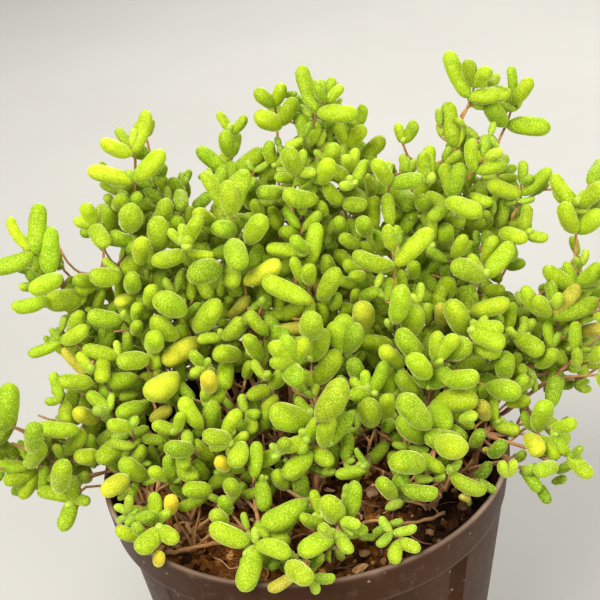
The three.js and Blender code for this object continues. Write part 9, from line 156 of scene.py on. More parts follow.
    ([[76,30,[379,115,1100,438,146,1215,449,157,1232,456,169,1237,479,230,1234,486,244,1238,492,248,1248,497,243,1264,512,188,1350,528,189,1387,551,201,1429,558,208,1437,565,224,1440,576,257,1432,601,357,1397,610,379,1396,613,361,1418,610,274,1494,612,250,1518,617,252,1529,634,290,1530,641,302,1534,651,298,1559,658,311,1563,683,397,1539,692,423,1542,693,405,1570,687,349,1616,672,212,1715]],[40,30,[613,361,1418,592,343,1509,590,347,1521,587,367,1536,583,366,1550,570,318,1602]],[40,30,[612,250,1518,616,218,1558,624,229,1568,618,163,1615]],[40,30,[588,307,1414,642,357,1493]],[37,30,[602,320,1434,615,370,1418,622,380,1425,626,329,1480,629,315,1500,661,277,1564]],[37,30,[592,343,1509,529,319,1550]],[37,30,[614,223,1550,602,158,1549,593,109,1558]],[40,30,[558,208,1437,554,212,1447,553,227,1451,561,373,1401,560,396,1401,551,367,1430,521,202,1551]],[37,30,[540,194,1409,639,219,1433,685,222,1468]],[37,30,[554,264,1441,433,290,1490]],[37,30,[540,194,1409,584,163,1443]],[37,30,[507,196,1332,644,201,1360]],[37,30,[507,196,1332,486,219,1414]],[37,30,[479,230,1234,486,298,1276,502,320,1332]],[28,30,[561,331,1530,528,234,1563]],[32,28,[683,397,1539,710,378,1562]],[32,28,[528,234,1563,517,257,1619]],[32,28,[590,347,1521,605,330,1531]]],
     [[570,318,1602,558,260,1702,138,0],[529,319,1550,522,247,1650,147,0],[521,202,1551,516,162,1661,135,4],[672,212,1715,789,264,1814,167,0],[672,212,1715,566,134,1819,200,0],[672,212,1715,634,194,1818,125,0],[618,163,1615,742,102,1675,183,0],[593,109,1558,542,72,1717,213,0],[584,163,1443,624,133,1528,119,0],[502,320,1332,562,349,1348,75,2],[502,320,1332,471,345,1393,75,2],[485,291,1289,497,397,1297,111,2],[485,291,1289,507,238,1372,111,2],[503,322,1337,518,317,1377,50,2],[503,322,1337,510,352,1366,50,2],[644,201,1360,722,209,1376,83,2],[648,200,1365,657,188,1411,57,2],[648,200,1365,691,198,1386,57,2],[661,277,1564,726,275,1564,71,2],[661,277,1564,655,261,1633,71,2],[630,284,1531,663,378,1607,119,2],[630,284,1531,655,174,1525,119,2],[665,275,1568,691,242,1587,55,2],[665,275,1568,698,280,1599,55,2],[642,357,1493,705,353,1506,74,2],[642,357,1493,633,371,1557,74,2],[646,358,1498,649,364,1543,54,2],[646,358,1498,683,356,1523,54,2],[486,219,1414,542,246,1417,70,2],[486,219,1414,477,212,1476,70,2],[490,220,1418,504,219,1460,53,2],[490,220,1418,527,238,1434,53,2],[685,222,1468,763,221,1445,85,2],[685,222,1468,681,227,1543,85,2],[638,220,1431,681,322,1484,132,2],[638,220,1431,688,112,1492,132,2],[690,221,1471,722,193,1498,60,2],[690,221,1471,730,237,1497,60,2],[433,290,1490,493,259,1522,75,2],[433,290,1490,396,314,1549,75,2],[435,290,1496,430,297,1540,53,2],[435,290,1496,465,282,1528,53,2],[626,229,1568,676,137,1582,121,1],[524,187,1379,601,131,1403,112,1],[619,306,1486,581,344,1426,92,1],[619,306,1486,686,277,1529,97,1],[542,202,1488,510,120,1523,108,1],[491,245,1484,432,296,1404,128,1],[568,189,1351,630,190,1280,107,1],[477,223,1283,538,248,1170,150,1],[528,234,1563,451,177,1511,125,2],[528,234,1563,536,165,1624,110,1],[710,378,1562,702,443,1650,135,2],[710,378,1562,722,347,1474,122,1],[517,257,1619,434,326,1655,135,2],[517,257,1619,563,285,1700,122,1],[605,330,1531,638,369,1610,135,2],[605,330,1531,595,294,1460,122,1],[672,210,1720,658,211,1778,87,8],[672,210,1720,684,172,1761,91,8]]),
    ([[66,30,[-446,102,1100,-485,110,1211,-518,111,1284,-535,114,1313,-562,135,1342,-581,123,1381,-589,131,1387,-600,155,1383,-640,279,1343,-650,300,1345,-663,318,1361,-668,323,1372,-671,316,1389,-673,296,1413,-676,208,1499,-680,202,1514,-686,208,1522,-690,204,1538,-682,122,1613]],[40,30,[-682,122,1613,-726,331,1503,-729,328,1510,-723,253,1568,-727,253,1575,-766,404,1514,-773,421,1513,-763,308,1598,-762,281,1621,-764,272,1633]],[37,30,[-766,404,1514,-763,411,1520,-757,403,1535,-719,274,1651]],[37,30,[-686,208,1522,-660,206,1574,-652,204,1582,-637,202,1583,-621,207,1576,-620,222,1561,-641,220,1547,-669,182,1551,-691,111,1574]],[40,30,[-671,316,1389,-662,306,1555]],[37,30,[-667,312,1456,-724,303,1452,-744,296,1453,-753,291,1460,-795,237,1613,-789,215,1654]],[40,30,[-628,243,1352,-651,303,1325,-660,311,1327,-670,246,1383,-681,223,1408,-710,219,1437,-740,202,1492]],[37,30,[-660,311,1327,-658,123,1448]],[26,30,[-764,272,1633,-775,277,1642,-796,309,1638,-797,280,1659]]],
     [[-764,272,1633,-709,220,1759,161,0],[-764,272,1633,-716,277,1689,85,0],[-789,215,1654,-911,201,1626,117,0],[-789,215,1654,-688,159,1728,142,0],[-789,215,1654,-825,240,1700,67,0],[-793,212,1632,-714,164,1544,109,4],[-719,274,1651,-711,258,1707,76,0],[-691,111,1574,-730,149,1644,99,0],[-691,111,1574,-687,86,1624,74,0],[-594,140,1611,-716,163,1650,132,0],[-594,140,1611,-598,168,1663,66,0],[-648,163,1609,-652,47,1576,141,0],[-658,123,1448,-660,94,1524,101,0],[-662,306,1555,-718,363,1537,89,2],[-662,306,1555,-664,304,1640,89,2],[-666,309,1559,-687,316,1603,58,2],[-666,309,1559,-703,340,1569,58,2],[-740,202,1492,-818,213,1489,79,2],[-740,202,1492,-726,241,1554,79,2],[-704,185,1455,-759,125,1537,131,2],[-704,185,1455,-745,286,1473,131,2],[-550,111,1342,-574,175,1371,85,1],[-656,149,1444,-700,212,1373,119,1],[-719,274,1651,-724,310,1614,66,1],[-797,280,1659,-779,304,1705,70,0],[-797,280,1659,-837,272,1627,61,1],[-762,271,1638,-761,269,1684,72,8],[-762,271,1638,-734,246,1671,73,8]]),
    ([[78,30,[41,141,1100,60,159,1237,70,176,1304,72,186,1311,74,204,1313,79,258,1308,81,271,1314,82,264,1332,85,224,1386,87,209,1424,100,237,1537,102,254,1597,102,260,1607,102,274,1612,103,301,1610,106,387,1588,106,412,1587,106,405,1603,102,296,1697,101,277,1719,99,269,1746,97,275,1765,97,285,1771,94,337,1778,93,337,1789,91,326,1806,88,287,1850]],[40,30,[105,371,1633,87,375,1646,49,361,1682,-39,348,1757]],[37,30,[77,372,1655,90,401,1717,91,403,1732,83,389,1772,81,377,1787,87,301,1793]],[40,30,[105,371,1633,99,412,1621,93,437,1617,87,449,1620,80,439,1634,72,369,1681,62,238,1758]],[37,30,[106,387,1588,163,370,1709]],[37,30,[87,449,1620,80,260,1693,81,224,1701,81,118,1749]],[37,30,[102,274,1612,99,361,1586,101,472,1544,102,484,1544,106,411,1593,110,189,1715]],[40,30,[102,250,1585,64,241,1613,38,244,1619,19,260,1613,2,287,1607,-7,303,1615,-24,334,1641]],[37,30,[102,250,1585,130,364,1541,141,387,1538,146,357,1562,148,211,1659]],[37,30,[102,250,1585,83,237,1613,78,221,1642,77,223,1657,77,235,1669,77,254,1678,78,265,1695,79,247,1727,79,200,1775]],[37,30,[56,241,1617,65,369,1594]],[37,30,[98,230,1512,109,228,1591]],[37,30,[93,220,1475,34,164,1545]],[40,30,[85,224,1386,82,241,1387,80,273,1379,71,370,1339,63,397,1331,55,394,1340,37,337,1390,29,317,1409,21,312,1419,6,325,1426,-30,386,1435,-29,433,1463]],[37,30,[55,394,1340,42,329,1433,29,302,1502]],[32,28,[101,243,1561,128,265,1567]],[32,28,[135,379,1649,127,347,1661]]],
     [[88,287,1850,-53,304,1879,125,0],[88,287,1850,43,238,1940,134,0],[62,238,1758,32,259,1855,117,0],[81,118,1749,-77,164,1833,195,0],[87,301,1793,132,371,1923,150,0],[79,200,1775,84,146,1871,132,0],[110,189,1715,179,148,1846,183,0],[163,370,1709,147,322,1813,137,0],[148,211,1659,174,190,1733,100,0],[109,228,1591,117,216,1692,118,0],[-29,433,1463,-8,514,1453,87,2],[-29,433,1463,-44,460,1533,87,2],[-32,381,1435,61,425,1531,150,2],[-29,438,1466,-9,476,1495,61,2],[-29,438,1466,-52,481,1481,61,2],[34,164,1545,-8,211,1570,92,2],[34,164,1545,38,133,1605,92,2],[32,165,1550,23,157,1599,59,2],[32,165,1550,5,194,1581,59,2],[-24,334,1641,-77,392,1625,91,2],[-24,334,1641,-8,355,1721,91,2],[-26,338,1645,-30,357,1690,58,2],[-26,338,1645,-58,372,1660,58,2],[29,302,1502,-15,300,1546,72,2],[29,302,1502,65,344,1540,72,2],[42,282,1459,71,220,1564,129,2],[27,304,1508,6,333,1536,54,2],[27,304,1508,31,305,1553,54,2],[-39,348,1757,-12,276,1790,82,2],[-39,348,1757,-69,387,1820,82,2],[-40,347,1763,-58,360,1804,56,2],[-40,347,1763,-38,324,1803,56,2],[65,369,1594,0,398,1642,73,2],[65,369,1594,119,359,1656,73,2],[64,369,1600,77,370,1645,56,2],[64,369,1600,38,381,1637,56,2],[21,312,1729,-42,248,1769,112,1],[136,320,1685,124,420,1671,117,1],[78,190,1736,50,155,1652,109,1],[-5,280,1622,-104,297,1638,117,1],[61,310,1606,122,344,1560,95,1],[68,195,1506,-53,202,1455,150,1],[-4,330,1434,64,381,1479,110,1],[163,370,1709,170,388,1635,91,1],[128,265,1567,159,277,1678,135,2],[128,265,1567,152,323,1492,122,1],[127,347,1661,75,423,1709,135,2],[127,347,1661,185,386,1607,122,1],[85,285,1853,64,289,1898,76,8],[85,285,1853,56,253,1872,71,8],[164,368,1713,189,356,1736,54,8],[164,368,1713,152,360,1753,59,8]]),
]


# ---- small tools ----------------------------------------------------------------------------
def smooth(a, b, x):
    t = np.clip((np.asarray(x, float) - a) / (b - a), 0.0, 1.0)
    return t * t * (3 - 2 * t)


def unit(v):
    return v / max(1e-9, float(np.linalg.norm(v)))


class Build:
    """Gathers closed shells, then makes one mesh object of them."""

    def __init__(self):
        self.v, self.q, self.t, self.c, self.a, self.n = [], [], [], [], [], 0

    def add(self, verts, quads, tris, colour, extra):
        verts = np.asarray(verts, float)
        n = len(verts)
        self.v.append(verts)
        if len(quads):
            self.q.append(np.asarray(quads, int) + self.n)
        if len(tris):
            self.t.append(np.asarray(tris, int) + self.n)
        col = np.asarray(colour, float)
        self.c.append(np.tile(col, (n, 1)) if col.ndim == 1 else col)
        ext = np.asarray(extra, float)
        self.a.append(np.full(n, float(ext)) if ext.ndim == 0 else ext)
        self.n += n

    def make(self, name, material, flat=False):
        v = np.concatenate(self.v) * MM
        faces = []
        if self.q:
            faces += np.concatenate(self.q).tolist()
        if self.t:
            faces += np.concatenate(self.t).tolist()
        me = bpy.data.meshes.new(name)
        me.from_pydata(v.tolist(), [], faces)
        me.update()
        me.polygons.foreach_set("use_smooth", [not flat] * len(me.polygons))
        col = np.concatenate(self.c)
        at = me.attributes.new("tint", "FLOAT_COLOR", "POINT")
        at.data.foreach_set("color", np.concatenate([col, np.ones((len(col), 1))], 1).ravel())
        at = me.attributes.new("along", "FLOAT", "POINT")
        at.data.foreach_set("value", np.concatenate(self.a))
        me.materials.append(material)
        ob = bpy.data.objects.new(name, me)
        bpy.context.collection.objects.link(ob)
        return ob


def place(ob, slot, *nodes):
    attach(ob, "root")
    if nodes:
        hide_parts(*nodes)
    return ob


# ---- materials ------------------------------------------------------------------------------
class Nodes:
    def __init__(self, name):
        self.mat = bpy.data.materials.new(name)
        self.mat.use_nodes = True
        self.tree = self.mat.node_tree
        self.shader = self.tree.nodes["Principled BSDF"]

    def node(self, kind, **values):
        n = self.tree.nodes.new(kind)
        for k, v in values.items():
            setattr(n, k, v)
        return n

    def link(self, a, b):
        self.tree.links.new(a, b)

    def place(self, scale=1000.0):
        """Object coordinates in millimetres."""
        c = self.node("ShaderNodeTexCoord")
        m = self.node("ShaderNodeMapping")
        m.inputs["Scale"].default_value = (scale, scale, scale)
        self.link(c.outputs["Object"], m.inputs["Vector"])
        return m.outputs["Vector"]

    def noise(self, vec, scale, detail=3.0, rough=0.55, distortion=0.0):
        n = self.node("ShaderNodeTexNoise")
        n.inputs["Scale"].default_value = scale
        n.inputs["Detail"].default_value = detail
        n.inputs["Roughness"].default_value = rough
        n.inputs["Distortion"].default_value = distortion
        self.link(vec, n.inputs["Vector"])
        return n.outputs["Fac"]

    def cells(self, vec, scale, feature="F1", smoothness=None, randomness=1.0):
        n = self.node("ShaderNodeTexVoronoi", feature=feature)
        n.inputs["Scale"].default_value = scale
        n.inputs["Randomness"].default_value = randomness
        if smoothness is not None and feature == "SMOOTH_F1":
            n.inputs["Smoothness"].default_value = smoothness
        self.link(vec, n.inputs["Vector"])
        return n

    def spread(self, fac, a, b, lo=0.0, hi=1.0):
        n = self.node("ShaderNodeMapRange")
        n.inputs["From Min"].default_value = a
        n.inputs["From Max"].default_value = b
        n.inputs["To Min"].default_value = lo
        n.inputs["To Max"].default_value = hi
        self.link(fac, n.inputs["Value"])
        return n.outputs["Result"]

    def math(self, op, a, b=None):
        n = self.node("ShaderNodeMath", operation=op)
        for i, x in enumerate((a, b)):
            if x is None:
                continue
            if isinstance(x, (int, float)):
                n.inputs[i].default_value = x
            else:
                self.link(x, n.inputs[i])
        return n.outputs[0]

    def mix(self, fac, a, b, blend="MIX"):
        n = self.node("ShaderNodeMix", data_type="RGBA", blend_type=blend)
        for key, x in ((0, fac), (6, a), (7, b)):
            if isinstance(x, (int, float)):
                n.inputs[key].default_value = x
            elif isinstance(x, tuple):
                n.inputs[key].default_value = (*x, 1.0)
            else:
                self.link(x, n.inputs[key])
        return n.outputs[2]

    def attr(self, name, out="Color"):
        n = self.node("ShaderNodeAttribute", attribute_name=name)
        return n.outputs[out]

    def bump(self, *layers):
        """layers: (height, strength, distance in mm); the first is the coarsest"""
        normal = None
        for height, strength, distance in layers:
            b = self.node("ShaderNodeBump")
            b.inputs["Strength"].default_value = strength
            b.inputs["Distance"].default_value = distance * MM
            self.link(height, b.inputs["Height"])
            if normal is not None:
                self.link(normal, b.inputs["Normal"])
            normal = b.outputs["Normal"]
        self.link(normal, self.shader.inputs["Normal"])

    def set(self, **values):
        names = {
            "rough": "Roughness", "sheen": "Sheen Weight", "sheen_rough": "Sheen Roughness",
            "sheen_tint": "Sheen Tint", "sss": "Subsurface Weight", "sss_scale": "Subsurface Scale",
            "sss_radius": "Subsurface Radius", "ior": "IOR", "spec": "Specular IOR Level",
            "coat": "Coat Weight", "coat_rough": "Coat Roughness", "metal": "Metallic",
            "spec_tint": "Specular Tint",
        }
        for k, v in values.items():
            s = self.shader.inputs[names[k]]
            if isinstance(v, (int, float)):
                s.default_value = v
            elif isinstance(v, tuple):
                s.default_value = v
            else:
                self.link(v, s)

    def base(self, colour):
        self.link(colour, self.shader.inputs["Base Color"])


def leaf_material(name="leaf"):
    m = Nodes(name)
    p = m.place()
    tint = m.attr("tint")
    along = m.attr("along", "Fac")
    # blotches of lighter and darker flesh and a darker foot
    blotch = m.noise(p, 0.55, 2.0, 0.5)
    col = m.mix(m.spread(blotch, 0.35, 0.7), m.mix(1.0, tint, (0.80, 0.86, 0.72), "MULTIPLY"), m.mix(1.0, tint, (1.10, 1.07, 1.15), "MULTIPLY"))
    foot = m.spread(along, 0.0, 0.32, 0.42, 0.0)
    col = m.mix(foot, col, m.mix(1.0, tint, (0.60, 0.66, 0.55), "MULTIPLY"))
    # blisters: small clear water cells that stand out of the skin and glisten
    wob = m.noise(p, 1.3, 1.0, 0.5)
    cell = m.cells(p, 3.8, "F1")
    dot = m.spread(cell.outputs["Distance"], 0.42, 0.17)
    fine = m.cells(p, 6.4, "F1")
    dot2 = m.spread(fine.outputs["Distance"], 0.42, 0.10)
    # pale dots on the cells: their frosty colour, partly painted glints
    light = m.math("MULTIPLY", m.math("MULTIPLY", dot, m.spread(wob, 0.3, 0.6, 0.55, 1.0)), 0.68)
    col = m.mix(light, col, m.mix(0.62, tint, (0.88, 1.00, 0.28)))
    col = m.mix(m.math("MULTIPLY", dot2, 0.22), col, m.mix(0.5, tint, (0.80, 0.95, 0.22)))
    # darker between the cells: the bare flesh, partly painted shade in the hollows
    between_cells_flesh_and_shade = m.spread(cell.outputs["Distance"], 0.46, 0.8, 0.0, 0.35)
    col = m.mix(between_cells_flesh_and_shade, col, m.mix(1.0, col, (0.55, 0.62, 0.45), "MULTIPLY"))
    m.base(col)
    rough = m.spread(dot, 0.0, 1.0, 0.56, 0.36)
    m.set(rough=rough, ior=1.34, spec=0.28, spec_tint=(1.0, 1.0, 0.6, 1.0), sheen=1.0, sheen_rough=0.30, sheen_tint=(0.94, 1.0, 0.30, 1.0),
          sss=0.22, sss_scale=0.9 * MM, sss_radius=(0.9, 1.1, 0.08))
    m.bump((m.noise(p, 0.9, 2.0, 0.5), 0.12, 0.15), (dot, 0.40, 0.09), (dot2, 0.2, 0.04))
    return m.mat


def stem_material():
    m = Nodes("stem")
    p = m.place()
    along = m.attr("along", "Fac")       # height above the soil, 0 to 1
    tint = m.attr("tint")
    streak = m.noise(p, 1.6, 4.0, 0.6, 0.4)
    col = m.mix(m.spread(streak, 0.3, 0.7), (0.290, 0.120, 0.032), (0.60, 0.310, 0.105))
    low = m.mix(m.spread(m.noise(p, 2.4, 3.0), 0.35, 0.65), (0.130, 0.052, 0.014), (0.40, 0.190, 0.058))
    col = m.mix(m.spread(along, 0.0, 0.30, 1.0, 0.0), col, low)
    col = m.mix(1.0, col, tint, "MULTIPLY")
    m.base(col)
    m.set(rough=m.spread(streak, 0.3, 0.7, 0.72, 0.5), sheen=0.25, sheen_rough=0.5, sheen_tint=(1.0, 0.85, 0.7, 1.0),
          sss=0.06, sss_scale=0.4 * MM, sss_radius=(1.0, 0.5, 0.25))
    m.bump((m.noise(p, 2.2, 3.0, 0.6), 0.6, 0.14), (m.noise(p, 7.0, 2.0), 0.4, 0.05))
    return m.mat


def pot_material():
    m = Nodes("pot_plastic")
    p = m.place()
    along = m.attr("along", "Fac")       # 1 on the lip and other edges: a painted highlight, with some real wear
    big = m.noise(p, 0.045, 3.0, 0.6)
    mid = m.noise(p, 0.35, 5.0, 0.65)
    col = m.mix(m.spread(big, 0.35, 0.65), (0.031, 0.0105, 0.0030), (0.050, 0.0185, 0.0068))
    # dried water and dust: soft pale clouds and specks
    dust = m.math("MULTIPLY", m.spread(mid, 0.52, 0.80, 0.0, 0.45), m.spread(m.noise(p, 0.12, 2.0), 0.42, 0.62))
    col = m.mix(dust, col, (0.20, 0.135, 0.095))
    speck = m.cells(p, 0.62, "F1")
    hit = m.math("MULTIPLY", m.spread(speck.outputs["Distance"], 0.20, 0.10), m.spread(m.noise(p, 0.21, 1.0), 0.57, 0.63, 0.0, 0.75))
    col = m.mix(m.math("MULTIPLY", hit, 0.75), col, (0.40, 0.33, 0.27))
    # short scuffs, drawn out along the wall
    c = m.node("ShaderNodeTexCoord")
    mp = m.node("ShaderNodeMapping")
    mp.inputs["Scale"].default_value = (620.0, 620.0, 190.0)
    mp.inputs["Rotation"].default_value = (0.5, 0.35, 0.0)
    m.link(c.outputs["Object"], mp.inputs["Vector"])
    scuff = m.spread(m.noise(mp.outputs["Vector"], 1.0, 3.0, 0.7), 0.64, 0.74)
    scuff = m.math("MULTIPLY", scuff, m.spread(m.noise(p, 0.10, 2.0), 0.46, 0.62, 0.0, 0.42))
    col = m.mix(scuff, col, (0.26, 0.205, 0.165))
    # pale line on the lip and edges: painted highlight, partly real wear
    col = m.mix(m.math("MULTIPLY", along, 0.80), col, (0.42, 0.31, 0.235))
    m.base(col)
    rough = m.spread(mid, 0.3, 0.7, 0.38, 0.52)
    m.set(rough=rough, ior=1.46, spec=0.15, spec_tint=(1.0, 0.84, 0.66, 1.0))
    m.bump((m.noise(p, 0.22, 2.0, 0.5), 0.25, 0.35), (m.noise(p, 5.0, 2.0, 0.6), 0.18, 0.05))
    return m.mat


def soil_material():
    m = Nodes("soil")
    p = m.place()
    tint = m.attr("tint")
    n1 = m.noise(p, 0.75, 6.0, 0.7)
    n2 = m.noise(p, 3.6, 5.0, 0.65)
    col = m.mix(m.spread(n1, 0.35, 0.68), (0.020, 0.0060, 0.0014), (0.200, 0.068, 0.011))
    col = m.mix(m.spread(n2, 0.52, 0.70, 0.0, 0.8), col, (0.42, 0.180, 0.038))
    col = m.mix(1.0, col, tint, "MULTIPLY")
    m.base(col)
    m.set(rough=m.spread(n2, 0.3, 0.7, 0.98, 0.75), spec=0.12)
    m.bump((n1, 0.9, 0.9), (n2, 0.8, 0.3), (m.noise(p, 11.0, 3.0), 0.5, 0.08))
    return m.mat


def crumb_material():
    m = Nodes("crumb")
    p = m.place()
    tint = m.attr("tint")
    n1 = m.noise(p, 2.2, 5.0, 0.65)
    col = m.mix(m.spread(n1, 0.3, 0.7), m.mix(1.0, tint, (0.45, 0.42, 0.38), "MULTIPLY"), m.mix(1.0, tint, (1.35, 1.3, 1.25), "MULTIPLY"))
    m.base(col)
    m.set(rough=m.spread(n1, 0.3, 0.7, 0.95, 0.75), spec=0.12)
    m.bump((n1, 0.8, 0.35), (m.noise(p, 9.0, 3.0), 0.6, 0.1))
    return m.mat


def dry_material():
    m = Nodes("dry_stem")
    p = m.place()
    tint = m.attr("tint")
    n1 = m.noise(p, 1.8, 5.0, 0.65, 0.6)
    col = m.mix(m.spread(n1, 0.3, 0.72), m.mix(1.0, tint, (0.42, 0.38, 0.34), "MULTIPLY"), m.mix(1.0, tint, (1.25, 1.2, 1.15), "MULTIPLY"))
    m.base(col)
    m.set(rough=m.spread(n1, 0.3, 0.7, 0.8, 0.52), sheen=0.12, sheen_rough=0.5)
    m.bump((n1, 0.8, 0.2), (m.noise(p, 8.0, 3.0), 0.5, 0.07))
    return m.mat


LEAF = leaf_material()
STEM = stem_material()
POT = pot_material()
SOIL = soil_material()
CRUMB = crumb_material()
DRY = dry_material()

# ---- leaves ---------------------------------------------------------------------------------
# flesh colours, linear: fresh, shaded, pale, yellow, ripe yellow, ochre
FRESH = np.array([0.272, 0.402, 0.003])
LIME = np.array([0.385, 0.505, 0.005])
DEEP = np.array([0.125, 0.220, 0.004])
PALE = np.array([0.430, 0.570, 0.075])
YELLOW = np.array([0.640, 0.600, 0.030])
RIPE = np.array([0.780, 0.580, 0.030])
OCHRE = np.array([0.500, 0.330, 0.050])


def leaf_shell(build, b, t, r, kind, rng):
    d = t - b
    length = float(np.linalg.norm(d))
    u = d / length
    front = kind != 2 and kind != 1
    sides, rings = (18, 14) if front else (12, 10)
    if length < 3.2:
        sides, rings = sides - 4, rings - 2
    if kind == 8:
        sides, rings = 11, 9
    up = np.array([0.0, 0.0, 1.0])
    side = np.cross(up, u)
    side = unit(side) if np.linalg.norm(side) > 0.25 else unit(np.cross(np.array([1.0, 0.0, 0.0]), u))
    x = side
    y = np.cross(u, x)
    turn = rng.normal(0, 0.35)
    x, y = x * math.cos(turn) + y * math.sin(turn), y * math.cos(turn) - x * math.sin(turn)
    flat = rng.uniform(0.84, 0.95)
    s = (1 - np.cos(np.linspace(0, math.pi, rings + 1))) / 2
    s[0], s[-1] = 0.0, 1.0
    tipcap = min(0.48, 1.12 * r / length)
    footcap = min(0.5, 1.38 * r / length)
    a = np.clip((footcap - s) / footcap, 0, 1)
    c = np.clip((s - (1 - tipcap)) / tipcap, 0, 1)
    f = np.maximum(0, 1 - a**2.1) ** 0.5 * np.maximum(0, 1 - c**2.2) ** 0.5
    belly = 0.88 + 0.12 * np.sin(np.pi * np.clip(s, 0, 1) ** 1.15)
    f = f * belly * (0.87 + 0.13 * smooth(0.0, 0.45, s))
    th = np.linspace(0, 2 * math.pi, sides, endpoint=False)
    ph = rng.uniform(0, 6.28, 4)
    k = rng.normal(0.02, 0.035)
    k2 = rng.normal(0.0, 0.02)
    verts = [b]
    for i in range(1, rings):
        lump = 1 + 0.022 * np.sin(2 * th + ph[0] + 5 * s[i]) + 0.018 * np.sin(3 * th + ph[1] - 8 * s[i]) + 0.012 * np.sin(5 * th + ph[2] + 11 * s[i])
        rr = r * f[i] * lump
        bend = 4 * s[i] * (1 - s[i]) * length
        centre = b + d * s[i] - y * (k * bend) + x * (k2 * bend)
        verts.append(centre + np.outer(rr * np.cos(th), x) + np.outer(rr * flat * np.sin(th), y))
    verts.append(t)
    v = np.concatenate([np.atleast_2d(q) for q in verts])
    kk = np.arange(sides)
    k3 = (kk + 1) % sides
    quads = np.concatenate([
        np.stack([1 + i * sides + kk, 1 + i * sides + k3, 1 + (i + 1) * sides + k3, 1 + (i + 1) * sides + kk], 1)
        for i in range(rings - 2)])
    last = len(v) - 1
    o = 1 + (rings - 2) * sides
    tris = np.concatenate([np.stack([np.zeros(sides, int), 1 + k3, 1 + kk], 1), np.stack([o + kk, o + k3, np.full(sides, last)], 1)])
    # colour
    young = 1 - float(smooth(2.2, 5.2, length))
    mixer = rng.uniform()
    col = FRESH * (1 - mixer) + LIME * mixer
    col = col * (1 - 0.5 * young) + PALE * 0.5 * young
    if rng.uniform() < 0.22:
        shade = rng.uniform(0.15, 0.45)
        col = col * (1 - shade) + DEEP * shade
    # inner and filling leaves are mixed towards deep green: painted shade inside the plant
    if kind in (1, 2):
        col = col * 0.66 + DEEP * 0.34
    # leaves low in the plant, and more so towards the front, are mixed towards deep green: painted shade under the
    # foliage
    low = 1 - float(smooth(60, 84, (b[2] + t[2]) / 2 + 0.20 * (b[1])))
    col = col * (1 - 0.22 * low) + DEEP * 0.22 * low
    if kind == 3:
        col = col * 0.35 + YELLOW * 0.65
    elif kind == 7:
        col = col * 0.05 + RIPE * 0.95
    elif kind == 4:
        col = col * 0.38 + OCHRE * 0.62
    elif kind == 5:
        col = col * 0.4 + PALE * 0.6
    elif kind == 8:
        col = col * 0.55 + PALE * 0.45
    # kind 6: leaves in shadow low in the plant, painted dark: painted shade
    elif kind == 6:
        col = col * 0.3 + DEEP * 0.7
    col = col * rng.uniform(0.90, 1.10) * np.array([rng.uniform(0.93, 1.07), 1.0, rng.uniform(0.8, 1.2)])
    along = np.concatenate([[0.0], np.repeat(s[1:rings], sides), [1.0]])
    build.add(v, quads, tris, col, along)


# ---- stems ----------------------------------------------------------------------------------
def resample(points, step):
    """A smooth line through the points."""
    p = np.asarray(points, float)
    if len(p) < 3:
        n = max(2, int(np.linalg.norm(p[-1] - p[0]) / step) + 1)
        t = np.linspace(0, 1, n)[:, None]
        return p[0] * (1 - t) + p[-1] * t
    out = []
    for i in range(len(p) - 1):
        p0 = p[i - 1] if i else 2 * p[0] - p[1]
        p1, p2 = p[i], p[i + 1]
        p3 = p[i + 2] if i + 2 < len(p) else 2 * p[-1] - p[-2]
        n = max(1, int(round(np.linalg.norm(p2 - p1) / step)))
        for k in range(n):
            t = k / n
            out.append(0.5 * (2 * p1 + (p2 - p0) * t + (2 * p0 - 5 * p1 + 4 * p2 - p3) * t * t + (3 * p1 - p0 - 3 * p2 + p3) * t**3))
    out.append(p[-1])
    return np.array(out)


def tube_shell(build, pts, radii, sides, colour, along, rough=0.0, rng=None):
    n = len(pts)
    tang = np.gradient(pts, axis=0)
    tang /= np.maximum(1e-9, np.linalg.norm(tang, axis=1))[:, None]
    ref = np.array([1.0, 0.0, 0.0]) if abs(tang[0][0]) < 0.8 else np.array([0.0, 1.0, 0.0])
    th = np.linspace(0, 2 * math.pi, sides, endpoint=False)
    rings = []
    u = ref
    for i in range(n):
        t = tang[i]
        u = unit(u - t * float(u @ t))
        w = np.cross(t, u)
        rr = np.full(sides, radii[i])
        if rough and rng is not None:
            rr = rr * (1 + rng.normal(0, rough, sides))
        rings.append(pts[i] + np.outer(rr * np.cos(th), u) + np.outer(rr * np.sin(th), w))
    start = pts[0] - tang[0] * radii[0] * 0.5
    end = pts[-1] + tang[-1] * radii[-1] * 0.6
    v = np.concatenate([start[None], *rings, end[None]])
    kk = np.arange(sides)
    k3 = (kk + 1) % sides
    quads = np.concatenate([
        np.stack([1 + i * sides + kk, 1 + i * sides + k3, 1 + (i + 1) * sides + k3, 1 + (i + 1) * sides + kk], 1)
        for i in range(n - 1)])
    o = 1 + (n - 1) * sides
    tris = np.concatenate([np.stack([np.zeros(sides, int), 1 + k3, 1 + kk], 1), np.stack([o + kk, o + k3, np.full(sides, len(v) - 1)], 1)])
    al = np.asarray(along, float)
    al = np.concatenate([[al[0]], np.repeat(al, sides), [al[-1]]]) if al.ndim else al
    build.add(v, quads, tris, colour, al)


def soil_height(x, y):
    return SOIL_LEVEL + SOIL_BUMP * (0.6 * np.sin(x * 0.23 + 1.1) * np.cos(y * 0.19 - 0.4)
                                     + 0.4 * np.sin(x * 0.41 - y * 0.37 + 2.0)) - 0.0006 * (x * x + y * y)


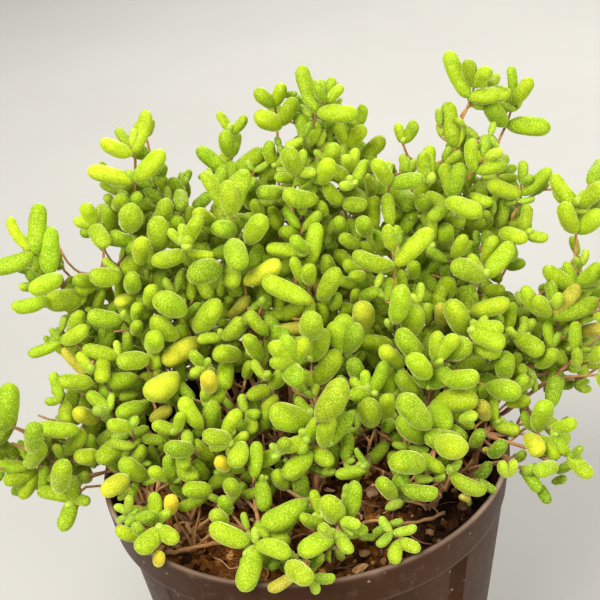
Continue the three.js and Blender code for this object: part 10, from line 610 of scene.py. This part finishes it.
for number, (twigs, leaves) in enumerate(STEMS, 1):
    rng = np.random.default_rng(1000 + number)
    node = "leafy_stem_%02d" % number
    build = Build()
    for row in leaves:
        b, t = np.array(row[0:3]) / 20.0, np.array(row[3:6]) / 20.0
        leaf_shell(build, b, t, row[6] / 100.0, row[7], rng)
    place(build.make("leaves_%02d" % number, LEAF), "plant", node)
    build = Build()
    for r0, r1, flatpts in twigs:
        pts = resample(np.array(flatpts).reshape(-1, 3) / 20.0, 1.6)
        k = np.linspace(0, 1, len(pts))
        radii = np.clip((r0 + (r1 - r0) * k) / 100.0 * 0.70, 0.23, 0.52)
        radii = radii * (1 + 0.10 * np.sin(np.cumsum(np.full(len(pts), 1.3)) + rng.uniform(0, 6.28)))
        along = np.clip((pts[:, 2] - SOIL_LEVEL) / 60.0, 0, 1)
        tone = rng.uniform(0.85, 1.2)
        tube_shell(build, pts, radii, 8, np.array([tone, tone * rng.uniform(0.92, 1.06), tone]), along)
    # old bare twigs, low down among the living ones
    foot = np.array(twigs[0][2][0:3]) / 20.0
    for _ in range(4):
        turn = rng.uniform(0, 2 * math.pi)
        high, lean = rng.uniform(3.0, 8.5), rng.uniform(2.0, 8.0)
        line = [[foot[0], foot[1], SOIL_LEVEL - 0.6]]
        for k in (0.3, 0.62, 1.0):
            turn += rng.normal(0, 0.3)
            x, y = foot[0] + lean * k * math.cos(turn), foot[1] + lean * k * math.sin(turn)
            far = max(1.0, math.hypot(x, y) / 29.5)
            line.append([x / far, y / far, SOIL_LEVEL + high * k ** 0.85])
        pts = resample(line, 1.4)
        k = np.linspace(0, 1, len(pts))
        thick = rng.uniform(0.22, 0.36)
        tone = rng.uniform(0.7, 1.15)
        tube_shell(build, pts, thick * (1 - 0.4 * k), 7, np.array([tone, tone * 0.95, tone * 0.8]), 0.08 + 0.3 * k, 0.04, rng)
    place(build.make("stem_%02d" % number, STEM), "plant", node)


# ---- pot ------------------------------------------------------------------------------------
def wall_radius(z):
    return BASE_RADIUS + (WALL_TOP_RADIUS - BASE_RADIUS) * (z - 1.0) / (BAND_Z - 1.0)


def make_pot():
    segs = 288
    ang = np.linspace(0, 360, segs, endpoint=False)
    # how proud the wall stands at each angle: 1 on a panel; 1 in a slit
    panel = np.zeros(segs)
    slit = np.zeros(segs)
    for i in range(PANEL_COUNT):
        a0 = (PANEL_START + 360.0 * i / PANEL_COUNT) % 360
        d = (ang - a0 + 180) % 360 - 180
        panel = np.maximum(panel, smooth(-0.3, 0.9, d) * (1 - smooth(PANEL_ANGLE - 1.2, PANEL_ANGLE + 0.2, d)))
        w = math.degrees(SLIT_WIDTH / WALL_TOP_RADIUS)
        slit = np.maximum(slit, smooth(-w - 0.5, -w + 0.4, d) * (1 - smooth(-0.7, 0.2, d)))
    outer = [(0.0, 0.0, 0, 0)]
    rows = []

    def row(r, z, p=0.0, s=0.0, lip_highlight_and_wear=0.0):
        rows.append((r, z, p, s, lip_highlight_and_wear))

    # underside to base edge
    for r in (6, 11, 18, 21.5, 23.2, 23.9):
        row(r, 0.0)
    row(24.35, 0.08)
    row(24.75, 0.35, 0, 0, 0.2)
    row(24.95, 0.75, 0, 0, 0.1)
    for z in (1.0, 1.5, 2.2, 3.0):
        row(wall_radius(z), z, 0.0 if z < 1.5 else smooth(1.2, 3.0, z), 0.0, 0)
    row(wall_radius(3.4), 3.4, 1, 0)
    for z in (4.0, 5.0, 6.0, 9, 13, 17, 22, 27, 32, 37, 41, 45, 48, 50.5, 52.5, 53.6, 54.2):
        row(wall_radius(z), z, 1.0, float(smooth(3.8, 5.2, z)), 0)
    row(wall_radius(54.6), 54.6, 1.0, 1.0)
    row(WALL_TOP_RADIUS, BAND_Z - 0.05, 1.0, 0.6)
    row(WALL_TOP_RADIUS + 0.25, BAND_Z + 0.10, 0.75, 0)
    row(BAND_BOTTOM_RADIUS - 0.28, BAND_Z + 0.16, 0.0, 0, 0.0)
    row(BAND_BOTTOM_RADIUS - 0.07, BAND_Z + 0.27, 0, 0, 0.35)
    row(BAND_BOTTOM_RADIUS + 0.02, BAND_Z + 0.5, 0, 0, 0.2)
    for z in (BAND_Z + 1.0, BAND_Z + 2.2, BAND_Z + 3.6, BAND_Z + 5.0, BAND_Z + 6.0):
        row(BAND_BOTTOM_RADIUS + (RIM_RADIUS - BAND_BOTTOM_RADIUS) * (z - BAND_Z - 0.5) / 6.0, z)
    # lip: rolled edge
    row(RIM_RADIUS - 0.03, POT_HEIGHT - 0.55, 0, 0, 0.15)
    row(RIM_RADIUS - 0.06, POT_HEIGHT - 0.28, 0, 0, 0.6)
    row(RIM_RADIUS - 0.20, POT_HEIGHT - 0.08, 0, 0, 1.0)
    row(RIM_RADIUS - 0.42, POT_HEIGHT - 0.0, 0, 0, 1.0)
    row(RIM_RADIUS - 0.68, POT_HEIGHT - 0.04, 0, 0, 0.8)
    row(RIM_RADIUS - 0.90, POT_HEIGHT - 0.22, 0, 0, 0.35)
    row(RIM_RADIUS - RIM_WALL, POT_HEIGHT - 0.5, 0, 0, 0.1)
    # inside
    row(RIM_RADIUS - RIM_WALL - 0.12, POT_HEIGHT - 2.0)
    row(RIM_RADIUS - RIM_WALL - 0.30, POT_HEIGHT - 3.6)
    row(BAND_BOTTOM_RADIUS - RIM_WALL, BAND_Z + 1.6)
    row(WALL_TOP_RADIUS - WALL + 0.3, BAND_Z + 0.7)
    row(WALL_TOP_RADIUS - WALL, BAND_Z + 0.2)
    for z in (50, 44, 36, 26, 16, 8, 4):
        row(wall_radius(z) - WALL, z)
    row(BASE_RADIUS - WALL, BASE_THICKNESS + 0.5)
    row(BASE_RADIUS - WALL - 0.5, BASE_THICKNESS)
    for r in (18, 11, 6):
        row(r, BASE_THICKNESS)
    rad = np.radians(ang)
    wob = 0.05 * np.sin(3 * rad + 1.0) + 0.04 * np.sin(7 * rad + 2.0)      # moulded plastic is never quite round
    v, al = [np.array([[0.0, 0.0, 0.0]])], [[0.0]]
    for r, z, p, s, lip_highlight_and_wear in rows:
        rr = r + p * panel * PANEL_PROUD - s * slit * SLIT_DEPTH + (wob if r > 24.5 else 0)
        v.append(np.stack([rr * np.cos(rad), rr * np.sin(rad), np.full(segs, z)], 1))
        # pale edge line for the pot material: a painted highlight along the lip and edges, with some real wear
        edge = np.full(segs, lip_highlight_and_wear) * (0.65 + 0.35 * np.sin(5 * rad + 3 * np.sin(2 * rad)))
        al.append(edge)
    v.append(np.array([[0.0, 0.0, BASE_THICKNESS]]))
    al.append([0.0])
    verts = np.concatenate(v)
    n = len(rows)
    kk = np.arange(segs)
    k3 = (kk + 1) % segs
    quads = np.concatenate([
        np.stack([1 + i * segs + kk, 1 + i * segs + k3, 1 + (i + 1) * segs + k3, 1 + (i + 1) * segs + kk], 1) for i in range(n - 1)])
    o = 1 + (n - 1) * segs
    tris = np.concatenate([np.stack([np.zeros(segs, int), 1 + k3, 1 + kk], 1), np.stack([o + kk, o + k3, np.full(segs, len(verts) - 1)], 1)])
    build = Build()
    build.add(verts, quads, tris, np.ones(3), np.concatenate([np.asarray(a, float) for a in al]))
    pot = build.make("nursery_pot", POT)
    # the drain holes are cut through the base
    cut = Build()
    for i in range(DRAIN_HOLES):
        a = 2 * math.pi * (i + 0.5) / DRAIN_HOLES
        cx, cy = DRAIN_RING * math.cos(a), DRAIN_RING * math.sin(a)
        line = np.array([[cx, cy, -1.5], [cx, cy, -0.5], [cx, cy, BASE_THICKNESS + 0.8]])
        tube_shell(cut, line, [DRAIN_RADIUS] * 3, 36, np.ones(3), 0.0)
    cutter = cut.make("holes", POT)
    mod = pot.modifiers.new("holes", "BOOLEAN")
    mod.operation = "DIFFERENCE"
    mod.solver = "EXACT"
    mod.object = cutter
    dg = bpy.context.evaluated_depsgraph_get()
    me = bpy.data.meshes.new_from_object(pot.evaluated_get(dg), preserve_all_data_layers=True, depsgraph=dg)
    pot.modifiers.clear()
    pot.data = me
    bpy.data.objects.remove(cutter)
    for poly in me.polygons:
        poly.use_smooth = True
    me.set_sharp_from_angle(angle=math.radians(50))
    return pot


place(make_pot(), "pot", "pot")


# ---- soil -----------------------------------------------------------------------------------
def value_noise(x, y, seed, scale):
    """Smooth noise on a hashed grid."""
    gx, gy = np.floor(x / scale), np.floor(y / scale)
    fx, fy = x / scale - gx, y / scale - gy
    fx, fy = fx * fx * (3 - 2 * fx), fy * fy * (3 - 2 * fy)

    def h(i, j):
        n = np.sin(i * 127.1 + j * 311.7 + seed * 74.7) * 43758.5453
        return n - np.floor(n)

    return (h(gx, gy) * (1 - fx) + h(gx + 1, gy) * fx) * (1 - fy) + (h(gx, gy + 1) * (1 - fx) + h(gx + 1, gy + 1) * fx) * fy


def soil_top(x, y):
    z = soil_height(x, y)
    z = z + 0.75 * (value_noise(x, y, 1, 3.1) - 0.5) + 0.55 * (value_noise(x, y, 2, 1.5) - 0.5) + 0.30 * (value_noise(x, y, 3, 0.8) - 0.5)
    r = np.hypot(x, y)
    return z + 0.5 * smooth(27, 31, r) * (value_noise(x, y, 5, 4.0) - 0.25)


def soil_radius(z):
    inner = (BASE_RADIUS - WALL) + (WALL_TOP_RADIUS - BASE_RADIUS) * (z - BASE_THICKNESS) / (BAND_Z + 0.2 - BASE_THICKNESS)
    return inner - 0.34


def damp_at(x, y):
    """1 where the mix is wet and dark, at the right front."""
    return smooth(9, 20, x) * (1 - smooth(-7, 1, y))


def make_soil():
    segs = 200
    rad = np.linspace(0, 2 * math.pi, segs, endpoint=False)
    top = list(np.linspace(0.5, soil_radius(BAND_Z) - 0.15, 62))
    v = [np.array([[0, 0, float(soil_top(np.array(0.0), np.array(0.0)))]])]
    for r in top:
        x, y = r * np.cos(rad), r * np.sin(rad)
        v.append(np.stack([x, y, soil_top(x, y)], 1))
    for z in (54.6, 50, 40, 28, 16, 6, 2.6):
        r = soil_radius(z)
        v.append(np.stack([r * np.cos(rad), r * np.sin(rad), np.full(segs, float(z))], 1))
    for r in (17, 8):
        v.append(np.stack([r * np.cos(rad), r * np.sin(rad), np.full(segs, BASE_THICKNESS + 0.3)], 1))
    v.append(np.array([[0, 0, BASE_THICKNESS + 0.3]]))
    verts = np.concatenate(v)
    n = len(v) - 2
    kk = np.arange(segs)
    k3 = (kk + 1) % segs
    quads = np.concatenate([
        np.stack([1 + i * segs + kk, 1 + (i + 1) * segs + kk, 1 + (i + 1) * segs + k3, 1 + i * segs + k3], 1) for i in range(n - 1)])
    o = 1 + (n - 1) * segs
    tris = np.concatenate([np.stack([np.zeros(segs, int), 1 + kk, 1 + k3], 1), np.stack([o + k3, o + kk, np.full(segs, len(verts) - 1)], 1)])
    # darker where it is damp at the right front, redder elsewhere
    x, y = verts[:, 0], verts[:, 1]
    damp = damp_at(x, y)
    patch = value_noise(x, y, 9, 5.0)
    tone = (0.85 + 0.8 * patch) * (1 - 0.86 * damp)
    col = np.stack([tone, tone * (0.94 + 0.08 * patch), tone], 1)
    build = Build()
    build.add(verts, quads, tris, col, 0.0)
    return build.make("soil_ground", SOIL)


place(make_soil(), "soil", "potting_soil")


def chunk(build, centre, size, rng, colour, sides=7, rings=5, squash=0.7, stretch=1.0):
    """An irregular lump."""
    q = unit(rng.normal(size=3))
    x = unit(np.cross(q, rng.normal(size=3)))
    y = np.cross(q, x)
    if squash < 0.5:        # flat flakes lie down
        q = unit(np.array([rng.normal(0, 0.3), rng.normal(0, 0.3), 1.0]))
        x = unit(np.cross(q, rng.normal(size=3)))
        y = np.cross(q, x)
    v = [centre - q * size * squash]
    th0 = np.linspace(0, 2 * math.pi, sides, endpoint=False)
    for i in range(1, rings):
        la = -math.pi / 2 + math.pi * i / rings
        th = th0 + rng.normal(0, 0.12, sides)
        rr = size * math.cos(la) * (1 + rng.normal(0, 0.16, sides))
        v.append(centre + np.outer(rr * np.cos(th) * stretch, x) + np.outer(rr * np.sin(th), y) + q * size * squash * (math.sin(la) + rng.normal(0, 0.08)))
    v.append(centre + q * size * squash)
    v = np.concatenate([np.atleast_2d(a) for a in v])
    kk = np.arange(sides)
    k3 = (kk + 1) % sides
    quads = np.concatenate([
        np.stack([1 + i * sides + kk, 1 + i * sides + k3, 1 + (i + 1) * sides + k3, 1 + (i + 1) * sides + kk], 1) for i in range(rings - 2)])
    o = 1 + (rings - 2) * sides
    tris = np.concatenate([np.stack([np.zeros(sides, int), 1 + k3, 1 + kk], 1), np.stack([o + kk, o + k3, np.full(sides, len(v) - 1)], 1)])
    build.add(v, quads, tris, colour, 0.0)


def make_crumbs():
    rng = np.random.default_rng(77)
    build = Build()
    palette = [((0.024, 0.008, 0.003), 0.28), ((0.110, 0.036, 0.007), 0.27), ((0.26, 0.105, 0.020), 0.22),
               ((0.46, 0.23, 0.07), 0.12), ((0.58, 0.33, 0.15), 0.09), ((0.13, 0.085, 0.04), 0.02)]
    cols = np.array([c for c, _ in palette])
    prob = np.array([w for _, w in palette])
    for _ in range(1500):
        r = 30.4 * math.sqrt(rng.uniform())
        a = rng.uniform(0, 2 * math.pi)
        x, y = r * math.cos(a), r * math.sin(a)
        size = float(np.clip(rng.lognormal(-0.75, 0.42), 0.22, 1.25))
        if r + size > 30.9:
            continue
        z = float(soil_top(np.array(x), np.array(y))) + size * rng.uniform(-0.1, 0.35)
        flat = rng.uniform() < 0.3
        chunk(build, np.array([x, y, z]), size, rng, cols[rng.choice(len(cols), p=prob)] * rng.uniform(0.75, 1.3) * (1 - 0.72 * float(damp_at(x, y))),
              squash=0.28 if flat else rng.uniform(0.55, 0.9), stretch=rng.uniform(1.0, 1.7))
    return build.make("soil_crumbs", CRUMB, flat=True)


place(make_crumbs(), "soil", "potting_soil")


def make_fibres():
    """Thin roots and plant fibre lying about."""
    rng = np.random.default_rng(91)
    build = Build()
    for _ in range(130):
        r = 28.5 * math.sqrt(rng.uniform())
        a = rng.uniform(0, 2 * math.pi)
        x, y = r * math.cos(a), r * math.sin(a)
        h = rng.uniform(0, 2 * math.pi)
        line = []
        n = rng.integers(4, 8)
        for k in range(n):
            line.append([x, y, float(soil_top(np.array(x), np.array(y))) + 0.22 + 0.35 * math.sin(math.pi * k / (n - 1)) * rng.uniform(0.3, 1.6)])
            h += rng.normal(0, 0.45)
            x, y = x + 1.25 * math.cos(h), y + 1.25 * math.sin(h)
            if math.hypot(x, y) > 30:
                break
        if len(line) < 3:
            continue
        pts = resample(line, 0.7)
        rad = rng.uniform(0.09, 0.24)
        col = np.array([(0.42, 0.21, 0.075), (0.26, 0.11, 0.04), (0.50, 0.30, 0.14), (0.12, 0.05, 0.02)][rng.integers(0, 4)]) * rng.uniform(0.7, 1.2)
        tube_shell(build, pts, rad * (1 - 0.5 * np.linspace(0, 1, len(pts))), 6, col, 0.0, 0.08, rng)
    return build.make("soil_fibres", DRY)


place(make_fibres(), "soil", "potting_soil")

# ---- loose bits: the same places as in the solid model ----------------------------------------
LIE = 0.45
DRY_STEMS = [
    ("dry_stem_1", 0.45, 1.5, [(-24.3, -17.2), (-21.2, -19.3), (-17.9, -19.2), (-14.6, -18.0)]),
    ("dry_stem_2", 0.40, 0.0, [(-24.2, -9.4), (-23.6, -13.0), (-22.0, -17.0)]),
    ("dry_stem_3", 0.45, 0.0, [(-21.0, -10.8), (-19.6, -14.0), (-17.8, -16.6)]),
    ("dry_stem_4", 0.35, 0.0, [(21.6, -15.6), (17.4, -17.6), (14.0, -17.9)]),
]
for i, (node, radius, lift, line) in enumerate(DRY_STEMS):
    rng = np.random.default_rng(300 + i)
    pts = [[x, y, float(soil_height(x, y)) + radius + LIE * 0.5 + lift] for x, y in line]
    if lift:
        pts[0][2] -= lift * 0.8
        pts[-1][2] -= lift * 0.7
    pts = resample(pts, 0.5)
    pts = pts + np.stack([0.12 * np.sin(np.arange(len(pts)) * 0.9 + i), 0.10 * np.cos(np.arange(len(pts)) * 0.7), 0.08 * np.sin(np.arange(len(pts)) * 1.1)], 1)
    k = np.linspace(0, 1, len(pts))
    build = Build()
    radii = radius * (0.95 - 0.25 * k) * (1 + 0.12 * np.sin(np.arange(len(pts)) * 0.8 + i))
    tube_shell(build, pts, radii, 12, np.array([(0.50, 0.25, 0.075), (0.42, 0.20, 0.06), (0.56, 0.30, 0.10), (0.40, 0.20, 0.07)][i]), 0.0, 0.05, rng)
    place(build.make(node + "_shape", DRY), "dry_stem", node)

BARK = [
    ("bark_chip_1", 10.6, -8.2, 2.9, 1.7, 0.8),
    ("bark_chip_2", 3.4, -6.4, 2.4, 1.5, 0.8),
    ("bark_chip_3", 7.4, -24.2, 2.6, 1.6, 0.7),
    ("bark_chip_4", -18.6, -5.2, 2.6, 1.8, 0.8),
]
for i, (node, x, y, length, width, thick) in enumerate(BARK):
    rng = np.random.default_rng(400 + i)
    build = Build()
    z = float(soil_height(x, y)) + 0.85
    chunk(build, np.array([x, y, z]), length * 0.34, rng, np.array([(0.50, 0.29, 0.17), (0.56, 0.34, 0.21), (0.44, 0.25, 0.13), (0.58, 0.36, 0.22)][i]),
          sides=14, rings=9, squash=0.42, stretch=1.35)
    place(build.make(node + "_shape", CRUMB), "bark", node)

FALLEN = [("fallen_leaf_1", 13.6, -13.9, 3.4, 1.7, 20), ("fallen_leaf_2", 25.6, -13.0, 3.0, 1.6, 115)]
for i, (node, x, y, length, width, turn) in enumerate(FALLEN):
    rng = np.random.default_rng(500 + i)
    a = math.radians(turn)
    c, s = math.cos(a) * length / 2, math.sin(a) * length / 2
    z = float(soil_height(x, y)) + width / 2 + 0.35
    build = Build()
    leaf_shell(build, np.array([x - c, y - s, z]), np.array([x + c, y + s, z + 0.3]), width / 2, 5, rng)
    place(build.make(node + "_shape", LEAF), "fallen_leaf", node)

# ---- floor, light and camera ------------------------------------------------------------------
def floor():
    m = Nodes("floor")
    p = m.place(1.0)
    n = m.noise(p, 9.0, 3.0)
    m.base(m.mix(m.spread(n, 0.3, 0.7), (0.405, 0.40, 0.385), (0.43, 0.425, 0.41)))
    m.set(rough=0.85, spec=0.2)
    me = bpy.data.meshes.new("floor")
    s = 3.0
    me.from_pydata([(-s, -s, 0), (s, -s, 0), (s, s, 0), (-s, s, 0)], [], [(0, 1, 2, 3)])
    me.materials.append(m.mat)
    ob = bpy.data.objects.new("floor", me)
    bpy.context.collection.objects.link(ob)


floor()


def lamp(name, place_at, aim, size, power, colour=(1, 1, 1)):
    data = bpy.data.lights.new(name, "AREA")
    data.shape = "DISK"
    data.size = size
    data.energy = power
    data.color = colour
    ob = bpy.data.objects.new(name, data)
    ob.location = place_at
    ob.rotation_euler = (Vector(aim) - Vector(place_at)).to_track_quat("-Z", "Y").to_euler()
    bpy.context.collection.objects.link(ob)


AIM = (0.0, 0.0, 0.085)
lamp("key", (-0.24, -0.30, 0.56), AIM, 0.40, 5.6, (1.0, 0.975, 0.91))
lamp("fill", (0.42, -0.48, 0.34), AIM, 0.5, 3.4, (1.0, 0.98, 0.93))
lamp("back", (0.15, 0.50, 0.46), AIM, 0.4, 3.4, (1.0, 0.98, 0.93))
world = bpy.data.worlds.new("studio")
bpy.context.scene.world = world
world.use_nodes = True
world.node_tree.nodes["Background"].inputs["Color"].default_value = (1.0, 0.975, 0.93, 1.0)
world.node_tree.nodes["Background"].inputs["Strength"].default_value = 0.52

cam_data = bpy.data.cameras.new("camera")
cam_data.sensor_width = 36.0
cam_data.lens = 78.0
cam_data.clip_start = 0.01
cam_data.clip_end = 20.0
cam = bpy.data.objects.new("camera", cam_data)
bpy.context.collection.objects.link(cam)
cam.matrix_world = Matrix((
    (0.9933702, 0.114564795, -0.009515936, 0.0),
    (-0.062411829, 0.467938107, -0.881554701, -0.186028709),
    (-0.096542265, 0.876304077, 0.471985969, 0.190860426),
    (0.0, 0.0, 0.0, 1.0),
))
bpy.context.scene.camera = cam
bpy.context.scene.view_settings.view_transform = "Standard"
bpy.context.scene.view_settings.look = "None"
bpy.context.scene.view_settings.exposure = 0.0
